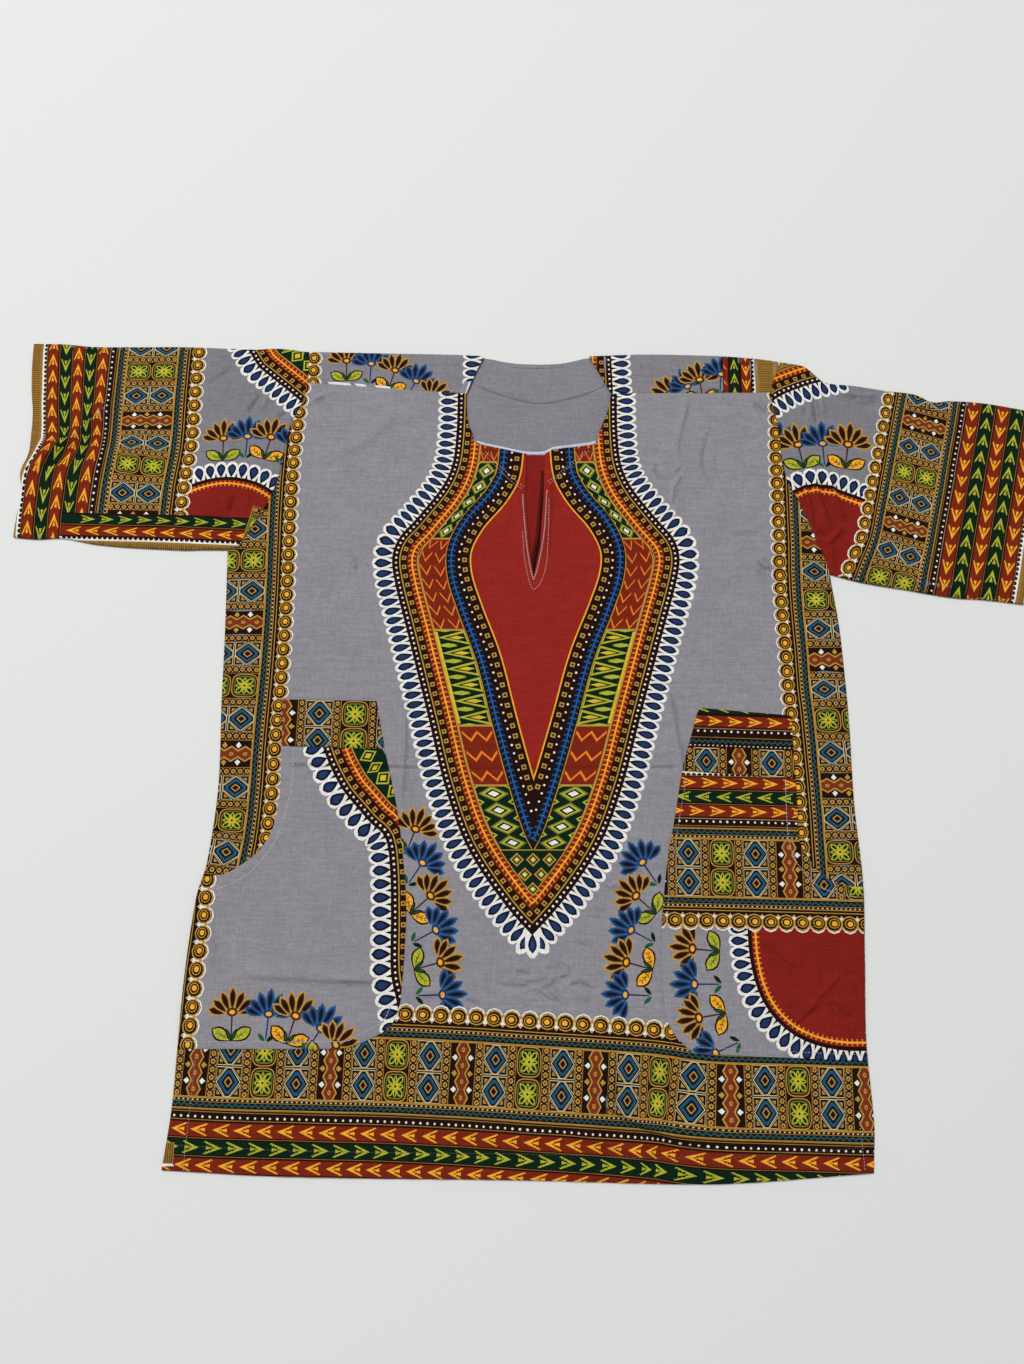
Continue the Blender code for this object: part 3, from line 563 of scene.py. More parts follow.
# ----------------------------------------------------------- ornament of the neckline
# A spearhead: narrow at the neck, widest on the chest, straight to a point.
# Half widths from its own axis, by height.
SPEAR_OUT = [(0.345, 0.1035), (0.262, 0.1035), (0.222, 0.1100), (0.186, 0.1340),
             (0.158, 0.1560), (0.130, 0.1640), (0.098, 0.1600), (0.040, 0.1440),
             (-0.040, 0.1220), (-0.110, 0.1030), (-0.170, 0.0790), (-0.225, 0.0410),
             (-0.2685, 0.0000)]
SPEAR_IN = [(0.345, 0.0385), (0.240, 0.0385), (0.206, 0.0480), (0.172, 0.0740),
            (0.140, 0.0885), (0.108, 0.0880), (0.070, 0.0760), (0.020, 0.0570),
            (-0.040, 0.0410), (-0.100, 0.0240), (-0.145, 0.0090), (-0.163, 0.0000)]


def axis_x(y, tilt=0.0142, x0=0.0021):
    return x0 + tilt * y


def spear_side(rows, side, tilt=0.0142, x0=0.0021, dy=0.0, cut=None):
    """One side of an outline of the ornament, from the neck down to the point."""
    pts = [(axis_x(y, tilt, x0) + side * w, y + dy) for y, w in rows if cut is None or y <= cut]
    return smooth_line(pts, 0.006)


def whole(line_a, line_b):
    """A closed loop from two sides that both run down to the point."""
    return np.vstack([line_a.p, line_b.p[::-1]])


def inward(line, side, d, tilt, x0):
    """A side of the outline moved inward, ended where it meets the axis."""
    moved_in = line.offset(d if side < 0 else -d).p if d else line.p
    off = side * (moved_in[:, 0] - axis_x(moved_in[:, 1], tilt, x0))
    if (off <= 0).any():
        k = int(np.argmax(off <= 0))
        if k > 0:
            u = off[k - 1] / (off[k - 1] - off[k])
            end = moved_in[k - 1] + u * (moved_in[k] - moved_in[k - 1])
            moved_in = np.vstack([moved_in[:k], end])
    return Line(moved_in)


def ornament(art, tilt=0.0142, x0=0.0021, cut=None, dy=0.0):
    """The neck ornament's outer borders, drawn as rings that follow its outline."""
    side = {s: Line(spear_side(SPEAR_OUT, s, tilt, x0, dy, cut)) for s in (-1, 1)}
    if dy:
        x0 -= tilt * dy

    def ring_of(d):
        return {s: inward(side[s], s, d, tilt, x0) for s in (-1, 1)}

    rim = ring_of(0.0215)
    leaf_edge(art, Line(rim[-1].p[::-1]), 0.004, rim[-1].length, 0.0215, 0.0098)
    leaf_edge(art, rim[1], 0.0, rim[1].length - 0.004, 0.0215, 0.0098)
    tip = rim[-1].p[-1] * 0.5 + rim[1].p[-1] * 0.5
    tongue = np.array([(-0.006, -0.0064), (0.0140, -0.0068), (0.0200, -0.0048),
                       (0.0235, -0.0018), (0.0235, 0.0018), (0.0200, 0.0048),
                       (0.0140, 0.0068), (-0.006, 0.0064)])
    for spread in (0.62, -0.62, 0.0):
        art.place(tip[0], tip[1] + 0.001, -math.pi / 2 + spread, [
            (tongue, "white"), (moved(blade(0.0180, 0.0082, 4, 0.6), 0.0015), "night"),
            (moved(blade(0.0120, 0.0054, 3, 0.56), 0.0055), "navy"),
            (moved(blade(0.0070, 0.0012, 1), 0.0085), "denim")])
    for d, ink in ((0.0200, "umber"), (0.0272, "gold"), (0.0284, "umber"), (0.0350, "brown")):
        r = ring_of(d)
        art.add(whole(r[-1], r[1]), ink)
    for d, draw in ((0.0240, "dots"), (0.0318, "squares"), (0.0400, "stitch")):
        r = ring_of(d)
        for s in (-1, 1):
            if draw == "dots":
                dots(art, r[s], 0.0, r[s].length - 0.003, 0.0, 0.0054, 0.0012, "white", n=5)
            elif draw == "squares":
                square_row(art, r[s], 0.0, r[s].length - 0.002)
            else:
                stitch_band(art, r[s], 0.0, r[s].length, -0.0045, 0.0045, "brick", "orange", "amber")
    for d, ink in ((0.0448, "gold"), (0.0458, "bottle")):
        r = ring_of(d)
        art.add(whole(r[-1], r[1]), ink)
    return {"left": r[-1], "right": r[1]}


def square_row(art, line, s0, s1, pitch=0.0096, q=0.0021):
    s = s0 + pitch / 2
    sq = np.array([(-q, -q), (q, -q), (q, q), (-q, q)])
    while s < s1:
        art.stamp(line, s, 0.0, [(sq, "gold"), (sq * 0.45, "umber")])
        s += pitch


def along_y(line, y):
    """Length along a falling line down to height y."""
    ys = line.p[:, 1]
    i = int(np.argmax(ys <= y)) if (ys <= y).any() else len(ys) - 1
    if i == 0:
        return 0.0
    u = (ys[i - 1] - y) / max(1e-9, ys[i - 1] - ys[i])
    return float(line.s[i - 1] + u * (line.s[i] - line.s[i - 1]))


def panel(art, outer, inner, y0, y1, ground, kind, side):
    """A panel of the ornament between its outer and inner borders, from y0 down to
    y1; kind names what fills it."""
    so = np.linspace(along_y(outer, y0), along_y(outer, y1), 9)
    si = np.linspace(along_y(inner, y0), along_y(inner, y1), 9)
    o = outer.at(so, np.zeros(9))
    i = inner.at(si, np.zeros(9))
    art.add(np.vstack([o, i[::-1]]), "gold")

    def at(u, v):
        """u from 0 at y0 to 1 at y1, v from 0 at the inner to 1 at the outer edge."""
        k = np.clip(np.atleast_1d(u), 0, 1) * 8
        a = np.clip(k.astype(int), 0, 7)
        f = (k - a)[:, None]
        po = o[a] * (1 - f) + o[a + 1] * f
        pi = i[a] * (1 - f) + i[a + 1] * f
        v = np.atleast_1d(v)[:, None]
        return pi * (1 - v) + po * v

    length = np.hypot(*((o[0] + i[0]) / 2 - (o[-1] + i[-1]) / 2))
    width = float(np.hypot(*(o[4] - i[4])))
    e, g = 0.0010 / length, 0.0010 / width
    uu = np.linspace(e, 1 - e, 9)
    loop = np.vstack([at(uu, np.full(9, 1 - g)), at(uu, np.full(9, g))[::-1]])
    art.add(loop, ground)

    def put(loop, ink):
        loop = np.asarray(loop, float)
        art.add(at(loop[:, 0], loop[:, 1]), ink)

    if kind == "herring":                      # gold branches on red
        n = max(2, int(round(length / 0.0135)))
        cols = 2 if width > 0.019 else 1
        for c in range(cols):
            v0, v1 = c / cols + 0.06, (c + 1) / cols - 0.06
            vm = (v0 + v1) / 2
            for k in range(n):
                u0 = (k + 0.12) / n
                u1 = (k + 0.78) / n
                t = 0.17 / n
                put([(u1, vm), (u0, v0), (u0 + t, v0), (u1 + t, vm), (u0 + t, v1), (u0, v1)], "orange")
    elif kind == "fans":                       # fans of lime leaves from the inner edge
        n = max(2, int(round(length / 0.0165)))
        for k in range(n):
            uc = (k + 0.5) / n
            half = 0.46 / n
            put([(uc - half, 0.04), (uc, 0.93), (uc + half, 0.04)], "lime")
            put([(uc - half * 0.66, 0.08), (uc, 0.74), (uc + half * 0.66, 0.08)], "bottle")
            put([(uc, 0.10), (uc + half * 0.26, 0.34), (uc, 0.60), (uc - half * 0.26, 0.34)], "yellow")
            for e2 in (-1, 1):
                w = uc + e2 * half
                put([(w, 0.96), (w - 0.22 * half, 0.66), (w, 0.40), (w + 0.22 * half, 0.66)], "lime")
        put([(0.02, 0.90), (0.98, 0.90), (0.98, 0.985), (0.02, 0.985)], "yellow")
    elif kind == "kites":                      # pale kites in a lime mesh
        n = max(2, int(round(length / 0.0185)))
        for k in range(n):
            uc, h = (k + 0.5) / n, 0.5 / n
            for z, ink in ((0.98, "olive"), (0.80, "lime"), (0.58, "bottle"), (0.36, "white")):
                put([(uc - h * z, 0.5), (uc, 0.5 - 0.44 * z), (uc + h * z, 0.5), (uc, 0.5 + 0.44 * z)], ink)
            for v in (0.0, 1.0):
                for z, ink in ((0.44, "lime"), (0.22, "bottle")):
                    d = 0.5 + (v - 0.5) * 0.96
                    sgn = 1 if v == 0 else -1
                    put([(uc - h - h * z * 0.9, d), (uc - h, d + sgn * 0.36 * z), (uc - h + h * z * 0.9, d)], ink)
    elif kind == "bolts":                      # orange zigzags on red
        n = max(3, int(round(width / 0.0105)))
        m = max(2, int(round(length / 0.0190)))
        for k in range(m):
            base = (k + 0.25) / m
            vs = np.linspace(0.07, 0.93, 2 * n - 1)
            off = np.where(np.arange(2 * n - 1) % 2, 0.42 / m, 0.0)
            t = 0.15 / m
            up = [(base + a, v) for a, v in zip(off, vs)]
            dn = [(base + a + t, v) for a, v in zip(off, vs)]
            put(up + dn[::-1], "orange")


def neck_piece(art, tilt=0.0142, x0=0.0021, dy=0.0, cut=None):
    """The whole ornament: outer borders, panels, inner borders and plain red field."""
    edge = ornament(art, tilt, x0, cut, dy)
    side = {s: Line(spear_side(SPEAR_IN, s, tilt, x0, dy, cut)) for s in (-1, 1)}
    if dy:
        x0 -= tilt * dy
    il, ir = side[-1], side[1]
    panels = [(0.345, 0.232, "brick", "herring"), (0.232, 0.148, "bottle", "kites"),
              (0.148, 0.052, "brick", "herring"), (0.052, -0.044, "bottle", "fans"),
              (-0.044, -0.102, "brick", "bolts"), (-0.102, -0.163, "bottle", "kites")]
    for y0, y1, ground, kind in panels:
        if cut is not None and y0 > cut:
            y0 = cut
            if y1 > cut:
                continue
        for s, out, inn in ((-1, edge["left"], il), (1, edge["right"], ir)):
            panel(art, out, inn, y0 + dy, y1 + dy, ground, kind, s)
    # below the inner point: a dark tip with kites
    for y, n in ((-0.1715, 3), (-0.1850, 2), (-0.1985, 1)):
        for k in range(n):
            x = axis_x(y + dy, tilt, x0) + (k - (n - 1) / 2) * 0.0152
            for z, ink in ((1.0, "gold"), (0.72, "umber"), (0.46, "lime"), (0.20, "white")):
                art.add(np.array([(-0.0066, 0), (0, -0.0064), (0.0066, 0), (0, 0.0064)]) * z
                        + [x, y + dy], ink)

    def ring_of(d):
        return {s: inward(side[s], s, d, tilt, x0) for s in (-1, 1)}

    for d, ink in ((0.0, "umber"),):
        r = ring_of(d)
        art.add(whole(r[-1], r[1]), ink)
    for d, draw in ((0.0050, "stitch"), (0.0128, "dots"), (0.0184, "squares")):
        r = ring_of(d)
        for s in (-1, 1):
            if draw == "dots":
                dots(art, r[s], 0.0, r[s].length, 0.0, 0.0082, 0.0012, "white", n=5)
            elif draw == "squares":
                square_row(art, r[s], 0.0, r[s].length - 0.003, 0.0104, 0.0023)
            else:
                stitch_band(art, r[s], 0.0, r[s].length, -0.0040, 0.0040, "night", "denim", "blue", 0.0058)
    for d, ink in ((0.0236, "amber"), (0.0250, "red")):
        r = ring_of(d)
        art.add(whole(r[-1], r[1]), ink)


# ======================================================== where the print's parts lie
# Garment coordinates: x to the right of the body's centre, y up from the bust line.
BORDER_FULL = 0.103     # inner edge of the wide border to its first stripe


def wide_border(art, line, s0, s1, first=0, narrow=False, stripes=(), way=1, phase=0.0,
                shift=0.0, cell=0.0232, gap=0.0080, row=0.0134, coin=0.0146, long=0.0192):
    """The cloth's wide border, from its scalloped inner edge outwards, which is the
    line's left side. A narrow one ends with its wide row of cells."""
    cells(art, line, s0 + shift, s1, 0.0303, 0.0840, first, cell, gap)
    coins(art, line, s0, s1, 0.0, 0.0190, pitch=coin, phase=phase)
    art.strip(line, s0, s1, 0.0188, 0.0206, "umber")
    braid(art, line, s0, s1, 0.0206, 0.0303)
    if not narrow:
        braid(art, line, s0, s1, 0.0840, 0.0935)
        dotted_band(art, line, s0, s1, 0.0935, 0.1028)
    d = BORDER_FULL
    for k, (ground, ink) in enumerate(stripes):
        arrows(art, line, s0, s1, d, d + row, ground, ink,
               -way if k % 2 else way, long, phase=0.31 * k + 0.2)
        d += row
        between(art, line, s0, s1, d, "tan", 0.0009)
    return d


def edge_bands(art, feet, depth=0.05, panel_from=None, pitch=0.0100):
    """The ornament's edging on its own: leaves on the line's left, bands on its right."""
    n = feet.length
    leaf_edge(art, feet, 0.0, n, 0.0205, pitch)
    art.strip(feet, 0, n, -depth, 0.0015, "umber")
    dots(art, feet, 0, n, -0.0025, 0.0054, 0.0012, "white", n=5)
    between(art, feet, 0, n, -0.0062, "gold", 0.0012)
    square_row(art, Line(feet.at(feet.s, np.full(len(feet.s), -0.0100))), 0.0, n)
    stitch_band(art, feet, 0, n, -0.0232, -0.0142, "brick", "orange", "amber")
    if panel_from is not None:
        art.strip(feet, panel_from, n, -depth, -0.0240, "bottle")
        between(art, feet, 0, n, -0.0240, "gold", 0.0012)
        s = panel_from + 0.008
        while s < n:
            for z, ink in ((1.0, "lime"), (0.74, "bottle"), (0.44, "yellow")):
                art.stamp(feet, s, -0.0350, [(np.array(
                    [(-0.0080, 0), (0, -0.0092), (0.0080, 0), (0, 0.0092)]) * z, ink)])
            s += 0.0172


RED_ROW, GREEN_ROW = ("brick", "amber"), ("bottle", "lime")


# the row of white dots above the hem, which dips towards +x like the cloth's grain
DOT_ROW = [(0.345, -0.4252), (0.2952, -0.4238), (0.2148, -0.4215), (0.1623, -0.4200),
           (0.1274, -0.4168), (0.1012, -0.4130), (0.0486, -0.4091), (-0.0059, -0.4059),
           (-0.0658, -0.4021), (-0.1364, -0.3990), (-0.1805, -0.3980), (-0.2599, -0.3962),
           (-0.3183, -0.3939), (-0.3450, -0.3930)]


def hem_border(art, shift=0.0129, first=2):
    dots_line = Line(smooth_line(DOT_ROW, 0.008))
    # the line runs to -x, so that its left is down: it starts 100 mm above the dots
    top = Line(dots_line.at(dots_line.s, np.full(len(dots_line.s), -0.1002)))
    art.strip(top, 0, top.length, 0.080, 0.160, "umber")
    wide_border(art, top, 0.0, top.length, first, False, (RED_ROW, GREEN_ROW, RED_ROW), way=1,
                shift=shift, cell=0.0220, gap=0.0077, row=0.0146, coin=0.0160, long=0.0184)


SIDE_LINE = {
    -1: [(-0.2520, -0.3085), (-0.2480, -0.208), (-0.2412, -0.154), (-0.2386, -0.110),
         (-0.2380, -0.062), (-0.2360, -0.010), (-0.2348, 0.040), (-0.2348, 0.100),
         (-0.2358, 0.165), (-0.2356, 0.225), (-0.2326, 0.281), (-0.2296, 0.318),
         (-0.2219, 0.365)],
    1: [(0.2499, 0.365), (0.2469, 0.318), (0.2450, 0.281), (0.2425, 0.236), (0.2412, 0.190),
        (0.2400, 0.147), (0.2382, 0.105), (0.2382, 0.062), (0.2390, 0.027), (0.2390, -0.008),
        (0.2403, -0.033), (0.2412, -0.063), (0.2420, -0.095), (0.2424, -0.130),
        (0.2424, -0.160), (0.2422, -0.208), (0.2408, -0.320)],
}


def side_border(art, side, first=0, shift=0.0):
    line = Line(smooth_line(SIDE_LINE[side], 0.010))
    cell, gap = (0.0246, 0.0084) if side < 0 else (0.0231, 0.0079)
    wide_border(art, line, 0.0, line.length, first, True, shift=shift, cell=cell, gap=gap,
                coin=0.0142)


def front_art():
    art = Art(3)
    side_border(art, -1, 0, -0.0063)
    side_border(art, 1, 0, -0.0087)
    # sprays lean out from the pockets' sides towards the ornament
    left = [(-0.1100, -0.2930, 2), (-0.1120, -0.2710, 15), (-0.1140, -0.2480, 28),
            (-0.1160, -0.2230, 42), (-0.1185, -0.1970, 56), (-0.1200, -0.1690, 70)]
    right = [(0.1090, -0.2930, 178), (0.1110, -0.2710, 165), (0.1130, -0.2480, 152),
             (0.1150, -0.2230, 138), (0.1170, -0.1970, 124)]
    spray(art, [(x, y, math.radians(t)) for x, y, t in left[::-1]], 0.0520, 0)
    spray(art, [(x, y, math.radians(t)) for x, y, t in right[::-1]], 0.0520, 1)
    hem_border(art)
    # the selvedge shows at the hem's -x corner
    art.add([(-0.3300, -0.4158), (-0.3152, -0.4158), (-0.3152, -0.4335), (-0.3300, -0.4335)], "tan")
    for k in range(5):
        x = -0.3248 + 0.0019 * k
        art.add([(x, -0.4166), (x + 0.0008, -0.4166), (x + 0.0008, -0.4328), (x, -0.4328)], "brown")
    art.add([(-0.3300, -0.4330), (-0.3158, -0.4330), (-0.3140, -0.4350), (-0.3300, -0.4350)], "white")
    neck_piece(art)
    return art


def back_art():
    """The back's own print, in the cut: the shoulder strips come after the fold."""
    art = Art(5)
    side_border(art, -1, 1)
    side_border(art, 1, 3)
    hem_border(art, 0.004, 3)
    neck_piece(art, tilt=0.0, x0=0.006, dy=0.075, cut=0.262)
    return art


def strip_art(side):
    """Print of a shoulder strip as it lies on top, in laid coordinates."""
    art = Art(7 + side)
    # the strip's grey ground is painted darker than the front's, as painted shade towards the top of the laid shirt
    art.add([(-0.262, 0.30), (-0.04, 0.30), (-0.04, 0.40), (-0.262, 0.40)] if side < 0 else
            [(0.05, 0.30), (0.28, 0.30), (0.28, 0.40), (0.05, 0.40)], "strip_ground_painted_shade")
    if side < 0:
        coins(art, Line(np.array([(-0.2196, 0.300), (-0.2196, 0.380)])), 0, 0.08, 0.0, 0.0190)
        spots = ((-0.1935, 0.3219, 92), (-0.1692, 0.3184, 88), (-0.1502, 0.3120, 74),
                 (-0.1330, 0.3010, 62), (-0.1215, 0.2900, 44))
        spray(art, [(x, y, math.radians(t)) for x, y, t in spots], 0.0500, 0)
        # the scallop of the next row, caught in the seam
        for x0, x1, y in ((-0.2135, -0.1882, 0.3222), (-0.1850, -0.1713, 0.3202),
                          (-0.1640, -0.1460, 0.3182)):
            art.add([(x0, y + 0.0012), (x0 + 0.003, y - 0.002), (x1, y - 0.003),
                     (x1 - 0.002, y - 0.0002), ((x0 + x1) / 2, y + 0.0008)], "white")
        leaf_edge(art, Line(np.array([(-0.0504, 0.298), (-0.0504, 0.380)])), 0, 0.082, 0.0215, 0.0104)
        art.add([(-0.0700, 0.3240), (-0.0560, 0.3240), (-0.0640, 0.3060), (-0.0760, 0.3060)], "ground")
        art.add([(-0.0634, 0.3240), (-0.0650, 0.3240), (-0.0690, 0.3090), (-0.0674, 0.3090)], "white")
    else:
        feet = Line(np.array([(0.0830, 0.380), (0.0850, 0.298)]))
        leaf_edge(art, feet, 0, 0.082, 0.0215, 0.0108)
        art.strip(feet, 0, feet.length, -0.030, 0.0010, "umber")
        dots(art, feet, 0, feet.length, -0.0020, 0.0056, 0.0012, "white", n=5)
        between(art, feet, 0, feet.length, -0.0058, "gold", 0.0010)
        square_row(art, Line(feet.at(feet.s, np.full(len(feet.s), -0.0098))), 0, feet.length)
        stitch_band(art, feet, 0, feet.length, -0.0230, -0.0142, "brick", "orange", "amber")
        spots = ((0.1648, 0.2894, 134), (0.1744, 0.2940, 113), (0.1798, 0.2986, 96),
                 (0.1969, 0.3056, 84))
        spray(art, [(x, y, math.radians(t)) for x, y, t in spots], 0.0520, 0)
        # the sleeve border's end, its rows upright
        row = Line(np.array([(0.2083, 0.380), (0.2070, 0.300)]))
        art.strip(row, 0, row.length, -0.0062, 0.0, "umber")
        art.strip(row, 0, row.length, -0.0054, -0.0006, "brick")
        for v in (0.018, 0.036, 0.054):
            art.add(row.at([v, v + 0.007, v + 0.004], [-0.0050, -0.0014, -0.0050]), "orange")
        arrows(art, row, 0.0, row.length, 0.0, 0.0120, *GREEN_ROW, way=-1, pitch=0.0165, phase=0.7)
        arrows(art, row, 0.0, row.length, 0.0120, 0.0246, *RED_ROW, way=1, pitch=0.0165, phase=0.1)
        picots(art, row, 0.0, row.length, 0.0246, 0.0280)
        ribbed(art, row, 0.0, row.length, 0.0280, 0.0530)
        between(art, row, 0.0, row.length, 0.0538, "white", 0.0014)
    return art


# ------------------------------------------------------------------------- sleeves
def peak(art, points, length=0.0190, inner=None, comb=0.0068, pitch=0.0100):
    """A red field that ends in a roof-shaped line: leaves outside, a comb inside.
    Its foot line has the outside on its left."""
    line = Line(np.asarray(points, float))
    art.add(np.vstack([line.p, np.asarray(inner, float)]), "umber")
    leaf_edge(art, line, 0.0, line.length, length, pitch)
    dark = Line(resampled(line.p, 0.004))
    art.strip(dark, 0, dark.length, -0.0030, 0.0012, "umber")
    red = np.vstack([dark.at(dark.s, np.full(len(dark.s), -0.0022)), np.asarray(inner, float)])
    art.add(red, "crimson")
    stitch_half(art, dark, 0, dark.length, -0.0022 - comb, -0.0022)


def stitch_half(art, line, s0, s1, d0, d1, pitch=0.0048):
    """A comb beside the field's edge: an amber rail with orange teeth on both sides."""
    mid = d0 + (d1 - d0) * 0.46
    s = s0 + pitch / 2
    while s < s1:
        art.add(line.at([s - 0.0009, s + 0.0009, s + 0.0006, s - 0.0006],
                        [mid, mid, d0, d0]), "orange")
        art.add(line.at([s - 0.0009, s + 0.0009, s + 0.0006, s - 0.0006],
                        [mid, mid, d1 - 0.0008, d1 - 0.0008]), "orange")
        s += pitch
    between(art, line, s0, s1, mid, "amber", 0.0018)


FIVE = (RED_ROW, GREEN_ROW, RED_ROW, GREEN_ROW, RED_ROW)


def spots(rows):
    return [(x, y, math.radians(t)) for x, y, t in rows]


def cuff_wave(p):
    """The pull of the cuff's fold on the rows of the border near it."""
    amp = np.interp(p[:, 1], [0.148, 0.205, 0.2248, 0.2400, 0.2585, 0.300, 0.368],
                    [0.0010, -0.0012, -0.0016, 0.0044, 0.0098, 0.0052, 0.0])
    u = np.clip((-0.432 - p[:, 0]) / 0.070, 0, 1)
    return p + np.column_stack([amp * u * u * (3 - 2 * u), np.zeros(len(p))])


def sleeve_art_neg():
    """The sleeve on the -x side, upper layer, in garment coordinates."""
    art = Art(11)
    spray(art, spots([(-0.3170, 0.2304, 92), (-0.2941, 0.2327, 88), (-0.2757, 0.2316, 76),
                      (-0.2608, 0.2270, 60)]), 0.0530, 0)
    # a corner of the ornament's edging at the shoulder
    edge_bands(art, Line(resampled([(-0.2240, 0.2890), (-0.2440, 0.3060), (-0.2860, 0.3420),
                                    (-0.3060, 0.3760)], 0.008)), 0.06, 0.0)
    peak(art, smooth_line([(-0.3600, 0.1985), (-0.3480, 0.2055), (-0.3311, 0.2112),
                           (-0.3130, 0.2135), (-0.2920, 0.2116), (-0.2755, 0.2059),
                           (-0.2560, 0.1930)], 0.006), 0.0185, [(-0.256, 0.150), (-0.360, 0.150)])
    border = Art(12)
    line = Line(smooth_line([(-0.3480, 0.120), (-0.3475, 0.160), (-0.3460, 0.205),
                             (-0.3420, 0.250), (-0.3420, 0.300), (-0.3420, 0.390)], 0.010))
    end = wide_border(border, line, 0.0, line.length, 2, False, FIVE, way=1, phase=0.3,
                      shift=0.0080, cell=0.0210, gap=0.0072, coin=0.0156)
    picots(border, line, 0.0, line.length, end, end + 0.0042)
    ribbed(border, line, 0.0, line.length, end + 0.0042, end + 0.0185)
    art.shapes += border.warped(cuff_wave).shapes
    # the cloth's own edge runs along the sleeve's lower side
    low = Line(resampled(np.array([(-0.4760, 0.1762), (-0.3560, 0.1728), (-0.2400, 0.1672)])[::-1], 0.01))
    n = low.length
    art.strip(low, 0, n, -0.0006, 0.0425, "umber")
    arrows(art, low, 0.0, n, 0.0, 0.0122, *GREEN_ROW, way=-1, phase=0.4)
    between(art, low, 0.0, n, 0.0122, "tan")
    arrows(art, low, 0.0, n, 0.0122, 0.0252, *RED_ROW, way=1, phase=0.1)
    picots(art, low, 0.0, n, 0.0252, 0.0290)
    ribbed(art, low, 0.0, n, 0.0290, 0.0425)
    # cells of the side border carried on to the sleeve at the underarm
    cells(art, Line(np.array([(-0.2860, 0.1200), (-0.2660, 0.2000)])), 0.0, 0.062, -0.010, 0.012, 0)
    return art


def chain_pull(p):
    """The border's inner rows lean out over the folded sleeve; its outer rows don't."""
    a, b = np.array([0.3549, 0.3237]), np.array([0.3015, 0.1208])
    t = (b - a) / np.hypot(*(b - a))
    d = (p[:, 0] - a[0]) * -t[1] + (p[:, 1] - a[1]) * t[0]
    pull = 0.0140 * np.clip(1 - (d - 0.0089) / 0.0893, 0, 1.1)
    pull *= np.interp(p[:, 1], [0.085, 0.1115, 0.1264, 0.150], [0.25, 0.43, 0.64, 1.0])
    return p + np.column_stack([pull, np.zeros(len(p))])


def sleeve_art_pos():
    """The sleeve on the +x side, upper layer, in garment coordinates."""
    art = Art(13)
    spray(art, spots([(0.2520, 0.2240, 84), (0.2795, 0.2212, 98), (0.3004, 0.2225, 90),
                      (0.3211, 0.2212, 80)]), 0.0570, 1)
    edge_bands(art, Line(smooth_line([(0.3300, 0.3310), (0.3127, 0.3277), (0.2956, 0.3230),
                                      (0.2773, 0.3165), (0.2600, 0.3085), (0.2430, 0.2960)], 0.006)),
               0.06, 0.0)
    corner = Line(smooth_line([(0.3300, 0.3310), (0.3127, 0.3277), (0.2956, 0.3230),
                               (0.2773, 0.3165), (0.2600, 0.3085), (0.2430, 0.2960)], 0.006))
    stitch_band(art, corner, 0.0, corner.length, -0.0232, -0.0142, "brick", "orange", "amber")
    art.strip(corner, 0.0, corner.length, -0.060, -0.0236, "tan")
    between(art, corner, 0.0, corner.length, -0.0260, "umber", 0.0008)
    for s in np.arange(0.006, corner.length, 0.0078):
        art.stamp(corner, s, -0.0300, [(ring(0, 0, 0.0026, 0.0020, 6), "olive"),
                                       (ring(0, 0, 0.0013, 0.0010, 5), "umber")])
    peak(art, smooth_line([(0.2520, 0.1930), (0.2640, 0.1972), (0.2720, 0.2020), (0.2900, 0.2055),
                           (0.3075, 0.2020), (0.3280, 0.1940), (0.3560, 0.1790)], 0.006),
         0.0185, [(0.356, 0.080), (0.252, 0.080)])
    border = Art(14)
    line = Line(resampled([(0.3750, 0.4000), (0.3549, 0.3237), (0.3015, 0.1208), (0.2850, 0.0580)], 0.012))
    end = wide_border(border, line, 0.0, line.length, 0, False, FIVE, way=1, phase=0.1,
                      shift=0.0156, cell=0.0218, gap=0.0076, row=0.0150, coin=0.0160)
    picots(border, line, 0.0, line.length, end, end + 0.0042)
    ribbed(border, line, 0.0, line.length, end + 0.0042, end + 0.0240)
    art.shapes += border.warped(chain_pull).shapes
    return art


# ------------------------------------------------------------------------- pockets
def pocket_neg_art():
    art = Art(17)
    edge = Line(smooth_line([(-0.3012, -0.3600), (-0.3004, -0.3280), (-0.2990, -0.3100),
                             (-0.2975, -0.2710), (-0.2945, -0.2340), (-0.2938, -0.1940),
                             (-0.2930, -0.1700)], 0.012))
    coins(art, edge, 0.0, edge.length, 0.0, 0.0190, pitch=0.0162)
    art.strip(edge, 0, edge.length, 0.0188, 0.0206, "umber")
    braid(art, edge, 0, edge.length, 0.0206, 0.0303)
    spray(art, spots([(-0.2711, -0.3345, 91), (-0.2405, -0.3354, 86), (-0.2225, -0.3371, 73),
                      (-0.2060, -0.3447, 58), (-0.1976, -0.3531, 42)]), 0.0520, 0)
    feet = Line(smooth_line([(-0.1150, -0.3500), (-0.1170, -0.3269), (-0.1223, -0.2985),
                             (-0.1285, -0.2715), (-0.1297, -0.2262), (-0.1318, -0.1808),
                             (-0.1372, -0.1510), (-0.1521, -0.1361), (-0.1658, -0.1210),
                             (-0.1788, -0.1058), (-0.1911, -0.0847), (-0.1989, -0.0663),
                             (-0.2070, -0.0460)], 0.006))
    edge_bands(art, feet, 0.05, feet.length - 0.125, 0.0126)
    return art


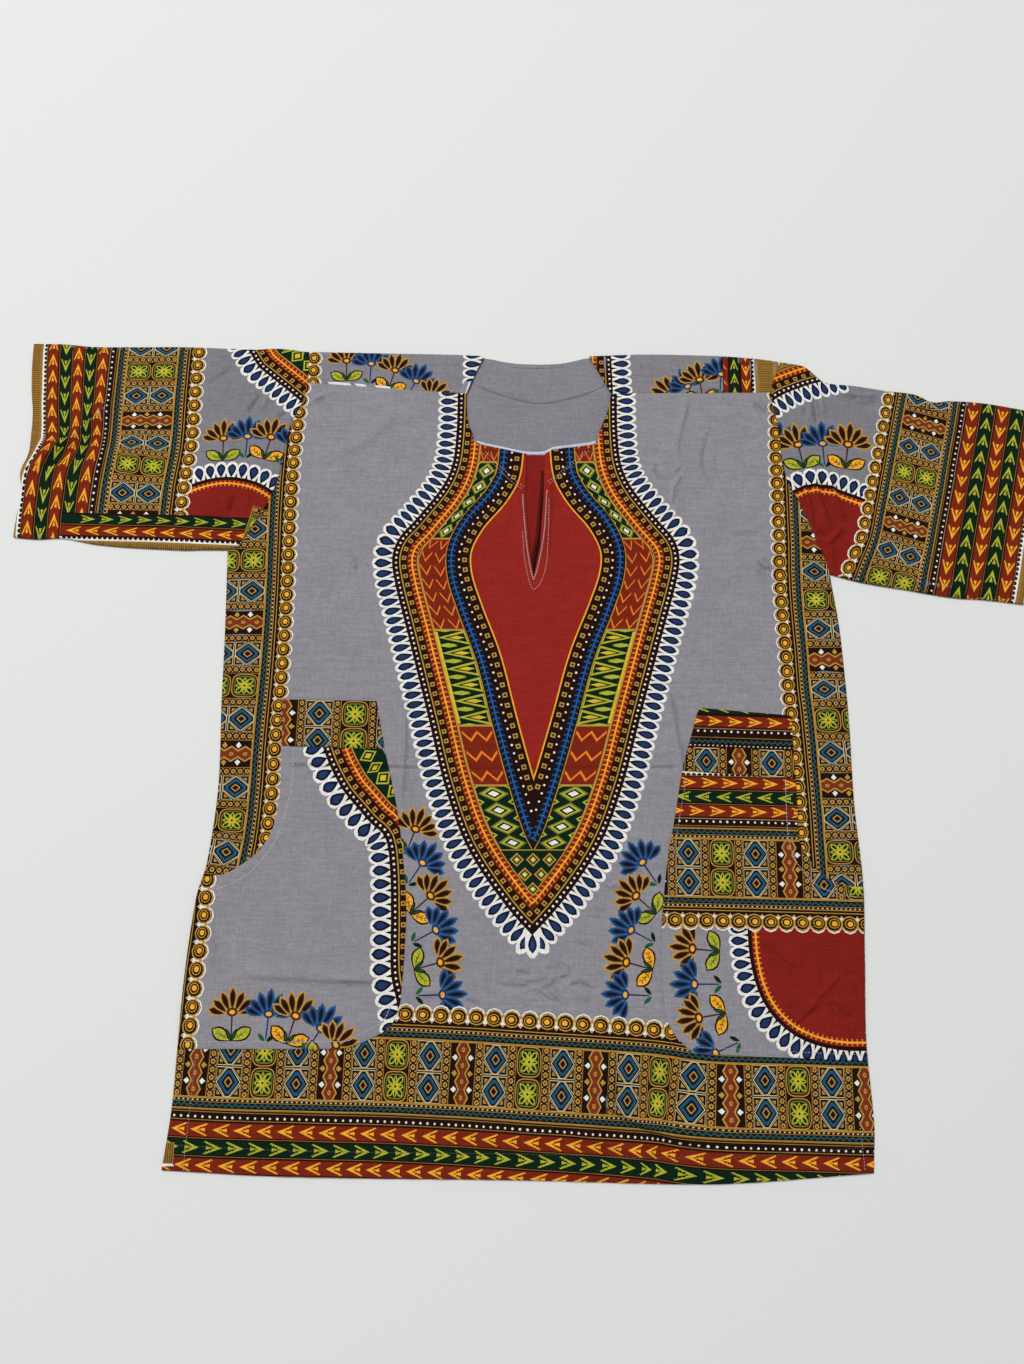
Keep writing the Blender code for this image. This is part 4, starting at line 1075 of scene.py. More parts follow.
def pocket_pos_art():
    art = Art(19)
    spray(art, spots([(0.1723, -0.2547, 174), (0.1727, -0.2829, 180), (0.1751, -0.3072, 190),
                      (0.1864, -0.3311, 203)]), 0.0520, 0)
    peak(art, smooth_line([(0.3100, -0.3395), (0.2971, -0.3390), (0.2756, -0.3384),
                           (0.2526, -0.3342), (0.2317, -0.3248), (0.2147, -0.3094),
                           (0.2041, -0.2903), (0.1989, -0.2694), (0.1970, -0.2490),
                           (0.1970, -0.2200)], 0.006), 0.0190, [(0.31, -0.220)])
    line = Line(resampled([(0.1000, -0.2345), (0.2000, -0.2368), (0.3200, -0.2400)], 0.012))
    end = wide_border(art, line, 0.0, line.length, 3, False, (RED_ROW, GREEN_ROW, RED_ROW), way=1)
    picots(art, line, 0.0, line.length, end, end + 0.0036)
    ribbed(art, line, 0.0, line.length, end + 0.0036, end + 0.0150)
    return art


def band_neg_art():
    art = Art(23)
    line = Line(np.array([(-0.2600, -0.0710), (-0.1300, -0.0735)]))
    cells(art, line, 0.0058, 0.130, 0.0, 0.0530, 3, 0.0265, 0.0080)
    return art


def band_pos_art():
    art = Art(29)
    line = Line(np.array([(0.1200, -0.1480), (0.2700, -0.1530)]))
    wide_border(art, line, 0.0, line.length, 1, False, (RED_ROW, GREEN_ROW), way=1, phase=0.5)
    return art


# ================================================================ the cut of the shirt
# The same sizes as the CAD frame's, in garment coordinates.
from collections import namedtuple

CLOTH = 0.0010          # wall of the CAD's cloth
AIR = 0.00031
EDGE_LOW = CLOTH + AIR
FRONT_LOW = 2 * (CLOTH + AIR)
EDGE_FALL = 0.022
SHOULDER_R = (FRONT_LOW + CLOTH) / 2
SLEEVE_EDGE = 0.0026
SLEEVE_LOFT = 0.0016
THIN = 0.0007           # wall of the cloth as shown
ORIGIN = (0.0049, -0.04006)

# Sizes are from the body's centre line and from the bust line, in metres.
Side = namedtuple("Side", "y x")
Top = namedtuple("Top", "x y")
Pt = namedtuple("Pt", "x y")
Fold = namedtuple("Fold", "x0 y0 x1 y1 width height")

SIDE_NEG = [Side(0.1361, -0.3062), Side(0.0427, -0.3029), Side(-0.0180, -0.3017),
            Side(-0.0962, -0.2990), Side(-0.1715, -0.3043), Side(-0.2082, -0.3128),
            Side(-0.2968, -0.3188), Side(-0.3815, -0.3202), Side(-0.4386, -0.3252)]
SIDE_POS = [Side(0.1105, 0.2975), Side(0.0427, 0.3033), Side(-0.0379, 0.3048),
            Side(-0.1153, 0.3034), Side(-0.1899, 0.3058), Side(-0.2618, 0.3017),
            Side(-0.3396, 0.2970), Side(-0.3980, 0.2983), Side(-0.4410, 0.2946)]
HEM = [Top(-0.3252, -0.4386), Top(-0.2046, -0.4442), Top(-0.0130, -0.4466),
       Top(0.1435, -0.4498), Top(0.2946, -0.4410)]
ARM_NEG = [Pt(-0.3062, 0.1361), Pt(-0.2934, 0.1430), Pt(-0.2798, 0.1663),
           Pt(-0.2661, 0.1926), Pt(-0.2567, 0.2259), Pt(-0.2500, 0.2720),
           Pt(-0.2404, 0.2960), Pt(-0.2346, 0.3230), Pt(-0.2342, 0.3596)]
ARM_POS = [Pt(0.2975, 0.1105), Pt(0.2953, 0.1211), Pt(0.2828, 0.1576),
           Pt(0.2709, 0.1904), Pt(0.2598, 0.2169), Pt(0.2556, 0.2722),
           Pt(0.2507, 0.3114), Pt(0.2630, 0.3477)]
# the fold over the shoulders, neck point to armhole
CREST_NEG = [Top(-0.2342, 0.3596), Top(-0.1400, 0.3575), Top(-0.0750, 0.3560),
             Top(-0.0503, 0.3545)]
CREST_POS = [Top(0.0620, 0.3545), Top(0.1200, 0.3565), Top(0.1900, 0.3550),
             Top(0.2266, 0.3525), Top(0.2630, 0.3477)]
# the seam where the shoulder strip, part of the back, meets the front
YOKE_NEG = [Top(-0.2346, 0.3230), Top(-0.0681, 0.3102)]
YOKE_POS = [Top(0.0837, 0.3102), Top(0.2507, 0.3114)]
# neckline of the front panel, from one strip to the other
NECK_FRONT = [Pt(-0.0681, 0.3102), Pt(-0.0679, 0.2915), Pt(-0.0658, 0.2768),
              Pt(-0.0616, 0.2651), Pt(-0.0562, 0.2536), Pt(-0.0285, 0.2463),
              Pt(-0.0050, 0.2410), Pt(0.0140, 0.2414), Pt(0.0215, 0.2457),
              Pt(0.0441, 0.2492), Pt(0.0666, 0.2536), Pt(0.0708, 0.2680),
              Pt(0.0792, 0.2885), Pt(0.0837, 0.3102)]
# neckline of the back panel, from fold to fold
NECK_BACK = [Pt(-0.0503, 0.3545), Pt(-0.0316, 0.3490), Pt(-0.0126, 0.3462),
             Pt(0.0117, 0.3454), Pt(0.0318, 0.3465), Pt(0.0496, 0.3504),
             Pt(0.0620, 0.3545)]
SLIT_NEG = [Pt(-0.0050, 0.2410), Pt(-0.0067, 0.1918), Pt(-0.0029, 0.1391)]
SLIT_TIP = Pt(0.0015, 0.1062)
SLIT_POS = [Pt(0.0080, 0.1391), Pt(0.0119, 0.1918), Pt(0.0140, 0.2414)]
FACING_ARC = [Pt(-0.0589, 0.3219), Pt(-0.0380, 0.3120), Pt(0.0062, 0.2998),
              Pt(0.0500, 0.3080), Pt(0.0760, 0.3200)]

# pockets: hand opening from the top down to the side seam, then the inner edge
HAND_NEG = [Pt(-0.2408, -0.0643), Pt(-0.2398, -0.0900), Pt(-0.2399, -0.1173),
            Pt(-0.2455, -0.1465), Pt(-0.2570, -0.1642), Pt(-0.2724, -0.1767),
            Pt(-0.2877, -0.1850), Pt(-0.3030, -0.1863)]
INNER_NEG = [Pt(-0.3160, -0.3384), Pt(-0.1753, -0.3384), Pt(-0.1581, -0.3345),
             Pt(-0.1311, -0.3209), Pt(-0.1222, -0.3029), Pt(-0.1203, -0.2881),
             Pt(-0.1181, -0.2503), Pt(-0.1183, -0.2055), Pt(-0.1269, -0.1342),
             Pt(-0.1419, -0.0673)]
BAND_NEG = [Pt(-0.2408, -0.0643), Pt(-0.1419, -0.0673), Pt(-0.1519, -0.0180),
            Pt(-0.2417, -0.0170)]
HAND_POS = [Pt(0.2490, -0.0958), Pt(0.2487, -0.1250), Pt(0.2483, -0.1520),
            Pt(0.2550, -0.1677), Pt(0.2662, -0.1845), Pt(0.2841, -0.1936),
            Pt(0.3020, -0.1966)]
INNER_POS = [Pt(0.2930, -0.3486), Pt(0.1428, -0.3425), Pt(0.1341, -0.3356),
             Pt(0.1227, -0.3218), Pt(0.1178, -0.3060), Pt(0.1167, -0.2812),
             Pt(0.1178, -0.2270), Pt(0.1255, -0.1677), Pt(0.1329, -0.1336),
             Pt(0.1414, -0.0885)]
BAND_POS = [Pt(0.2490, -0.0958), Pt(0.1414, -0.0885), Pt(0.1600, -0.0270),
            Pt(0.2490, -0.0345)]

# sleeves: how far each long edge strays from a straight line, by the share of
# the way from the armhole to the cuff, and the cuff's own line
Stray = namedtuple("Stray", "s top bottom")
STRAY_NEG = [Stray(0.00, 0.0000, 0.0000), Stray(0.12, 0.0030, -0.0015),
             Stray(0.20, 0.0010, -0.0030), Stray(0.45, 0.0015, -0.0035),
             Stray(0.60, 0.0000, -0.0025), Stray(0.78, -0.0015, 0.0020),
             Stray(0.90, 0.0005, -0.0005), Stray(1.00, 0.0000, 0.0000)]
STRAY_POS = [Stray(0.00, 0.0000, 0.0000), Stray(0.08, 0.0010, -0.0020),
             Stray(0.17, -0.0140, -0.0035), Stray(0.28, -0.0110, -0.0040),
             Stray(0.40, -0.0095, -0.0040), Stray(0.50, -0.0070, -0.0045),
             Stray(0.57, -0.0120, -0.0047), Stray(0.64, -0.0065, -0.0045),
             Stray(0.80, -0.0010, -0.0015), Stray(1.00, 0.0000, 0.0000)]
CUFF_NEG = [Pt(-0.5235, 0.1500), Pt(-0.5222, 0.1734), Pt(-0.5203, 0.1996),
            Pt(-0.5240, 0.2214), Pt(-0.5178, 0.2457), Pt(-0.5189, 0.2852),
            Pt(-0.5243, 0.3230), Pt(-0.5272, 0.3695)]
CUFF_POS = [Pt(0.4870, 0.0790), Pt(0.4985, 0.1260), Pt(0.5115, 0.1800),
            Pt(0.5240, 0.2310), Pt(0.5370, 0.2870)]


# the largest folds, as in the CAD frame
FRONT_FOLDS = [
    Fold(0.150, -0.395, 0.262, -0.405, 0.016, 0.0034),
    Fold(-0.015, -0.384, 0.130, -0.399, 0.014, 0.0022),
    Fold(0.196, 0.262, 0.238, 0.160, 0.015, 0.0030),
    Fold(-0.190, 0.262, -0.108, 0.292, 0.018, 0.0018),
    Fold(0.128, 0.286, 0.176, 0.188, 0.016, 0.0020),
    Fold(-0.286, 0.040, -0.262, -0.060, 0.015, 0.0020),
    Fold(0.284, 0.020, 0.272, -0.092, 0.015, 0.0024),
    Fold(0.205, -0.232, 0.262, -0.300, 0.016, 0.0026),
    Fold(0.262, -0.236, 0.212, -0.286, 0.016, 0.0020),
    Fold(-0.276, -0.292, -0.172, -0.296, 0.016, 0.0018),
    Fold(-0.020, -0.282, 0.030, -0.306, 0.015, 0.0018),
]
# and of the sleeves' upper layers, in shares from armhole to cuff (x) and from
# the lower to the upper long edge (y); width in shares of the sleeve's length
SLEEVE_FOLDS_NEG = [Fold(0.28, 0.10, 0.10, 0.55, 0.09, 0.0026),
                    Fold(0.93, 0.30, 0.99, 0.58, 0.05, 0.0032),
                    Fold(0.62, 0.20, 0.55, 0.80, 0.08, 0.0014)]
SLEEVE_FOLDS_POS = [Fold(0.04, 0.10, 0.16, 0.62, 0.08, 0.0050),
                    Fold(0.20, 0.06, 0.34, 0.52, 0.08, 0.0036),
                    Fold(0.14, 0.92, 0.34, 0.70, 0.08, 0.0036),
                    Fold(0.55, 0.82, 0.66, 0.40, 0.08, 0.0026),
                    Fold(0.80, 0.14, 0.84, 0.60, 0.07, 0.0022)]



# -------------------------------------------------------------------- curve maths
def along(rows, at, key, value):
    """Smooth value of a table of rows at many places, monotone between rows."""
    xs = np.array([getattr(r, key) for r in rows])
    ys = np.array([getattr(r, value) for r in rows])
    if xs[0] > xs[-1]:
        xs, ys = xs[::-1], ys[::-1]
    slope = np.diff(ys) / np.diff(xs)
    knot = np.concatenate([[slope[0]], np.zeros(len(xs) - 2), [slope[-1]]])
    a, b = slope[:-1], slope[1:]
    knot[1:-1] = np.where(a * b <= 0, 0.0, 2 * a * b / np.where(a * b <= 0, 1.0, a + b))
    at = np.clip(np.asarray(at, float), xs[0], xs[-1])
    k = np.clip(np.searchsorted(xs, at, side="right") - 1, 0, len(xs) - 2)
    h = xs[k + 1] - xs[k]
    u = (at - xs[k]) / h
    return ((1 + 2 * u) * (1 - u) ** 2 * ys[k] + u * (1 - u) ** 2 * h * knot[k]
            + u * u * (3 - 2 * u) * ys[k + 1] + u * u * (u - 1) * h * knot[k + 1])


def xy(points):
    return np.array([(p.x, p.y) for p in points], float)


def shared(points, count):
    """count + 1 points at even shares of the length of the rounded line."""
    line = smooth_line(xy(points), 0.004)
    run = np.concatenate([[0], np.cumsum(np.hypot(*np.diff(line, axis=0).T))])
    s = np.linspace(0, run[-1], count + 1)
    return np.stack([np.interp(s, run, line[:, 0]), np.interp(s, run, line[:, 1])], 1)


def side_line(rows, step=0.008):
    top, low = rows[0].y, rows[-1].y
    y = np.linspace(top, low, int(round((top - low) / step)) + 1)
    return np.stack([along(rows, y, "y", "x"), y], 1)


def top_line(rows, x0, x1, count):
    x = np.linspace(x0, x1, count + 1)
    return np.stack([x, along(rows, x, "x", "y")], 1)


def below(points, y):
    """The part of a rising line below y, ended exactly there."""
    k = int(np.argmax(points[:, 1] >= y))
    a, b = points[k - 1], points[k]
    u = (y - a[1]) / (b[1] - a[1])
    out = points[:k]
    if len(out) and np.hypot(*(out[-1] - (a + u * (b - a)))) < 0.0006:
        out = out[:-1]
    return np.vstack([out, a + u * (b - a)])


def thinned(loop, least=0.0004):
    out = [loop[0]]
    for p in loop[1:]:
        if np.hypot(*(p - out[-1])) > least:
            out.append(p)
    while np.hypot(*(out[0] - out[-1])) <= least:
        out.pop()
    return np.array(out)


def smooth(u):
    u = np.clip(u, 0.0, 1.0)
    return u * u * (3 - 2 * u)


def in_loop(points, loop):
    x, y = points[:, 0], points[:, 1]
    hit = np.zeros(len(points), bool)
    a, b = loop, np.roll(loop, -1, axis=0)
    for (ax, ay), (bx, by) in zip(a, b):
        if ay != by:
            m = (ay > y) != (by > y)
            if m.any():
                hit[m] ^= x[m] < ax + (y[m] - ay) * (bx - ax) / (by - ay)
    return hit


def signed_area(loop):
    x, y = loop[:, 0], loop[:, 1]
    return 0.5 * float((x * np.roll(y, -1) - np.roll(x, -1) * y).sum())


def near_line(points, line):
    """Distance to a polyline, its sign by side (+ to the left), and the share along."""
    seg = np.diff(line, axis=0)
    ln = np.hypot(*seg.T)
    run = np.concatenate([[0], np.cumsum(ln)])
    best = np.full(len(points), 1e9)
    side = np.zeros(len(points))
    share = np.zeros(len(points))
    for i in range(len(seg)):
        w = points - line[i]
        u = np.clip((w @ seg[i]) / max(ln[i] ** 2, 1e-18), 0, 1)
        r = w - u[:, None] * seg[i]
        d = np.hypot(r[:, 0], r[:, 1])
        m = d < best
        best[m] = d[m]
        side[m] = (seg[i][0] * w[m, 1] - seg[i][1] * w[m, 0])
        share[m] = (run[i] + u[m] * ln[i]) / run[-1]
    return best, np.sign(side), share


# --------------------------------------------------------------- creases of the cloth
class Crease:
    """A crease: a line, its height (a trough if below 0) and how wide it
    falls off to its left and to its right."""

    def __init__(self, points, height, left, right=None, sharp=1.0, ends=(0.25, 0.25)):
        self.line = smooth_line(points, 0.008) if len(points) > 2 else np.asarray(points, float)
        self.height, self.left, self.right = height, left, right or left
        self.sharp, self.ends = sharp, ends
        reach = max(self.left, self.right)
        self.low, self.high = self.line.min(0) - reach, self.line.max(0) + reach

    def __call__(self, p):
        out = np.zeros(len(p))
        m = ((p > self.low) & (p < self.high)).all(1)
        if not m.any():
            return out
        d, side, u = near_line(p[m], self.line)
        w = np.where(side >= 0, self.left, self.right)
        t = np.clip(d / w, 0, 1)
        bell = (0.5 + 0.5 * np.cos(math.pi * t)) ** self.sharp
        fade = smooth(u / max(1e-6, self.ends[0])) * smooth((1 - u) / max(1e-6, self.ends[1]))
        out[m] = self.height * bell * fade
        return out

    def points(self, step=0.004):
        """Points across the crease, so that the mesh can follow it."""
        base = resampled(self.line, step)
        t = np.gradient(base, axis=0)
        t /= np.maximum(np.hypot(*t.T), 1e-9)[:, None]
        n = np.stack([-t[:, 1], t[:, 0]], 1)
        out = [base]
        for share in (0.22, 0.45, 0.75):
            out += [base + n * self.left * share, base - n * self.right * share]
        return np.vstack(out)


def folds_of(rows):
    return [Crease([(f.x0, f.y0), (f.x1, f.y1)], f.height, f.width, ends=(0.3, 0.3)) for f in rows]


def ripple(p, seed, sizes=((0.11, 0.00030), (0.052, 0.00020), (0.024, 0.00009))):
    """Low soft unevenness: a sum of slanted waves of no common length."""
    dice = np.random.default_rng(seed)
    out = np.zeros(len(p))
    for size, height in sizes:
        for _ in range(5):
            a = dice.uniform(0, 2 * math.pi)
            k = 2 * math.pi / (size * dice.uniform(0.7, 1.4))
            q = dice.uniform(0, 2 * math.pi, 2)
            b = a + dice.uniform(0.8, 2.2)
            out += height * 0.5 * (np.sin(k * (p[:, 0] * math.cos(a) + p[:, 1] * math.sin(a)) + q[0]
                                          + 1.1 * np.sin(0.6 * k * (p[:, 0] * math.cos(b)
                                                                    + p[:, 1] * math.sin(b)) + q[1])))
    return out


# ------------------------------------------------------------ cloth cut along its print
def cut_mesh(outline, shapes, cell, extra=(), seed=1, gap=0.0016, ground="ground"):
    """Triangles of a flat piece: points, faces and each face's ink. They are cut along
    the outline and along every shape; extra points let the mesh follow its creases."""
    outline = outline if signed_area(outline) > 0 else outline[::-1]
    low, high = outline.min(0), outline.max(0)
    loops, inks = [outline], [INK_NO[ground]]
    boxed = [(loop, ink) for loop, ink in shapes
             if (loop.max(0) > low).all() and (loop.min(0) < high).all()]
    if boxed:
        flat = np.vstack([loop for loop, _ in boxed])
        hit = in_loop(flat, outline)
        at = 0
        for loop, ink in boxed:
            n = len(loop)
            a = signed_area(loop)
            if (hit[at:at + n].any() or abs(a) > 3e-4) and abs(a) > 2e-8:
                loops.append(loop if a > 0 else loop[::-1])
                inks.append(ink)
            at += n
    count = sum(len(l) for l in loops)
    pinned = np.vstack(loops)
    # free points on a staggered grid, clear of the shapes' own corners
    dice = np.random.default_rng(seed)
    xs = np.arange(low[0], high[0], cell)
    ys = np.arange(low[1], high[1], cell * 0.866)
    gx, gy = np.meshgrid(xs, ys)
    gx = gx + (np.arange(len(ys)) % 2)[:, None] * cell / 2
    grid = np.stack([gx.ravel(), gy.ravel()], 1)
    grid += dice.uniform(-0.12, 0.12, grid.shape) * cell
    free = [np.asarray(e, float) for e in extra if len(e)] + [grid]
    tree = KDTree(count)
    for i, p in enumerate(pinned):
        tree.insert((p[0], p[1], 0.0), i)
    tree.balance()
    kept = []
    taken = {}
    for k, group in enumerate(free):
        group = group[in_loop(group, outline)]
        least = gap * (0.55 if k < len(free) - 1 else 1.0)
        size = max(least, 0.0008)
        for p in group:
            key = (int(p[0] // size), int(p[1] // size))
            if key in taken:
                continue
            if tree.find((p[0], p[1], 0.0))[2] > least * 0.6:
                near = any((key[0] + i, key[1] + j) in taken and
                           math.hypot(taken[(key[0] + i, key[1] + j)][0] - p[0],
                                      taken[(key[0] + i, key[1] + j)][1] - p[1]) < size * 0.8
                           for i in (-1, 0, 1) for j in (-1, 0, 1))
                if not near:
                    taken[key] = p
                    kept.append(p)
    points = [Vector((float(x), float(y))) for x, y in pinned] + \
             [Vector((float(x), float(y))) for x, y in kept]
    faces, at = [], 0
    for loop in loops:
        faces.append(list(range(at, at + len(loop))))
        at += len(loop)
    made = delaunay_2d_cdt(points, [], faces, 0, 1e-6, True)
    verts = np.array([(v.x, v.y) for v in made[0]])
    tris, owned = [], []
    for f, owners in zip(made[2], made[5]):
        if 0 in owners and len(f) == 3:
            tris.append(f)
            owned.append(sorted(owners, reverse=True))
    tris = np.array(tris, np.int64)
    # a shape whose line crosses itself may spill over: it keeps only what it encloses
    mid = verts[tris].mean(1)
    low_of = np.array([l.min(0) for l in loops]) - 1e-6
    high_of = np.array([l.max(0) for l in loops]) + 1e-6
    wide = np.array([np.hypot(*(l.max(0) - l.min(0))) > 0.03 for l in loops])
    best = np.array([o[0] for o in owned])
    rank = np.zeros(len(tris), int)
    todo = np.ones(len(tris), bool)
    while todo.any():
        spilt = todo & (best > 0) & ((mid < low_of[best]) | (mid > high_of[best])).any(1)
        for k in np.unique(best[todo & (best > 0) & ~spilt]):
            if wide[k]:
                m = np.flatnonzero(todo & (best == k) & ~spilt)
                spilt[m[~in_loop(mid[m], loops[k])]] = True
        for i in np.flatnonzero(spilt):
            rank[i] += 1
            best[i] = owned[i][rank[i]]
        todo = spilt
    ink = np.array(inks, np.int64)[best]
    a, b, c = verts[tris[:, 0]], verts[tris[:, 1]], verts[tris[:, 2]]
    area = (b[:, 0] - a[:, 0]) * (c[:, 1] - a[:, 1]) - (b[:, 1] - a[:, 1]) * (c[:, 0] - a[:, 0])
    tris[area < 0] = tris[area < 0][:, ::-1]
    return verts, tris, ink


def border_loop(tris):
    """The one closed line round a set of triangles."""
    n = int(tris.max()) + 1
    e = np.concatenate([tris[:, [0, 1]], tris[:, [1, 2]], tris[:, [2, 0]]])
    key = e[:, 0] * n + e[:, 1]
    lone = e[~np.isin(key, e[:, 1] * n + e[:, 0])]
    after = {}
    for a, b in lone:
        after.setdefault(int(a), []).append(int(b))
    best = []
    while after:
        start = next(iter(after))
        loop, at = [start], start
        while True:
            nxt = after[at].pop()
            if not after[at]:
                del after[at]
            if nxt == start:
                break
            loop.append(nxt)
            at = nxt
            if at not in after:
                break
        if len(loop) > len(best):
            best = loop
    return best


def spots_on(place, flat, eps=0.00025):
    """Places of flat points on a surface and its unit normals, by small steps."""
    at = place(flat)
    du = place(flat + [eps, 0.0]) - at
    dv = place(flat + [0.0, eps]) - at
    n = np.cross(du, dv)
    n /= np.maximum(np.linalg.norm(n, axis=1), 1e-12)[:, None]
    return at, n


def shares_in(corners, p):
    """Barycentric shares of points in their triangles."""
    a, b, c = corners[:, 0], corners[:, 1], corners[:, 2]
    v0, v1, v2 = b - a, c - a, p - a
    den = v0[:, 0] * v1[:, 1] - v1[:, 0] * v0[:, 1]
    den = np.where(abs(den) < 1e-16, 1e-16, den)
    v = (v2[:, 0] * v1[:, 1] - v1[:, 0] * v2[:, 1]) / den
    w = (v0[:, 0] * v2[:, 1] - v2[:, 0] * v0[:, 1]) / den
    out = np.clip(np.stack([1 - v - w, v, w], 1), 0, 1)
    return out / out.sum(1, keepdims=True)


def cloth(name, node, outline, shapes, place, cell=0.006, extra=(), facing=1, thin=THIN,
          lining="inside", slot="printed_cotton", seed=1, back_cell=0.012, ground="ground"):
    """A closed thin shell of cloth. place(flat) gives the printed face; facing is 1
    where its normal is up in the flat, and -1 where the print faces down."""
    verts, tris, ink = cut_mesh(outline, shapes, cell, extra, seed, ground=ground)
    rim = border_loop(tris)
    flat_rim = verts[rim]
    inner, inner_tris, _ = cut_mesh(flat_rim, [], back_cell, extra, seed + 1, 0.0055)
    # the inner layer's rim points are the outer layer's own
    tree = KDTree(len(inner))
    for i, p in enumerate(inner):
        tree.insert((p[0], p[1], 0.0), i)
    tree.balance()
    twin = [tree.find((p[0], p[1], 0.0))[1] for p in flat_rim]

    used = np.unique(tris)
    back = np.full(len(verts), -1)
    back[used] = np.arange(len(used))
    tris = back[tris]
    rim = [int(back[i]) for i in rim]
    verts = verts[used]
    top, up = spots_on(place, verts)
    under, down = spots_on(place, inner)
    up, down = up * facing, down * facing
    shift = ORIGIN
    top = top + [-shift[0], -shift[1], 0.0]
    under = under + [-shift[0], -shift[1], 0.0] - down * thin
    # the inner layer has larger faces: it's let down wherever they would come through
    tree = BVHTree.FromPolygons([(x, y, 0.0) for x, y in inner.tolist()], inner_tris.tolist())
    face = np.array([tree.find_nearest((x, y, 0.0))[2] for x, y in verts.tolist()])
    corner_at = inner_tris[face]
    share = shares_in(inner[corner_at], verts)
    for _ in range(3):
        here = (under[corner_at] * share[:, :, None]).sum(1)
        short = thin * 0.6 - ((top - here) * up).sum(1)
        m = short > 0
        push = np.zeros(len(under))
        for j in range(3):
            np.maximum.at(push, corner_at[m, j], short[m] * (share[m, j] > 0.02))
        push[np.array(twin)] = 0
        under -= down * push[:, None]
    under[:, 2] = np.maximum(under[:, 2], 0.00005)
    n = len(top)
    faces = list(map(tuple, (tris if facing > 0 else tris[:, ::-1]).tolist()))
    inner_faces = (inner_tris[:, ::-1] if facing > 0 else inner_tris) + n
    faces += list(map(tuple, inner_faces.tolist()))
    walls = []
    for k in range(len(rim)):
        a, b = rim[k], rim[(k + 1) % len(rim)]
        c, d = n + twin[(k + 1) % len(rim)], n + twin[k]
        quad = (a, d, c, b) if facing > 0 else (a, b, c, d)
        if c == d:
            quad = tuple(dict.fromkeys(quad))
        walls.append(quad)
    faces += walls
    mesh = bpy.data.meshes.new(name)
    mesh.from_pydata(np.vstack([top, under]).tolist(), [], faces)
    mesh.update()
    # the normals are the surface's own, so that thin slivers don't show
    normals = np.vstack([up, -down])
    starts = np.zeros(len(mesh.polygons), np.int32)
    totals = np.zeros(len(mesh.polygons), np.int32)
    mesh.polygons.foreach_get("loop_start", starts)
    mesh.polygons.foreach_get("loop_total", totals)
    corner = np.zeros(len(mesh.loops), np.int32)
    mesh.loops.foreach_get("vertex_index", corner)
    per_corner = normals[corner]
    face_n = np.zeros(len(mesh.polygons) * 3)
    mesh.polygons.foreach_get("normal", face_n)
    face_n = face_n.reshape(-1, 3)
    first_wall = len(tris) + len(inner_tris)
    at = starts[first_wall]
    per_corner[at:] = np.repeat(face_n[first_wall:], totals[first_wall:], axis=0)
    # inks, one to a corner
    table = np.array([srgb(INKS[k]) for k in INK_LIST])
    colour = np.empty((len(mesh.loops), 4))
    lining_ink = INK_NO[lining]
    face_ink = np.concatenate([ink, np.full(len(inner_tris), lining_ink)])
    wall_ink = []
    rim_edge = {}
    for t, k in zip(tris, ink):
        for a, b in ((t[0], t[1]), (t[1], t[2]), (t[2], t[0])):
            rim_edge[(int(a), int(b))] = int(k)
    for k in range(len(rim)):
        a, b = rim[k], rim[(k + 1) % len(rim)]
        wall_ink.append(rim_edge.get((a, b), lining_ink))
    face_ink = np.concatenate([face_ink, wall_ink]).astype(int)
    colour[:, :3] = np.repeat(table[face_ink], totals, axis=0)
    colour[:, 3] = 1.0
    layer = mesh.color_attributes.new("print", "FLOAT_COLOR", "CORNER")
    layer.data.foreach_set("color", colour.ravel())
    # a flat map for baking: the outer face, then the inner one beside it
    low, high = verts.min(0), verts.max(0)
    size = float((high - low).max()) * 1.02
    uv_top = (verts - low) / size
    uv_under = (inner - low) / size
    tall = (high - low)[1] > (high - low)[0]
    slide = np.array([0.5, 0.0]) if tall else np.array([0.0, 0.5])
    squeeze = 0.49
    uv = np.vstack([uv_top * squeeze, uv_under * squeeze + slide])[corner]
    uv[at:] = uv[at:] * 0.001 + 0.995
    store = mesh.uv_layers.new(name="OFBake")
    store.data.foreach_set("uv", uv.ravel())
    mesh.shade_smooth()
    mesh.normals_split_custom_set(per_corner.tolist())
    obj = bpy.data.objects.new(name, mesh)
    bpy.context.scene.collection.objects.link(obj)
    mesh.materials.append(COTTON)
    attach(obj, "root")
    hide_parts(node)
    flat_area = abs(signed_area(flat_rim))
    return obj


def srgb(rgb):
    """sRGB bytes to linear light."""
    c = np.asarray(rgb, float) / 255
    return np.where(c <= 0.04045, c / 12.92, ((c + 0.055) / 1.055) ** 2.4)


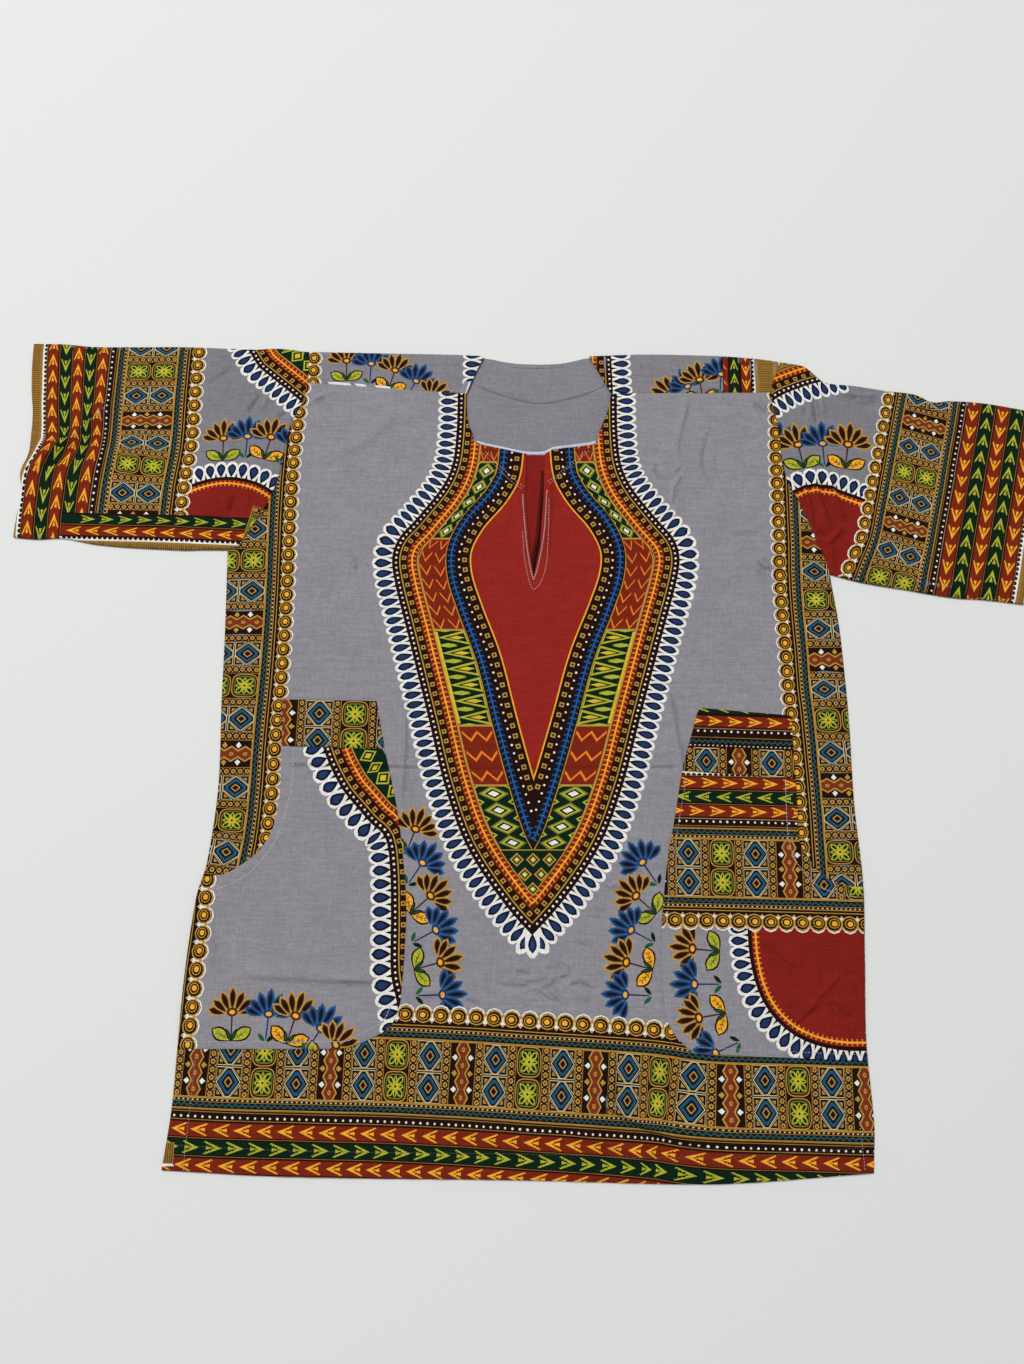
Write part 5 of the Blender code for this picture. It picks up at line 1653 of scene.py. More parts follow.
# ------------------------------------------------------------------------- stitching
class Thread:
    """Short raised stitches along lines that lie on a surface."""

    def __init__(self):
        self.points, self.faces = [], []

    def sew(self, line, place, pitch=0.0027, length=0.0019, width=0.00042, height=0.00030,
            lift=0.00012, seed=0):
        dice = random.Random(seed)
        line = Line(resampled(line, 0.003))
        s = pitch * 0.5
        mids, ends_a, ends_b = [], [], []
        while s < line.length - pitch * 0.3:
            k = length * dice.uniform(0.88, 1.06) / 2
            wob = dice.uniform(-1, 1) * 0.00008
            mids.append(line.at([s], [wob])[0])
            ends_a.append(line.at([s - k], [wob])[0])
            ends_b.append(line.at([s + k], [wob])[0])
            s += pitch
        if not mids:
            return
        m, n = spots_on(place, np.array(mids))
        a = place(np.array(ends_a))
        b = place(np.array(ends_b))
        shift = np.array([-ORIGIN[0], -ORIGIN[1], 0.0])
        m, a, b = m + shift, a + shift, b + shift
        for mi, ni, ai, bi in zip(m, n, a, b):
            if ni[2] < 0:
                ni = -ni
            t = bi - ai
            t /= max(1e-9, np.linalg.norm(t))
            w = np.cross(ni, t) * width / 2
            base = len(self.points)
            up = ni * (height + lift)
            ring_a = ai + (bi - ai) * 0.22
            ring_b = ai + (bi - ai) * 0.78
            low = ni * lift * 0.2
            self.points += [ai + low, ring_a + w + low, ring_a + up, ring_a - w + low,
                            ring_b + w + low, ring_b + up, ring_b - w + low, bi + low]
            self.faces += [(base, base + 1, base + 2), (base, base + 2, base + 3), (base, base + 3, base + 1),
                           (base + 1, base + 4, base + 5, base + 2), (base + 2, base + 5, base + 6, base + 3),
                           (base + 3, base + 6, base + 4, base + 1),
                           (base + 4, base + 7, base + 5), (base + 5, base + 7, base + 6),
                           (base + 6, base + 7, base + 4)]

    def build(self, name, material):
        mesh = bpy.data.meshes.new(name)
        mesh.from_pydata([tuple(p) for p in self.points], [], self.faces)
        mesh.update()
        mesh.shade_smooth()
        obj = bpy.data.objects.new(name, mesh)
        bpy.context.scene.collection.objects.link(obj)
        mesh.materials.append(material)
        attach(obj, "root")
        return obj


# =============================================================== the surfaces of cloth
arm_neg, arm_pos = shared(ARM_NEG, 60), shared(ARM_POS, 60)
sides_neg, sides_pos = side_line(SIDE_NEG), side_line(SIDE_POS)
hem = top_line(HEM, HEM[0].x, HEM[-1].x, 90)
neck = smooth_line(xy(NECK_FRONT), 0.004)


def nearest_index(line, point):
    return int(np.argmin(np.hypot(line[:, 0] - point[0], line[:, 1] - point[1])))


slit_neg = xy(SLIT_NEG[1:] + [SLIT_TIP])
slit_pos = xy([SLIT_TIP] + SLIT_POS[:-1])
neck_with_slit = np.vstack([neck[:nearest_index(neck, SLIT_NEG[0]) + 1], slit_neg,
                            slit_pos[1:], neck[nearest_index(neck, SLIT_POS[-1]):]])


def crest(x):
    x = np.asarray(x, float)
    return np.where(x < 0, along(CREST_NEG, x, "x", "y"), along(CREST_POS, x, "x", "y"))


R_FOLD = SHOULDER_R - 0.000025
TURN = math.pi * (SHOULDER_R - CLOTH / 2)


def level(x):
    return crest(x) - SHOULDER_R


front_loop = thinned(np.vstack([
    hem, sides_pos[::-1][1:], below(arm_pos, YOKE_POS[1].y - AIR)[1:],
    top_line(YOKE_POS, YOKE_POS[1].x - 0.0005, YOKE_POS[0].x, 24) - [0, AIR],
    neck_with_slit[::-1][1:-1],
    top_line(YOKE_NEG, YOKE_NEG[1].x, YOKE_NEG[0].x + 0.0005, 24) - [0, AIR],
    below(arm_neg, YOKE_NEG[0].y - AIR)[::-1], sides_neg[1:-1]]), 0.0006)


# rims that the front is sewn or hemmed along
def rim_distance(p):
    d = np.minimum(close_to(p, sides_neg, 0.03), close_to(p, sides_pos, 0.03))
    return np.minimum(d, close_to(p, hem, 0.03))


class Field:
    """A height that is worked out once on a fine grid and read between its points."""

    def __init__(self, low, high, step, height):
        self.low, self.step = np.array(low, float), step
        nx = int(math.ceil((high[0] - low[0]) / step)) + 2
        ny = int(math.ceil((high[1] - low[1]) / step)) + 2
        gx, gy = np.meshgrid(low[0] + np.arange(nx) * step, low[1] + np.arange(ny) * step)
        self.z = height(np.stack([gx.ravel(), gy.ravel()], 1)).reshape(ny, nx)

    def __call__(self, p):
        q = (p - self.low) / self.step
        i = np.clip(q[:, 0].astype(int), 1, self.z.shape[1] - 3)
        j = np.clip(q[:, 1].astype(int), 1, self.z.shape[0] - 3)
        u, v = q[:, 0] - i, q[:, 1] - j

        def weights(t):
            return (((-0.5 * t + 1.0) * t - 0.5) * t, (1.5 * t - 2.5) * t * t + 1.0,
                    ((-1.5 * t + 2.0) * t + 0.5) * t, (0.5 * t - 0.5) * t * t)

        wu, wv = weights(u), weights(v)
        out = np.zeros(len(p))
        for b in range(4):
            row = np.zeros(len(p))
            for a in range(4):
                row += wu[a] * self.z[j + b - 1, i + a - 1]
            out += wv[b] * row
        return out


def front_height(p):
    rim = rim_distance(p)
    z = EDGE_LOW + CLOTH + (FRONT_LOW - EDGE_LOW) * smooth(rim / EDGE_FALL)
    move = np.zeros(len(p))
    for c in FRONT_CREASES:
        move += c(p)
    z = z + move * smooth(rim / 0.010) + ripple(p, 11) * smooth(rim / 0.018)
    # a trough stops short of the back
    over = z - 0.00185
    z = 0.00185 + np.where(rim > 0.0015, 0.5 * (over + np.sqrt(over ** 2 + 2e-8)), over)
    # the double turn of the hem, slightly puckered
    up = p[:, 1] - along(HEM, p[:, 0], "x", "y")
    turned = 1 - smooth((up - 0.0095) / 0.0030)
    wave = np.sin(p[:, 0] * 190 + 1.3 * np.sin(p[:, 0] * 61)) * np.sin(p[:, 0] * 23 + 0.4)
    return z + turned * (0.00032 + 0.00022 * wave)


# creases of the front, left and right of the neck and down to the hem: each is a line
# with its height and how wide it falls off to its left and right, in millimetres
Mark = namedtuple("Mark", "points height left right")
FRONT_MARKS = [
    # the chest on the -x side
    Mark([(-0.2130, 0.2382), (-0.1895, 0.2450), (-0.1682, 0.2585), (-0.1511, 0.2745),
          (-0.1371, 0.2952)], 0.6, 13, 9),
    Mark([(-0.2283, 0.3021), (-0.2150, 0.3079)], 1.0, 5, 4),
    Mark([(-0.1853, 0.1361), (-0.1809, 0.1264), (-0.1763, 0.1126)], 1.0, 4, 3),
    Mark([(-0.1221, 0.0273), (-0.1230, -0.0180), (-0.1229, -0.0575), (-0.1240, -0.0924),
          (-0.1258, -0.1295)], 1.0, 4, 3),
    Mark([(-0.1159, -0.0692), (-0.0987, -0.0673)], 0.7, 5, 5),
    # where the shirt was folded in its pack
    Mark([(-0.2370, -0.0837), (-0.2083, -0.0847), (-0.1748, -0.0852), (-0.1241, -0.0857),
          (-0.0888, -0.0861)], -1.0, 3, 3),
    Mark([(-0.0888, -0.0861), (-0.0124, -0.0866), (0.1023, -0.0857)], -0.5, 3, 3),
    Mark([(0.0994, -0.0857), (0.1405, -0.0857)], -0.9, 3, 3),
    Mark([(-0.2330, -0.0845), (-0.2050, -0.0848)], -0.8, 3, 3),
    # the chest on the +x side
    Mark([(0.1634, 0.3067), (0.1606, 0.2906), (0.1570, 0.2768), (0.1521, 0.2585),
          (0.1490, 0.2337)], 0.7, 3.5, 9),
    Mark([(0.1284, 0.2326), (0.1291, 0.2225), (0.1329, 0.2147), (0.1390, 0.2114),
          (0.1451, 0.2125)], -0.9, 3.5, 3),
    Mark([(0.1485, 0.2203), (0.1549, 0.2248)], -1.0, 3, 3),
    Mark([(0.1578, 0.2203), (0.1503, 0.2136), (0.1459, 0.2058), (0.1435, 0.1948),
          (0.1420, 0.1827)], 0.7, 3, 4),
    Mark([(0.1880, 0.2722), (0.1832, 0.2585), (0.1783, 0.2416), (0.1776, 0.2270),
          (0.1811, 0.2136), (0.1867, 0.2025), (0.1925, 0.1959)], -0.7, 3, 4),
    Mark([(0.2335, 0.3044), (0.2393, 0.2963), (0.2462, 0.2894)], 1.3, 5, 4),
    Mark([(0.2322, 0.2998), (0.2369, 0.2917), (0.2438, 0.2848)], -0.9, 3, 3),
    Mark([(0.1658, 0.2894), (0.1919, 0.2883), (0.2232, 0.2894)], 0.6, 6, 14),
    Mark([(0.1956, 0.1544), (0.2160, 0.1576), (0.2366, 0.1641)], 0.3, 7, 6),
    Mark([(0.2263, 0.1264), (0.2310, 0.1200), (0.2377, 0.1147)], 1.9, 6, 4),
    Mark([(0.2260, 0.1200), (0.2295, 0.1115), (0.2362, 0.1062)], -1.0, 3, 3),
    # between the ornament and the pocket on the +x side
    Mark([(0.1274, 0.0020), (0.1316, -0.0170), (0.1354, -0.0438), (0.1399, -0.0770),
          (0.1426, -0.1058)], 1.2, 6, 4),
    # puckers beside the ornament, on its lower right
    Mark([(0.0772, -0.1752), (0.0873, -0.1798), (0.1002, -0.1872)], -1.1, 5, 6),
    Mark([(0.0658, -0.1826), (0.0750, -0.1890), (0.0850, -0.1963)], 0.9, 5, 6),
    Mark([(0.0655, -0.1963), (0.0765, -0.2036)], -0.8, 3.5, 3.5),
    Mark([(0.0712, -0.1918), (0.0821, -0.1991)], 0.7, 4, 4),
    Mark([(0.0541, -0.2109), (0.0669, -0.2154)], 0.6, 4, 4),
    Mark([(0.0483, -0.2235), (0.0630, -0.2271)], -0.6, 4, 4),
    Mark([(0.0352, -0.2387), (0.0470, -0.2450)], 0.6, 4, 4),
    Mark([(0.0424, -0.2485), (0.0560, -0.2521)], -0.6, 3.5, 3.5),
    Mark([(0.0202, -0.2601), (0.0366, -0.2671)], 0.6, 4, 4),
    Mark([(0.0129, -0.2671), (0.0237, -0.2741)], -0.7, 4, 4),
    # below the ornament's tip
    Mark([(-0.0355, -0.2820), (-0.0264, -0.2846), (-0.0173, -0.2855), (-0.0082, -0.2855),
          (-0.0009, -0.2881), (0.0063, -0.2924), (0.0126, -0.2977),
          (0.0198, -0.3002)], -1.0, 3.5, 4.5),
    Mark([(0.0054, -0.2864), (0.0154, -0.2864), (0.0209, -0.2811), (0.0301, -0.2768),
          (0.0365, -0.2750)], -0.9, 3.5, 3.5),
    Mark([(0.0309, -0.2846), (0.0418, -0.2829), (0.0490, -0.2855),
          (0.0553, -0.2890)], -1.1, 3.5, 4.5),
    Mark([(0.0154, -0.2872), (0.0217, -0.2933), (0.0262, -0.2985), (0.0306, -0.3037),
          (0.0342, -0.3080)], -1.0, 3.5, 3.5),
    Mark([(0.0081, -0.2881), (0.0153, -0.2933), (0.0208, -0.2968)], 0.9, 3, 3),
    Mark([(0.0371, -0.2907), (0.0525, -0.2933)], 0.7, 5, 5),
    Mark([(-0.0164, -0.2724), (-0.0100, -0.2741), (-0.0018, -0.2750)], -0.8, 4, 4),
    Mark([(-0.0091, -0.2811), (-0.0018, -0.2829), (0.0064, -0.2820),
          (0.0118, -0.2794)], -0.9, 3.5, 3.5),
    Mark([(-0.0635, -0.2968), (-0.0562, -0.2994), (-0.0480, -0.3020)], -0.9, 4, 4),
    Mark([(-0.0464, -0.2706), (-0.0455, -0.2811), (-0.0418, -0.2907)], 0.7, 6, 6),
    Mark([(-0.0854, -0.2837), (-0.0717, -0.2881), (-0.0581, -0.2898)], 0.6, 6, 6),
    Mark([(-0.1035, -0.2898), (-0.0808, -0.2881)], 0.9, 8, 8),
    Mark([(0.0404, -0.3690), (0.0686, -0.3815)], 0.9, 6, 6),
    Mark([(0.0520, -0.3790), (0.0772, -0.3920), (0.1015, -0.4046), (0.1275, -0.4127),
          (0.1560, -0.4170)], 2.0, 10, 5),
    Mark([(0.0560, -0.3870), (0.0800, -0.3985), (0.1015, -0.4090), (0.1250, -0.4165)], -1.0, 6, 8),
    Mark([(0.0300, -0.4060), (0.0700, -0.4180), (0.1050, -0.4300)], 1.6, 9, 6),
    # the pocket on the -x side
    Mark([(-0.2751, -0.2741), (-0.2221, -0.2759), (-0.1719, -0.2785), (-0.1428, -0.2794)],
         1.2, 14, 6),
    Mark([(-0.1800, -0.2782), (-0.1600, -0.2790), (-0.1420, -0.2800)], 0.8, 6, 4),
    Mark([(-0.2831, -0.2082), (-0.2825, -0.2441), (-0.2771, -0.2837)], -1.3, 17, 17),
    # the pocket on the +x side
    Mark([(0.2074, -0.2485), (0.2162, -0.2539), (0.2223, -0.2592), (0.2318, -0.2680),
          (0.2406, -0.2733)], -0.8, 3.5, 4),
    Mark([(0.2310, -0.3217), (0.2423, -0.3140), (0.2509, -0.3072),
          (0.2593, -0.3046)], -0.8, 3.5, 3.5),
    Mark([(0.2455, -0.3080), (0.2574, -0.2933), (0.2701, -0.2811), (0.2798, -0.2724)], 0.8, 6, 4),
    Mark([(0.2634, -0.2968), (0.2718, -0.3054), (0.2804, -0.3115), (0.2882, -0.3157)], -0.8, 4.5, 4),
    Mark([(0.2682, -0.2942), (0.2870, -0.3080)], 0.7, 5, 4),
    Mark([(0.2814, -0.2759), (0.2943, -0.2741)], -0.8, 4, 4),
    Mark([(0.2392, -0.3209), (0.2525, -0.3235), (0.2656, -0.3277)], 0.7, 6, 6),
    Mark([(0.2548, -0.2530), (0.2535, -0.2837), (0.2462, -0.2968)], 0.5, 9, 8),
    # the slit's edges stand up a little
    Mark([(0.0178, 0.2300), (0.0170, 0.1950), (0.0150, 0.1600), (0.0105, 0.1250)], 1.15, 7, 8),
    Mark([(-0.0120, 0.2200), (-0.0115, 0.1850), (-0.0085, 0.1500), (-0.0040, 0.1200)], 0.6, 7, 7),
]


def creases_of(marks, size, ends=(0.22, 0.22)):
    return [Crease(m.points, size * m.height / 1000, m.left / 1000, m.right / 1000, ends=ends)
            for m in marks]


def soft(creases, share):
    for c in creases:
        c.height *= share
    return creases


FRONT_CREASES = soft(folds_of(FRONT_FOLDS), 0.4) + creases_of(FRONT_MARKS, 2.1)
FRONT_FIELD = Field((-0.345, -0.465), (0.325, 0.345), 0.0014, front_height)


def edge_round(p, lines, reach, drop):
    """How far a surface falls towards some of its edges."""
    d = np.full(len(p), 1e9)
    for line in lines:
        d = np.minimum(d, close_to(p, line, reach))
    u = np.clip(d / reach, 0, 1)
    return drop * (1 - np.sqrt(np.clip(1 - (1 - u) ** 2, 0, 1)))


seam_neg, seam_pos = below(arm_neg, 0.34), below(arm_pos, 0.34)
yoke_neg, yoke_pos = xy(YOKE_NEG), xy(YOKE_POS)
neck_edge = neck_with_slit


def front_outer(p):
    z = FRONT_FIELD(p)
    z = z - edge_round(p, [sides_neg, sides_pos, hem], 0.0042, 0.00085)
    z = z - edge_round(p, [seam_neg, seam_pos], 0.0024, 0.0006)
    z = z - edge_round(p, [yoke_neg, yoke_pos], 0.0022, 0.0005)
    return z - edge_round(p, [neck_edge], 0.0012, 0.0003)


def front_place(p):
    sunk = np.zeros(len(p))
    for cover in COVERS:
        inside = in_loop(p, cover)
        deep = close_to(p, np.vstack([cover, cover[:1]]), 0.008)
        sunk = np.maximum(sunk, np.where(inside, 0.00035 * smooth(deep / 0.006), 0.0))
    return np.column_stack([p, front_outer(p) - sunk])


def back_place(p):
    """Flat cut of the back to the outside of the laid cloth."""
    lv = level(p[:, 0])
    over = p[:, 1] - lv
    a = np.clip(over / TURN, 0, 1) * math.pi
    y = np.where(over <= 0, p[:, 1], np.where(over < TURN, lv + R_FOLD * np.sin(a), lv - (over - TURN)))
    z = 0.00005 + R_FOLD * (1 - np.cos(a))
    on = smooth((over - TURN * 0.6) / 0.008)
    flat = np.column_stack([p[:, 0], y])
    swell = on * (ripple(flat, 11) * 0.6 + sum(c(flat) for c in FRONT_CREASES))
    z = z + swell - (over > TURN * 0.55) * (edge_round(flat, [seam_neg, seam_pos], 0.0024, 0.0006)
                                            + edge_round(flat, [yoke_neg, yoke_pos], 0.0022, 0.0005))
    return np.column_stack([p[:, 0], y, z])


def mirrored(points):
    return np.column_stack([points[:, 0], 2 * level(points[:, 0]) + TURN - points[:, 1]])


def shoulder_cut(arm, yoke, neck_x, crest_x):
    """One shoulder in the cut: up the armhole, over the fold, along the yoke seam and
    back over the fold at the neck."""
    ends = arm[:, 1] < level(arm[:, 0]) - 0.0008
    rise = arm[:int(np.argmin(ends))] if not ends.all() else arm
    end = below(arm, float(level(arm[-1, 0])))[-1] if arm[-1, 1] > level(arm[-1, 0]) else arm[-1]
    k = np.linspace(0, 1, 14)[:, None]
    turn = np.column_stack([np.full(14, end[0]), level(end[0]) + TURN * k[:, 0]])
    seam_y = along(yoke, end[0], "x", "y")
    seam_end = below(arm, float(seam_y))[-1]
    over = arm[(arm[:, 1] > seam_end[1] + 0.0006) & (arm[:, 1] < level(arm[:, 0]) - 0.0008)]
    seam = mirrored(np.vstack([over[::-1], top_line(yoke, seam_end[0], neck_x, 26)]))
    foot = np.array([neck_x, along(yoke, neck_x, "x", "y")])
    head = np.array([crest_x, level(crest_x)])
    u = np.linspace(0, 1, 9)[1:-1, None]
    down = mirrored(foot + (head - foot) * u)
    back = np.column_stack([np.full(14, crest_x), level(crest_x) + TURN * (1 - k[:, 0])])
    return np.vstack([rise, turn, seam, down, back])


nape = smooth_line(xy(NECK_BACK), 0.004)
nape_cut = nape[nape[:, 1] < level(nape[:, 0]) - 0.0006]
back_loop = thinned(np.vstack([
    hem, sides_pos[::-1][1:], shoulder_cut(arm_pos, YOKE_POS, YOKE_POS[0].x, 0.0620)[1:],
    nape_cut[::-1], shoulder_cut(arm_neg, YOKE_NEG, YOKE_NEG[1].x, -0.0503)[::-1],
    sides_neg[1:-1]]), 0.0005)


# pockets and their bands follow the front that they're sewn to
def on_side(rows, y, x_sign):
    return np.column_stack([along(rows, y, "y", "x") - 0.0006 * x_sign, y])


def pocket_loop(hand, inner, rows, sign):
    mouth = smooth_line(xy(hand), 0.004)[:-1]
    y = np.linspace(hand[-1].y, inner[0].y, 36)
    run = on_side(rows, y, sign)
    rest = xy(inner[1:])
    bottom = np.vstack([run[-1], rest[:1]])
    curve = smooth_line(rest, 0.004)
    return thinned(np.vstack([mouth, run, resampled(bottom, 0.006)[1:-1], curve]), 0.0006), \
        smooth_line(xy(hand), 0.004), np.vstack([resampled(bottom, 0.006), curve])


POCKETS = {}
for node, hand, inner, rows, sign in (("pocket_right", HAND_NEG, INNER_NEG, SIDE_NEG, -1),
                                      ("pocket_left", HAND_POS, INNER_POS, SIDE_POS, 1)):
    POCKETS[node] = pocket_loop(hand, inner, rows, sign)


def pocket_place(node):
    loop, mouth, sewn = POCKETS[node]
    side = sides_neg if node == "pocket_right" else sides_pos

    def place(p):
        z = FRONT_FIELD(p) + 0.00105
        z = z - edge_round(p, [sewn], 0.0030, 0.00032)
        z = z - edge_round(p, [side], 0.0040, 0.00080)
        away = distance_to(p, mouth)
        z = z + 0.00035 * (1 - smooth(away / 0.012)) - 0.0002 * (1 - smooth(away / 0.0012))
        return np.column_stack([p, z])

    return place


def band_place(node):
    loop = BANDS[node]
    ring_line = np.vstack([loop, loop[:1]])

    def place(p):
        z = FRONT_FIELD(p) + 0.00110 - edge_round(p, [ring_line], 0.0020, 0.00035)
        return np.column_stack([p, z])

    return place


def band_loop(points):
    loop = xy(points)
    loop[:2, 1] += 0.00034
    return thinned(resampled(np.vstack([loop, loop[:1]]), 0.006)[:-1], 0.0006)


BANDS = {"pocket_band_right": band_loop(BAND_NEG), "pocket_band_left": band_loop(BAND_POS)}


# sleeves: an upper layer, a fold along the top, and a lower layer under it
class Sleeve:
    def __init__(self, arm, cuff_rows, stray, folds, outward, creases, seed):
        d = np.gradient(arm, axis=0)
        d /= np.hypot(*d.T)[:, None]
        self.arm = arm + np.stack([d[:, 1], -d[:, 0]], 1) * outward * 0.0004
        self.cuff = shared(cuff_rows, 60)
        self.k = np.linspace(0, 1, 61)
        self.stray, self.r, self.seed = stray, 0.0013, seed
        self.folds = [Fold(*f) for f in folds]
        self.creases = creases
        s = np.linspace(0, 1, 121)
        top, low = self.line(s, np.ones(121)), self.line(s, np.zeros(121))
        way = 1 if top[-1, 0] > top[0, 0] else -1
        self.way = way
        self.top, self.low = top[::way], low[::way]
        self.turn = math.pi * self.r
        self.quarter = (math.pi / 2 - 0.06) * self.r

    def ends(self, k):
        return (np.stack([np.interp(k, self.k, self.arm[:, i]) for i in (0, 1)], 1),
                np.stack([np.interp(k, self.k, self.cuff[:, i]) for i in (0, 1)], 1))

    def line(self, s, k):
        a, c = self.ends(k)
        p = a + (c - a) * s[:, None]
        p[:, 1] += along(self.stray, s, "s", "top") * k + along(self.stray, s, "s", "bottom") * (1 - k)
        return p

    def shares(self, p):
        """(s, k) of laid places, by a few steps of Newton's way."""
        k = np.clip((p[:, 1] - self.bottom_y(p[:, 0]) + self.r)
                    / (self.top_y(p[:, 0]) - self.bottom_y(p[:, 0]) + 2 * self.r), -0.05, 1.05)
        for _ in range(6):
            a, c = self.ends(k)
            s = (p[:, 0] - a[:, 0]) / (c[:, 0] - a[:, 0])
            here = self.line(np.clip(s, 0, 1), k)
            a2, c2 = self.ends(np.clip(k + 0.01, 0, 1))
            tall = np.maximum(0.05, (self.line(np.clip(s, 0, 1), np.ones(len(p)))
                                     - self.line(np.clip(s, 0, 1), np.zeros(len(p))))[:, 1])
            k = np.clip(k + (p[:, 1] - here[:, 1]) / tall, -0.02, 1.02)
        return np.clip(s, 0, 1), np.clip(k, 0, 1)

    def top_y(self, x):
        return np.interp(x, self.top[:, 0], self.top[:, 1]) - self.r

    def bottom_y(self, x):
        return np.interp(x, self.low[:, 0], self.low[:, 1]) + self.r

    def under(self, p):
        """Laid places to the cut's lower half."""
        return np.column_stack([p[:, 0], 2 * self.top_y(p[:, 0]) + self.turn - p[:, 1]])

    def outline(self):
        def edge(line):
            t, b = self.top_y(line[:, 0]), self.bottom_y(line[:, 0])
            mid = line[(line[:, 1] > b + 0.0006) & (line[:, 1] < t - 0.0006)]
            lo, hi = mid[0, 0], mid[-1, 0]
            q = np.linspace(0, 1, 7)
            foot = np.column_stack([np.full(7, lo), self.bottom_y(lo) - self.quarter * (1 - q)])
            turn = np.column_stack([np.full(13, hi), self.top_y(hi) + self.turn * np.linspace(0, 1, 13)])
            upper = np.vstack([foot, mid])
            return np.vstack([upper, turn, self.under(np.vstack([foot[:-1], [[lo, self.bottom_y(lo)]], mid]))[::-1]]), lo

        arm_edge, xa = edge(self.arm)
        cuff_edge, xc = edge(self.cuff)
        x = np.linspace(xa, xc, 76)[1:-1]
        floor_edge = np.column_stack([x, self.bottom_y(x) - self.quarter])
        loop = np.vstack([arm_edge, self.under(floor_edge), cuff_edge[::-1], floor_edge[::-1]])
        return thinned(loop, 0.0003)

    def rise(self, p):
        s, k = self.shares(p)
        near = np.minimum(self.top_y(p[:, 0]) - p[:, 1], p[:, 1] - self.bottom_y(p[:, 0]))
        near = np.clip(near, 0, None)
        loft = SLEEVE_LOFT * (1 - np.exp(-near / 0.016)) * (0.65 + 0.35 * np.cos(math.pi * s))
        share = np.column_stack([s, k])
        fold = np.zeros(len(p))
        for f in self.folds:
            d, _, u = near_line(share, np.array([(f.x0, f.y0), (f.x1, f.y1)]))
            fade = smooth(u / 0.3) * smooth((1 - u) / 0.3)
            fold += 0.6 * f.height * fade * (1 - smooth(d / f.width))
        for c in self.creases:
            fold += c(p)
        over = 2 * self.r - 0.00005 + loft + (fold + ripple(p, self.seed)) * smooth(near / 0.010) - 0.0019
        # a trough stops where it would reach the sleeve's lower half
        return 0.0019 + np.where(near > 0.003, 0.5 * (over + np.sqrt(over ** 2 + 3e-7)), over)

    def place(self, p):
        t, b = self.top_y(p[:, 0]), self.bottom_y(p[:, 0])
        over = p[:, 1] - t
        upper = over <= 0
        a = np.clip(over / self.turn, 0, 1) * math.pi
        laid = np.where(upper, p[:, 1], np.where(over < self.turn, t + self.r * np.sin(a),
                                                 t - (over - self.turn)))
        r = self.r - 0.000025
        z = 0.00005 + r * (1 + np.cos(a))
        tucked = np.clip((b - laid) / self.r, 0, math.pi / 2)
        flat = np.column_stack([p[:, 0], np.clip(laid, b, t)])
        rise = self.FIELD(flat) if hasattr(self, "FIELD") else self.rise(flat)
        z = np.where(upper, rise, z)
        # both long ends turn towards each other at the underarm
        z = np.where(upper & (tucked > 0), 0.00005 + r * (1 + np.cos(tucked)), z)
        z = np.where(~upper & (tucked > 0), 0.00005 + r * (1 - np.cos(tucked)), z)
        y = np.where(tucked > 0, b - self.r * np.sin(tucked), laid)
        z = z - np.where(upper, edge_round(flat, [self.arm], 0.0024, 0.0007)
                         + edge_round(flat, [self.cuff], 0.0016, 0.0004), 0.0)
        return np.column_stack([p[:, 0], y, z])


MARKS_NEG = [
    Mark([(-0.5160, 0.2280), (-0.4877, 0.2506), (-0.4517, 0.2848), (-0.4331, 0.3091)], 2.2, 7, 11),
    Mark([(-0.5100, 0.2180), (-0.4850, 0.2370), (-0.4600, 0.2560)], -0.9, 6, 6),
    Mark([(-0.3394, 0.3184), (-0.3255, 0.3301), (-0.3103, 0.3395)], -1.1, 4, 4),
    Mark([(-0.2821, 0.3091), (-0.2887, 0.2963), (-0.2943, 0.2860)], -1.8, 4, 4),
    Mark([(-0.2736, 0.3067), (-0.2810, 0.2906)], 1.0, 5, 4),
    Mark([(-0.2647, 0.2791), (-0.2567, 0.2848), (-0.2508, 0.2906)], -1.2, 4, 4),
    Mark([(-0.3000, 0.1959), (-0.3034, 0.1849), (-0.3058, 0.1750)], -1.3, 4, 4),
    Mark([(-0.3082, 0.1959), (-0.3111, 0.1783)], 0.9, 5, 5),
    Mark([(-0.2879, 0.1981), (-0.2897, 0.1783)], 0.9, 5, 5),
    Mark([(-0.3022, 0.3608), (-0.2838, 0.3371)], 1.0, 6, 6),
    Mark([(-0.3103, 0.1674), (-0.3012, 0.1827)], -0.9, 4, 4),
    Mark([(-0.4150, 0.1690), (-0.3872, 0.1641), (-0.3459, 0.1570)], 1.2, 7, 6),
    Mark([(-0.5100, 0.1720), (-0.4700, 0.1760)], 0.9, 8, 8),
]
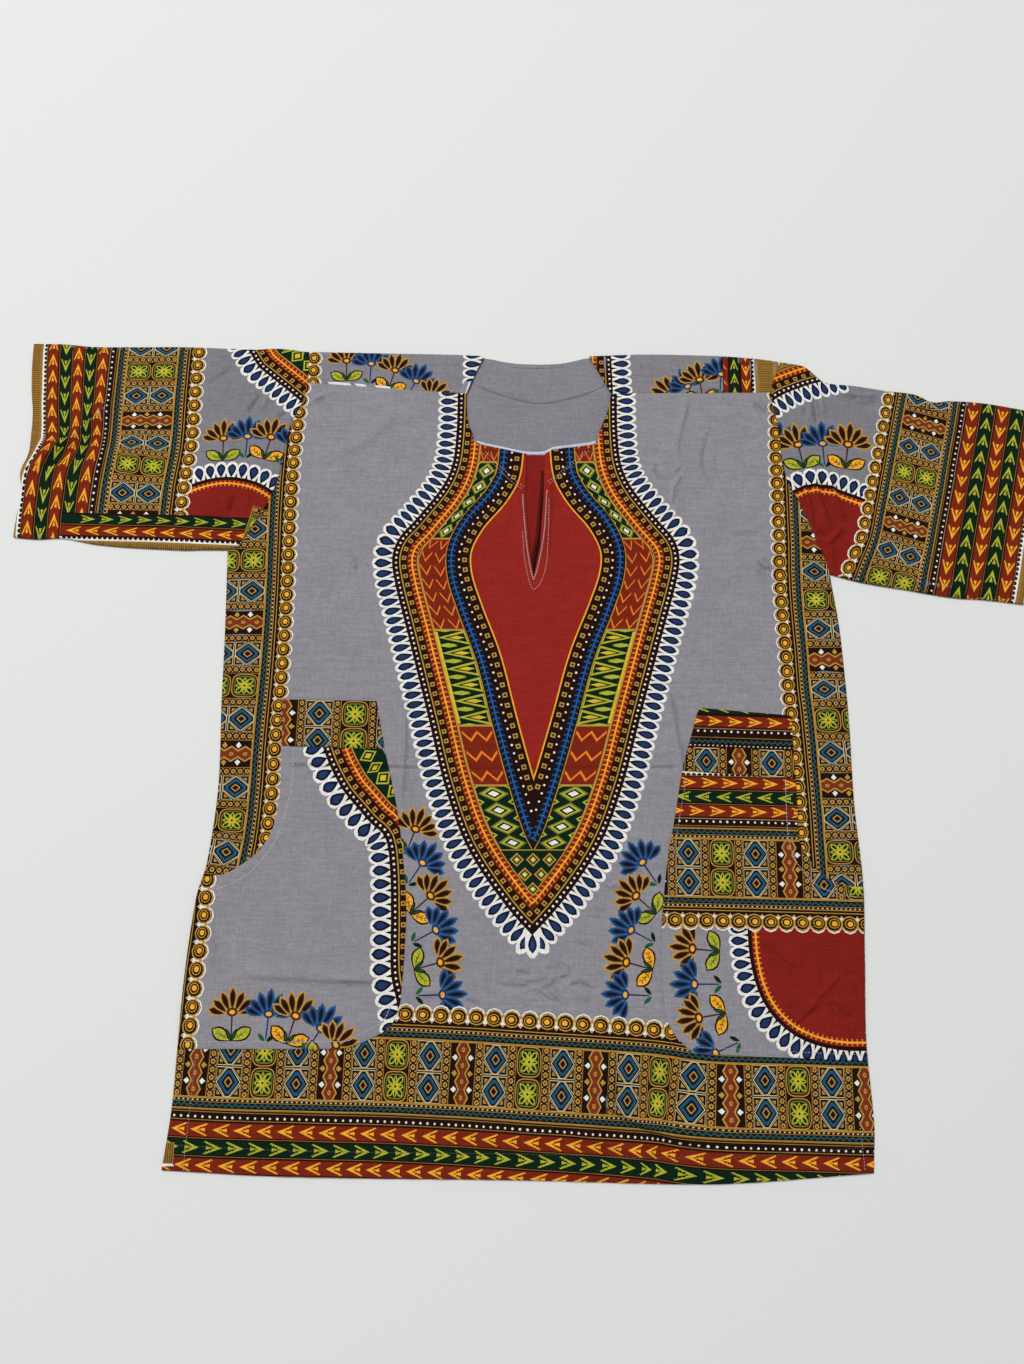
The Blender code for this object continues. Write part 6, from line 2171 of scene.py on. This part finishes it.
MARKS_POS = [
    Mark([(0.2922, 0.2181), (0.2975, 0.1915), (0.3030, 0.1696), (0.3082, 0.1576)], -1.6, 4.5, 4.5),
    Mark([(0.3034, 0.2169), (0.3111, 0.1827), (0.3167, 0.1630)], 1.9, 5, 5),
    Mark([(0.2765, 0.2136), (0.2814, 0.1805), (0.2846, 0.1544)], 1.7, 5, 4),
    Mark([(0.2815, 0.2114), (0.2853, 0.1783), (0.2880, 0.1587)], -1.0, 3.5, 3.5),
    Mark([(0.2867, 0.1555), (0.2974, 0.1490)], -1.3, 4, 5),
    Mark([(0.2947, 0.1403), (0.3024, 0.1479), (0.3145, 0.1609)], 1.4, 5, 5),
    Mark([(0.2988, 0.1403), (0.3028, 0.1136)], 1.2, 4, 4),
    Mark([(0.3064, 0.1350), (0.3127, 0.1254)], -0.9, 4, 4),
    Mark([(0.2945, 0.3079), (0.2965, 0.2917), (0.2972, 0.2734)], -1.7, 4, 4),
    Mark([(0.3017, 0.3056), (0.3032, 0.2837)], 1.1, 4, 5),
    Mark([(0.2862, 0.2940), (0.2844, 0.2837)], -0.7, 3, 3),
    Mark([(0.3206, 0.3207), (0.3294, 0.3114), (0.3448, 0.3079), (0.3648, 0.3091)], 1.2, 6, 4),
    Mark([(0.3216, 0.3056), (0.3339, 0.3033), (0.3413, 0.3033)], -0.9, 4, 4),
    Mark([(0.3426, 0.3195), (0.3474, 0.3137), (0.3522, 0.3091)], -0.9, 3, 3),
    Mark([(0.3297, 0.3021), (0.3458, 0.2952), (0.3651, 0.2998)], -1.4, 6, 6),
    Mark([(0.4136, 0.3044), (0.4246, 0.2883), (0.4385, 0.2814)], 1.6, 8, 7),
    Mark([(0.4603, 0.1414), (0.4574, 0.1158), (0.4540, 0.0946)], -1.0, 4, 4),
    Mark([(0.4306, 0.2248), (0.4353, 0.1915), (0.4287, 0.1479)], 1.2, 9, 8),
    Mark([(0.3472, 0.1020), (0.3969, 0.0990), (0.4658, 0.0900)], 1.2, 7, 6),
]
SLEEVES = {
    "sleeve_right": Sleeve(arm_neg, CUFF_NEG, STRAY_NEG, SLEEVE_FOLDS_NEG, -1,
                           creases_of(MARKS_NEG, 1.5), 21),
    "sleeve_left": Sleeve(arm_pos, CUFF_POS, STRAY_POS, SLEEVE_FOLDS_POS, 1,
                          creases_of(MARKS_POS, 1.9), 22),
}


# ============================================================ prints, laid into the cut
def cut_below(shapes, limit):
    """The part of each shape where y is under limit(x)."""
    out = []
    for loop, ink in shapes:
        f = loop[:, 1] - limit(loop[:, 0])
        if (f <= 0).all():
            out.append((loop, ink))
            continue
        if (f > 0).all():
            continue
        pts, exits = [], []
        for i in range(len(loop)):
            j = (i + 1) % len(loop)
            if f[i] <= 0:
                pts.append(loop[i])
            if (f[i] <= 0) != (f[j] <= 0):
                q = loop[i] + (loop[j] - loop[i]) * f[i] / (f[i] - f[j])
                if f[i] <= 0:
                    exits.append(len(pts))
                pts.append(np.array([q[0], float(limit(q[0]))]))
        # the cut edge follows the limit's own line
        for k in exits[::-1]:
            q, r = pts[k], pts[(k + 1) % len(pts)]
            x = np.linspace(q[0], r[0], int(abs(r[0] - q[0]) / 0.0025) + 2)[1:-1]
            pts[k + 1:k + 1] = list(np.column_stack([x, limit(x)]))
        if len(pts) > 2:
            out.append((np.array(pts), ink))
    return out


def turned(shapes, mapping):
    return [(mapping(loop)[::-1], ink) for loop, ink in shapes]


def lines_of(line, offsets, step=0.004):
    """Rows of points beside a line, for the mesh to follow an edge."""
    base = resampled(line, step)
    t = np.gradient(base, axis=0)
    t /= np.maximum(np.hypot(*t.T), 1e-9)[:, None]
    n = np.stack([-t[:, 1], t[:, 0]], 1)
    return np.vstack([base + n * d for d in offsets])


# ================================================================== cloth and thread
def cotton(name):
    """Plain-woven printed cotton: the print's inks, uneven yarn, a fine weave."""
    mat = bpy.data.materials.new(name)
    mat.use_nodes = True
    nodes, links = mat.node_tree.nodes, mat.node_tree.links
    bsdf = nodes["Principled BSDF"]
    bsdf.inputs["Roughness"].default_value = 0.92
    bsdf.inputs["Specular IOR Level"].default_value = 0.06
    bsdf.inputs["Sheen Weight"].default_value = 0.015
    bsdf.inputs["Sheen Roughness"].default_value = 0.50
    ink = nodes.new("ShaderNodeVertexColor")
    ink.layer_name = "print"
    where = nodes.new("ShaderNodeTexCoord")

    def noise(scale, size, detail, rough=0.5):
        m = nodes.new("ShaderNodeMapping")
        m.inputs["Scale"].default_value = scale
        links.new(where.outputs["Object"], m.inputs["Vector"])
        n = nodes.new("ShaderNodeTexNoise")
        n.inputs["Scale"].default_value = size
        n.inputs["Detail"].default_value = detail
        n.inputs["Roughness"].default_value = rough
        links.new(m.outputs["Vector"], n.inputs["Vector"])
        return n.outputs["Fac"]

    def ranged(source, low, high, a=0.3, b=0.7):
        m = nodes.new("ShaderNodeMapRange")
        m.inputs["From Min"].default_value = a
        m.inputs["From Max"].default_value = b
        m.inputs["To Min"].default_value = low
        m.inputs["To Max"].default_value = high
        links.new(source, m.inputs["Value"])
        return m.outputs["Result"]

    def math_node(op, a, b):
        m = nodes.new("ShaderNodeMath")
        m.operation = op
        links.new(a, m.inputs[0])
        links.new(b, m.inputs[1])
        return m.outputs[0]

    # yarns of uneven thickness run both ways; a few slubs are longer and paler
    warp = ranged(noise((1.0, 0.09, 1.0), 1500.0, 2.0), 0.90, 1.10)
    weft = ranged(noise((0.09, 1.0, 1.0), 1400.0, 2.0), 0.90, 1.10)
    slub = ranged(noise((0.10, 1.0, 1.0), 430.0, 2.0), 0.925, 1.075)
    slub_up = ranged(noise((1.0, 0.16, 1.0), 380.0, 2.0), 0.965, 1.035)
    cloud = ranged(noise((1, 1, 1), 24.0, 4.0, 0.6), 0.970, 1.030)
    fade = ranged(noise((1, 1, 1), 420.0, 3.0, 0.7), 0.930, 1.070)
    shade = math_node("MULTIPLY", math_node("MULTIPLY", warp, weft),
                      math_node("MULTIPLY", math_node("MULTIPLY", cloud, fade),
                                math_node("MULTIPLY", slub, slub_up)))
    tint = nodes.new("ShaderNodeVectorMath")
    tint.operation = "SCALE"
    links.new(ink.outputs["Color"], tint.inputs[0])
    links.new(shade, tint.inputs["Scale"])
    links.new(tint.outputs["Vector"], bsdf.inputs["Base Color"])
    bump = nodes.new("ShaderNodeBump")
    bump.inputs["Strength"].default_value = 0.30
    bump.inputs["Distance"].default_value = 0.00025
    links.new(math_node("ADD", noise((1.0, 0.12, 1.0), 1700.0, 1.0), noise((0.12, 1.0, 1.0), 1700.0, 1.0)),
              bump.inputs["Height"])
    links.new(bump.outputs["Normal"], bsdf.inputs["Normal"])
    links.new(ranged(noise((1, 1, 1), 420.0, 2.0), 0.86, 0.97), bsdf.inputs["Roughness"])
    return mat


def thread_material(name, colour):
    mat = bpy.data.materials.new(name)
    mat.use_nodes = True
    nodes, links = mat.node_tree.nodes, mat.node_tree.links
    bsdf = nodes["Principled BSDF"]
    bsdf.inputs["Specular IOR Level"].default_value = 0.3
    where = nodes.new("ShaderNodeTexCoord")
    n = nodes.new("ShaderNodeTexNoise")
    n.inputs["Scale"].default_value = 700.0
    links.new(where.outputs["Object"], n.inputs["Vector"])
    ramp = nodes.new("ShaderNodeValToRGB")
    dark = [c * 0.72 for c in colour]
    ramp.color_ramp.elements[0].color = (*dark, 1)
    ramp.color_ramp.elements[0].position = 0.30
    ramp.color_ramp.elements[1].color = (*colour, 1)
    ramp.color_ramp.elements[1].position = 0.62
    links.new(n.outputs["Fac"], ramp.inputs["Fac"])
    links.new(ramp.outputs["Color"], bsdf.inputs["Base Color"])
    rough = nodes.new("ShaderNodeMapRange")
    rough.inputs["To Min"].default_value = 0.55
    rough.inputs["To Max"].default_value = 0.75
    links.new(n.outputs["Fac"], rough.inputs["Value"])
    links.new(rough.outputs["Result"], bsdf.inputs["Roughness"])
    return mat


COTTON = cotton("printed_cotton_cloth")

# ========================================================================= the pieces
edge_rows = (0.0, 0.0006, -0.0006, 0.0012, -0.0012, 0.0024, -0.0024, 0.0042, -0.0042)
crease_points = [c.points() for c in FRONT_CREASES]
front_extra = [lines_of(l, edge_rows) for l in (sides_neg, sides_pos, hem, seam_neg, seam_pos,
                                                yoke_neg, yoke_pos, neck_edge)] + crease_points


def not_under(shapes, covers, margin=0.004):
    """Leaves out the shapes that a pocket hides wholly."""
    flat = np.vstack([loop for loop, _ in shapes])
    first = np.concatenate([[0], np.cumsum([len(loop) for loop, _ in shapes])[:-1]])
    hidden = np.zeros(len(shapes), bool)
    for cover in covers:
        line = np.vstack([cover, cover[:1]])
        free = ~in_loop(flat, cover) | (close_to(flat, line, margin) < margin)
        hidden |= ~np.logical_or.reduceat(free, first)
    return [shape for shape, gone in zip(shapes, hidden) if not gone]


COVERS = [POCKETS["pocket_right"][0], POCKETS["pocket_left"][0],
          BANDS["pocket_band_right"], BANDS["pocket_band_left"]]
cloth("front_cloth", "front_panel", front_loop, not_under(front_art().shapes, COVERS), front_place,
      cell=0.006, extra=front_extra, seed=3)

half = TURN / 2
back_shapes = cut_below(back_art().shapes, lambda x: level(x) + half)
for side in (-1, 1):
    strip = cut_below(strip_art(side).shapes, lambda x: level(x) + half)
    back_shapes += turned(strip, mirrored)
rows_x = [np.linspace(-0.233, -0.052, 60), np.linspace(0.064, 0.262, 64)]
arc_rows = [np.column_stack([x, level(x) + TURN * q]) for x in rows_x for q in np.linspace(0, 1, 9)]
seam_rows = [mirrored(lines_of(l, (0.0006, -0.0006, 0.0012, -0.0012, 0.0022, -0.0022)))
             for l in (seam_neg[seam_neg[:, 1] > 0.31], seam_pos[seam_pos[:, 1] > 0.31], yoke_neg, yoke_pos)]
cloth("back_cloth", "back_panel", back_loop, back_shapes, back_place, cell=0.010,
      extra=arc_rows + seam_rows, facing=-1, seed=4, back_cell=0.009)

for node, art, sleeve in (("sleeve_right", sleeve_art_neg(), SLEEVES["sleeve_right"]),
                          ("sleeve_left", sleeve_art_pos(), SLEEVES["sleeve_left"])):
    box_low = np.minimum(sleeve.arm.min(0), sleeve.cuff.min(0)) - 0.02
    box_high = np.maximum(sleeve.arm.max(0), sleeve.cuff.max(0)) + 0.02
    sleeve.FIELD = Field(box_low, box_high, 0.002, sleeve.rise)
    middle = sleeve.turn / 2
    upper = cut_below(art.shapes, lambda x: sleeve.top_y(x) + middle)
    shapes = upper + turned(upper, sleeve.under)
    x = np.linspace(sleeve.top[0, 0], sleeve.top[-1, 0], 90)
    rows = [np.column_stack([x, sleeve.top_y(x) + sleeve.turn * q]) for q in np.linspace(0, 1, 9)]
    rows += [np.column_stack([x, sleeve.bottom_y(x) - sleeve.quarter * q]) for q in (0.0, 0.33, 0.66)]
    rows += [sleeve.under(r) for r in rows[-3:]]
    for line in (sleeve.arm, sleeve.cuff):
        rows.append(lines_of(line, (0.0006, -0.0006, 0.0012, -0.0012, 0.0024, -0.0024)))
    # the sleeves take a darker grey ground than the front: painted shade for how the light falls on them
    cloth(node + "_cloth", node, sleeve.outline(), shapes, sleeve.place, cell=0.006,
          extra=rows + [c.points() for c in sleeve.creases], seed=5, slot="border_cotton",
          back_cell=0.008, ground="sleeve_ground_painted_shade")

for node, art, slot_name in (("pocket_right", pocket_neg_art(), "printed_cotton"),
                             ("pocket_left", pocket_pos_art(), "border_cotton")):
    loop, mouth, sewn = POCKETS[node]
    rows = [lines_of(l, (0.0006, -0.0006, 0.0012, -0.0012, 0.0024, -0.0024)) for l in (mouth, sewn)]
    cloth(node + "_cloth", node, loop, art.shapes, pocket_place(node), cell=0.005,
          extra=rows + crease_points, seed=6, slot=slot_name)

for node, art in (("pocket_band_right", band_neg_art()), ("pocket_band_left", band_pos_art())):
    loop = BANDS[node]
    rows = [lines_of(np.vstack([loop, loop[:1]]), (0.0006, -0.0006, 0.0012, -0.0012, 0.002, -0.002))]
    cloth(node + "_cloth", node, loop, art.shapes, band_place(node), cell=0.005,
          extra=rows, seed=7, slot="border_cotton")

# facings
nape_in = nape[nape[:, 1] < crest(nape[:, 0]) - 2 * SHOULDER_R] - [0, 0.0008]
arc = smooth_line(xy(FACING_ARC), 0.004)
back_facing_loop = thinned(np.vstack([arc, [[0.0800, 0.3330]], nape_in[::-1], [[-0.0640, 0.3340]]]), 0.0006)
rim_line = neck[(neck[:, 0] > -0.057) & (neck[:, 0] < 0.067) & (neck[:, 1] < 0.254)]
rim_up = rim_line + [0, 0.0034]
front_facing_loop = thinned(np.vstack([
    rim_up[::-1], [[rim_up[0, 0] - 0.001, rim_up[0, 1] - 0.010], [-0.0170, 0.2000], [-0.0150, 0.1500],
                   [-0.0075, 0.1020], [0.0015, 0.0900], [0.0115, 0.1020], [0.0200, 0.1500],
                   [0.0225, 0.2000], [rim_up[-1, 0] + 0.001, rim_up[-1, 1] - 0.010]]]), 0.0006)


def facing_place(p):
    return np.column_stack([p, np.full(len(p), 0.00135)])


slit_mid = np.array([(0.0040, 0.235), (0.0030, 0.190), (0.0026, 0.145), (0.0015, 0.108)])


def front_facing_place(p):
    away = distance_to(p, rim_line) * np.where(in_loop(p, np.vstack([rim_line, [[0.07, 0.2], [-0.06, 0.2]]])), -1, 1)
    u = np.clip(away / 0.0036, 0, 1)
    roll = np.where(away > 0, 0.0010 * np.sin(math.pi * np.clip(u * 1.15, 0, 1)) ** 0.8, 0.0)
    sunk = 0.0008 * (1 - smooth(distance_to(p, slit_mid) / 0.012)) * smooth((0.236 - p[:, 1]) / 0.03)
    return np.column_stack([p, 0.0023 + roll - sunk])


# the back facing's ground is the darker reverse ink, partly painted shade inside the neck opening
cloth("back_facing_cloth", "back_neck_facing", back_facing_loop, [], facing_place, cell=0.008,
      seed=8, thin=0.0004, ground="inside")
facing_art = Art(6)
facing_art.add([(-0.10, 0.05), (0.12, 0.05), (0.12, 0.30), (-0.10, 0.30)], "pale")
facing_art.add([(-0.10, 0.05), (0.12, 0.05), (0.12, 0.2405), (-0.10, 0.2405)], "crimson")
# painted shade: darker reds on the facing under the slit's +x edge and at its foot
facing_art.add([(0.0100, 0.2230), (0.0180, 0.2230), (0.0160, 0.1500), (0.0060, 0.0990), (-0.0010, 0.0990),
                (-0.0020, 0.1250), (0.0035, 0.1500), (0.0072, 0.1900)], "painted_slit_shade")
# a still darker painted shadow nearer the +x edge and the tip
facing_art.add([(0.0122, 0.2130), (0.0180, 0.2130), (0.0160, 0.1500), (0.0060, 0.0990), (-0.0002, 0.0990),
                (0.0008, 0.1250), (0.0062, 0.1500), (0.0098, 0.1900)], "painted_slit_shadow")
cloth("front_facing_cloth", "front_neck_facing", front_facing_loop, facing_art.shapes,
      front_facing_place, cell=0.003, extra=[lines_of(rim_line, (0.0, 0.0012, 0.0024))], seed=9)

# --------------------------------------------------------------------------- stitches
white_thread, navy_thread, grey_thread, pale_thread = Thread(), Thread(), Thread(), Thread()
right_edge = [(0.0160, 0.2000), (0.0150, 0.1920), (0.0130, 0.1600), (0.0102, 0.1391), (0.0052, 0.1150), (0.0015, 0.1040)]
left_edge = [(-0.0090, 0.1960), (-0.0083, 0.1800), (-0.0052, 0.1420), (-0.0018, 0.1180), (0.0015, 0.1040)]
dense = dict(pitch=0.0016, length=0.0015, width=0.0015, height=0.0004)
for k, line in enumerate((right_edge, left_edge)):
    white_thread.sew(smooth_line(line, 0.003), front_place, seed=k, **dense)
outer_v = [(-0.0092, 0.1560), (-0.0070, 0.1240), (0.0012, 0.0935), (0.0128, 0.1130), (0.0166, 0.1500),
           (0.0176, 0.1920)]
white_thread.sew(smooth_line(outer_v, 0.003), front_place, width=0.0008, length=0.0023, seed=3)
for k, line in enumerate(([(-0.0520, 0.2440), (-0.0180, 0.2080), (-0.0085, 0.2010)],
                          [(-0.0480, 0.2440), (-0.0150, 0.2100), (-0.0075, 0.2040)],
                          [(0.0600, 0.2450), (0.0330, 0.2210), (0.0175, 0.2060)],
                          [(0.0560, 0.2450), (0.0300, 0.2210), (0.0165, 0.2090)])):
    white_thread.sew(smooth_line(line, 0.003), front_place, width=0.0007, pitch=0.0030, length=0.0023,
                     seed=5 + k)
pr, pl = pocket_place("pocket_right"), pocket_place("pocket_left")
pale_thread.sew(smooth_line([(-0.2290, -0.0655), (-0.2279, -0.0876), (-0.2298, -0.1115), (-0.2343, -0.1342),
                              (-0.2408, -0.1530), (-0.2537, -0.1734), (-0.2696, -0.1881),
                              (-0.2894, -0.1972), (-0.3060, -0.2000)], 0.003), pr, width=0.0011, length=0.0026, seed=10)
pale_thread.sew(smooth_line([(0.2392, -0.0980), (0.2385, -0.1267), (0.2388, -0.1511), (0.2450, -0.1740),
                              (0.2620, -0.1950), (0.2840, -0.2030), (0.3000, -0.2060)], 0.003), pl,
                 width=0.0008, length=0.0024, seed=11)
pale_thread.sew(smooth_line([(-0.3130, -0.3322), (-0.1800, -0.3322), (-0.1610, -0.3280), (-0.1370, -0.3160),
                             (-0.1290, -0.3010)], 0.003), pr, width=0.0009, length=0.0025, seed=12)
pale_thread.sew([(0.1460, -0.3370), (0.2930, -0.3435)], pl, width=0.0006, seed=13)
pale_thread.sew(smooth_line([(0.1460, -0.0930), (0.1340, -0.1500), (0.1240, -0.2100), (0.1215, -0.2812),
                              (0.1228, -0.3060)], 0.003), pl, width=0.0006, seed=14)
pale_thread.sew([(-0.3020, -0.3420), (-0.3060, -0.4400)], front_place, width=0.0005, seed=15)
pale_thread.sew([(0.2850, -0.3900), (0.2870, -0.4390)], front_place, width=0.0005, seed=16)
hem_in = np.column_stack([np.linspace(-0.318, 0.290, 90), along(HEM, np.linspace(-0.318, 0.290, 90), "x", "y") + 0.0215])
grey_thread.sew(hem_in, front_place, width=0.0004, seed=17)
arc_in = arc + [0, 0.0012]
grey_thread.sew(arc_in[3:-3], facing_place, width=0.0004, pitch=0.0026, length=0.0020, seed=20)
nape_stitch = nape_in[4:-4] - [0, 0.0042]
navy_thread.sew(nape_stitch, facing_place, width=0.0005, seed=21)
for thread, name, colour in ((white_thread, "stitches_white", (214, 186, 182)),
                             (navy_thread, "stitches_navy", (44, 52, 88)),
                             (grey_thread, "stitches_grey", (132, 126, 112)),
                             (pale_thread, "stitches_pale", (204, 202, 206))):
    thread.build(name, thread_material(name + "_thread", srgb(colour)))

# --------------------------------------------------------------------------- the stage
floor_mesh = bpy.data.meshes.new("floor")
w = 6.0
floor_mesh.from_pydata([(-w, -w, -0.0001), (w, -w, -0.0001), (w, w, -0.0001), (-w, w, -0.0001)], [],
                       [(0, 1, 2, 3)])
floor = bpy.data.objects.new("floor", floor_mesh)
bpy.context.scene.collection.objects.link(floor)
fmat = bpy.data.materials.new("floor_paper")
fmat.use_nodes = True
fb = fmat.node_tree.nodes["Principled BSDF"]
fb.inputs["Base Color"].default_value = (0.765, 0.775, 0.765, 1)
fb.inputs["Roughness"].default_value = 0.75
fb.inputs["Specular IOR Level"].default_value = 0.15
floor_mesh.materials.append(fmat)


def area_light(name, at, look, size, power, colour=(1, 1, 1)):
    light = bpy.data.lights.new(name, "AREA")
    light.shape = "RECTANGLE"
    light.size, light.size_y = size
    light.energy = power
    light.color = colour
    obj = bpy.data.objects.new(name, light)
    bpy.context.scene.collection.objects.link(obj)
    obj.location = at
    obj.rotation_euler = (Vector(look) - Vector(at)).to_track_quat("-Z", "Y").to_euler()
    return obj


area_light("window", (-2.70, 3.20, 6.4), (0.0, 0.0, 0.0), (3.6, 3.0), 430.0, (1.0, 0.99, 0.97))
world = bpy.context.scene.world or bpy.data.worlds.new("world")
bpy.context.scene.world = world
world.use_nodes = True
world.node_tree.nodes["Background"].inputs["Color"].default_value = (0.96, 0.98, 1.0, 1)
world.node_tree.nodes["Background"].inputs["Strength"].default_value = 0.40
bpy.context.scene.view_settings.view_transform = "Standard"

cam_data = bpy.data.cameras.new("camera")
cam_data.sensor_width = 36
cam_data.lens = 27.05
cam = bpy.data.objects.new("camera", cam_data)
bpy.context.scene.collection.objects.link(cam)
cam.location = (-0.0249, -0.2018, 0.9703)
cam.rotation_euler = (Vector((-0.0249, 0.04006, 0.0)) - cam.location).to_track_quat("-Z", "Y").to_euler()
bpy.context.scene.camera = cam
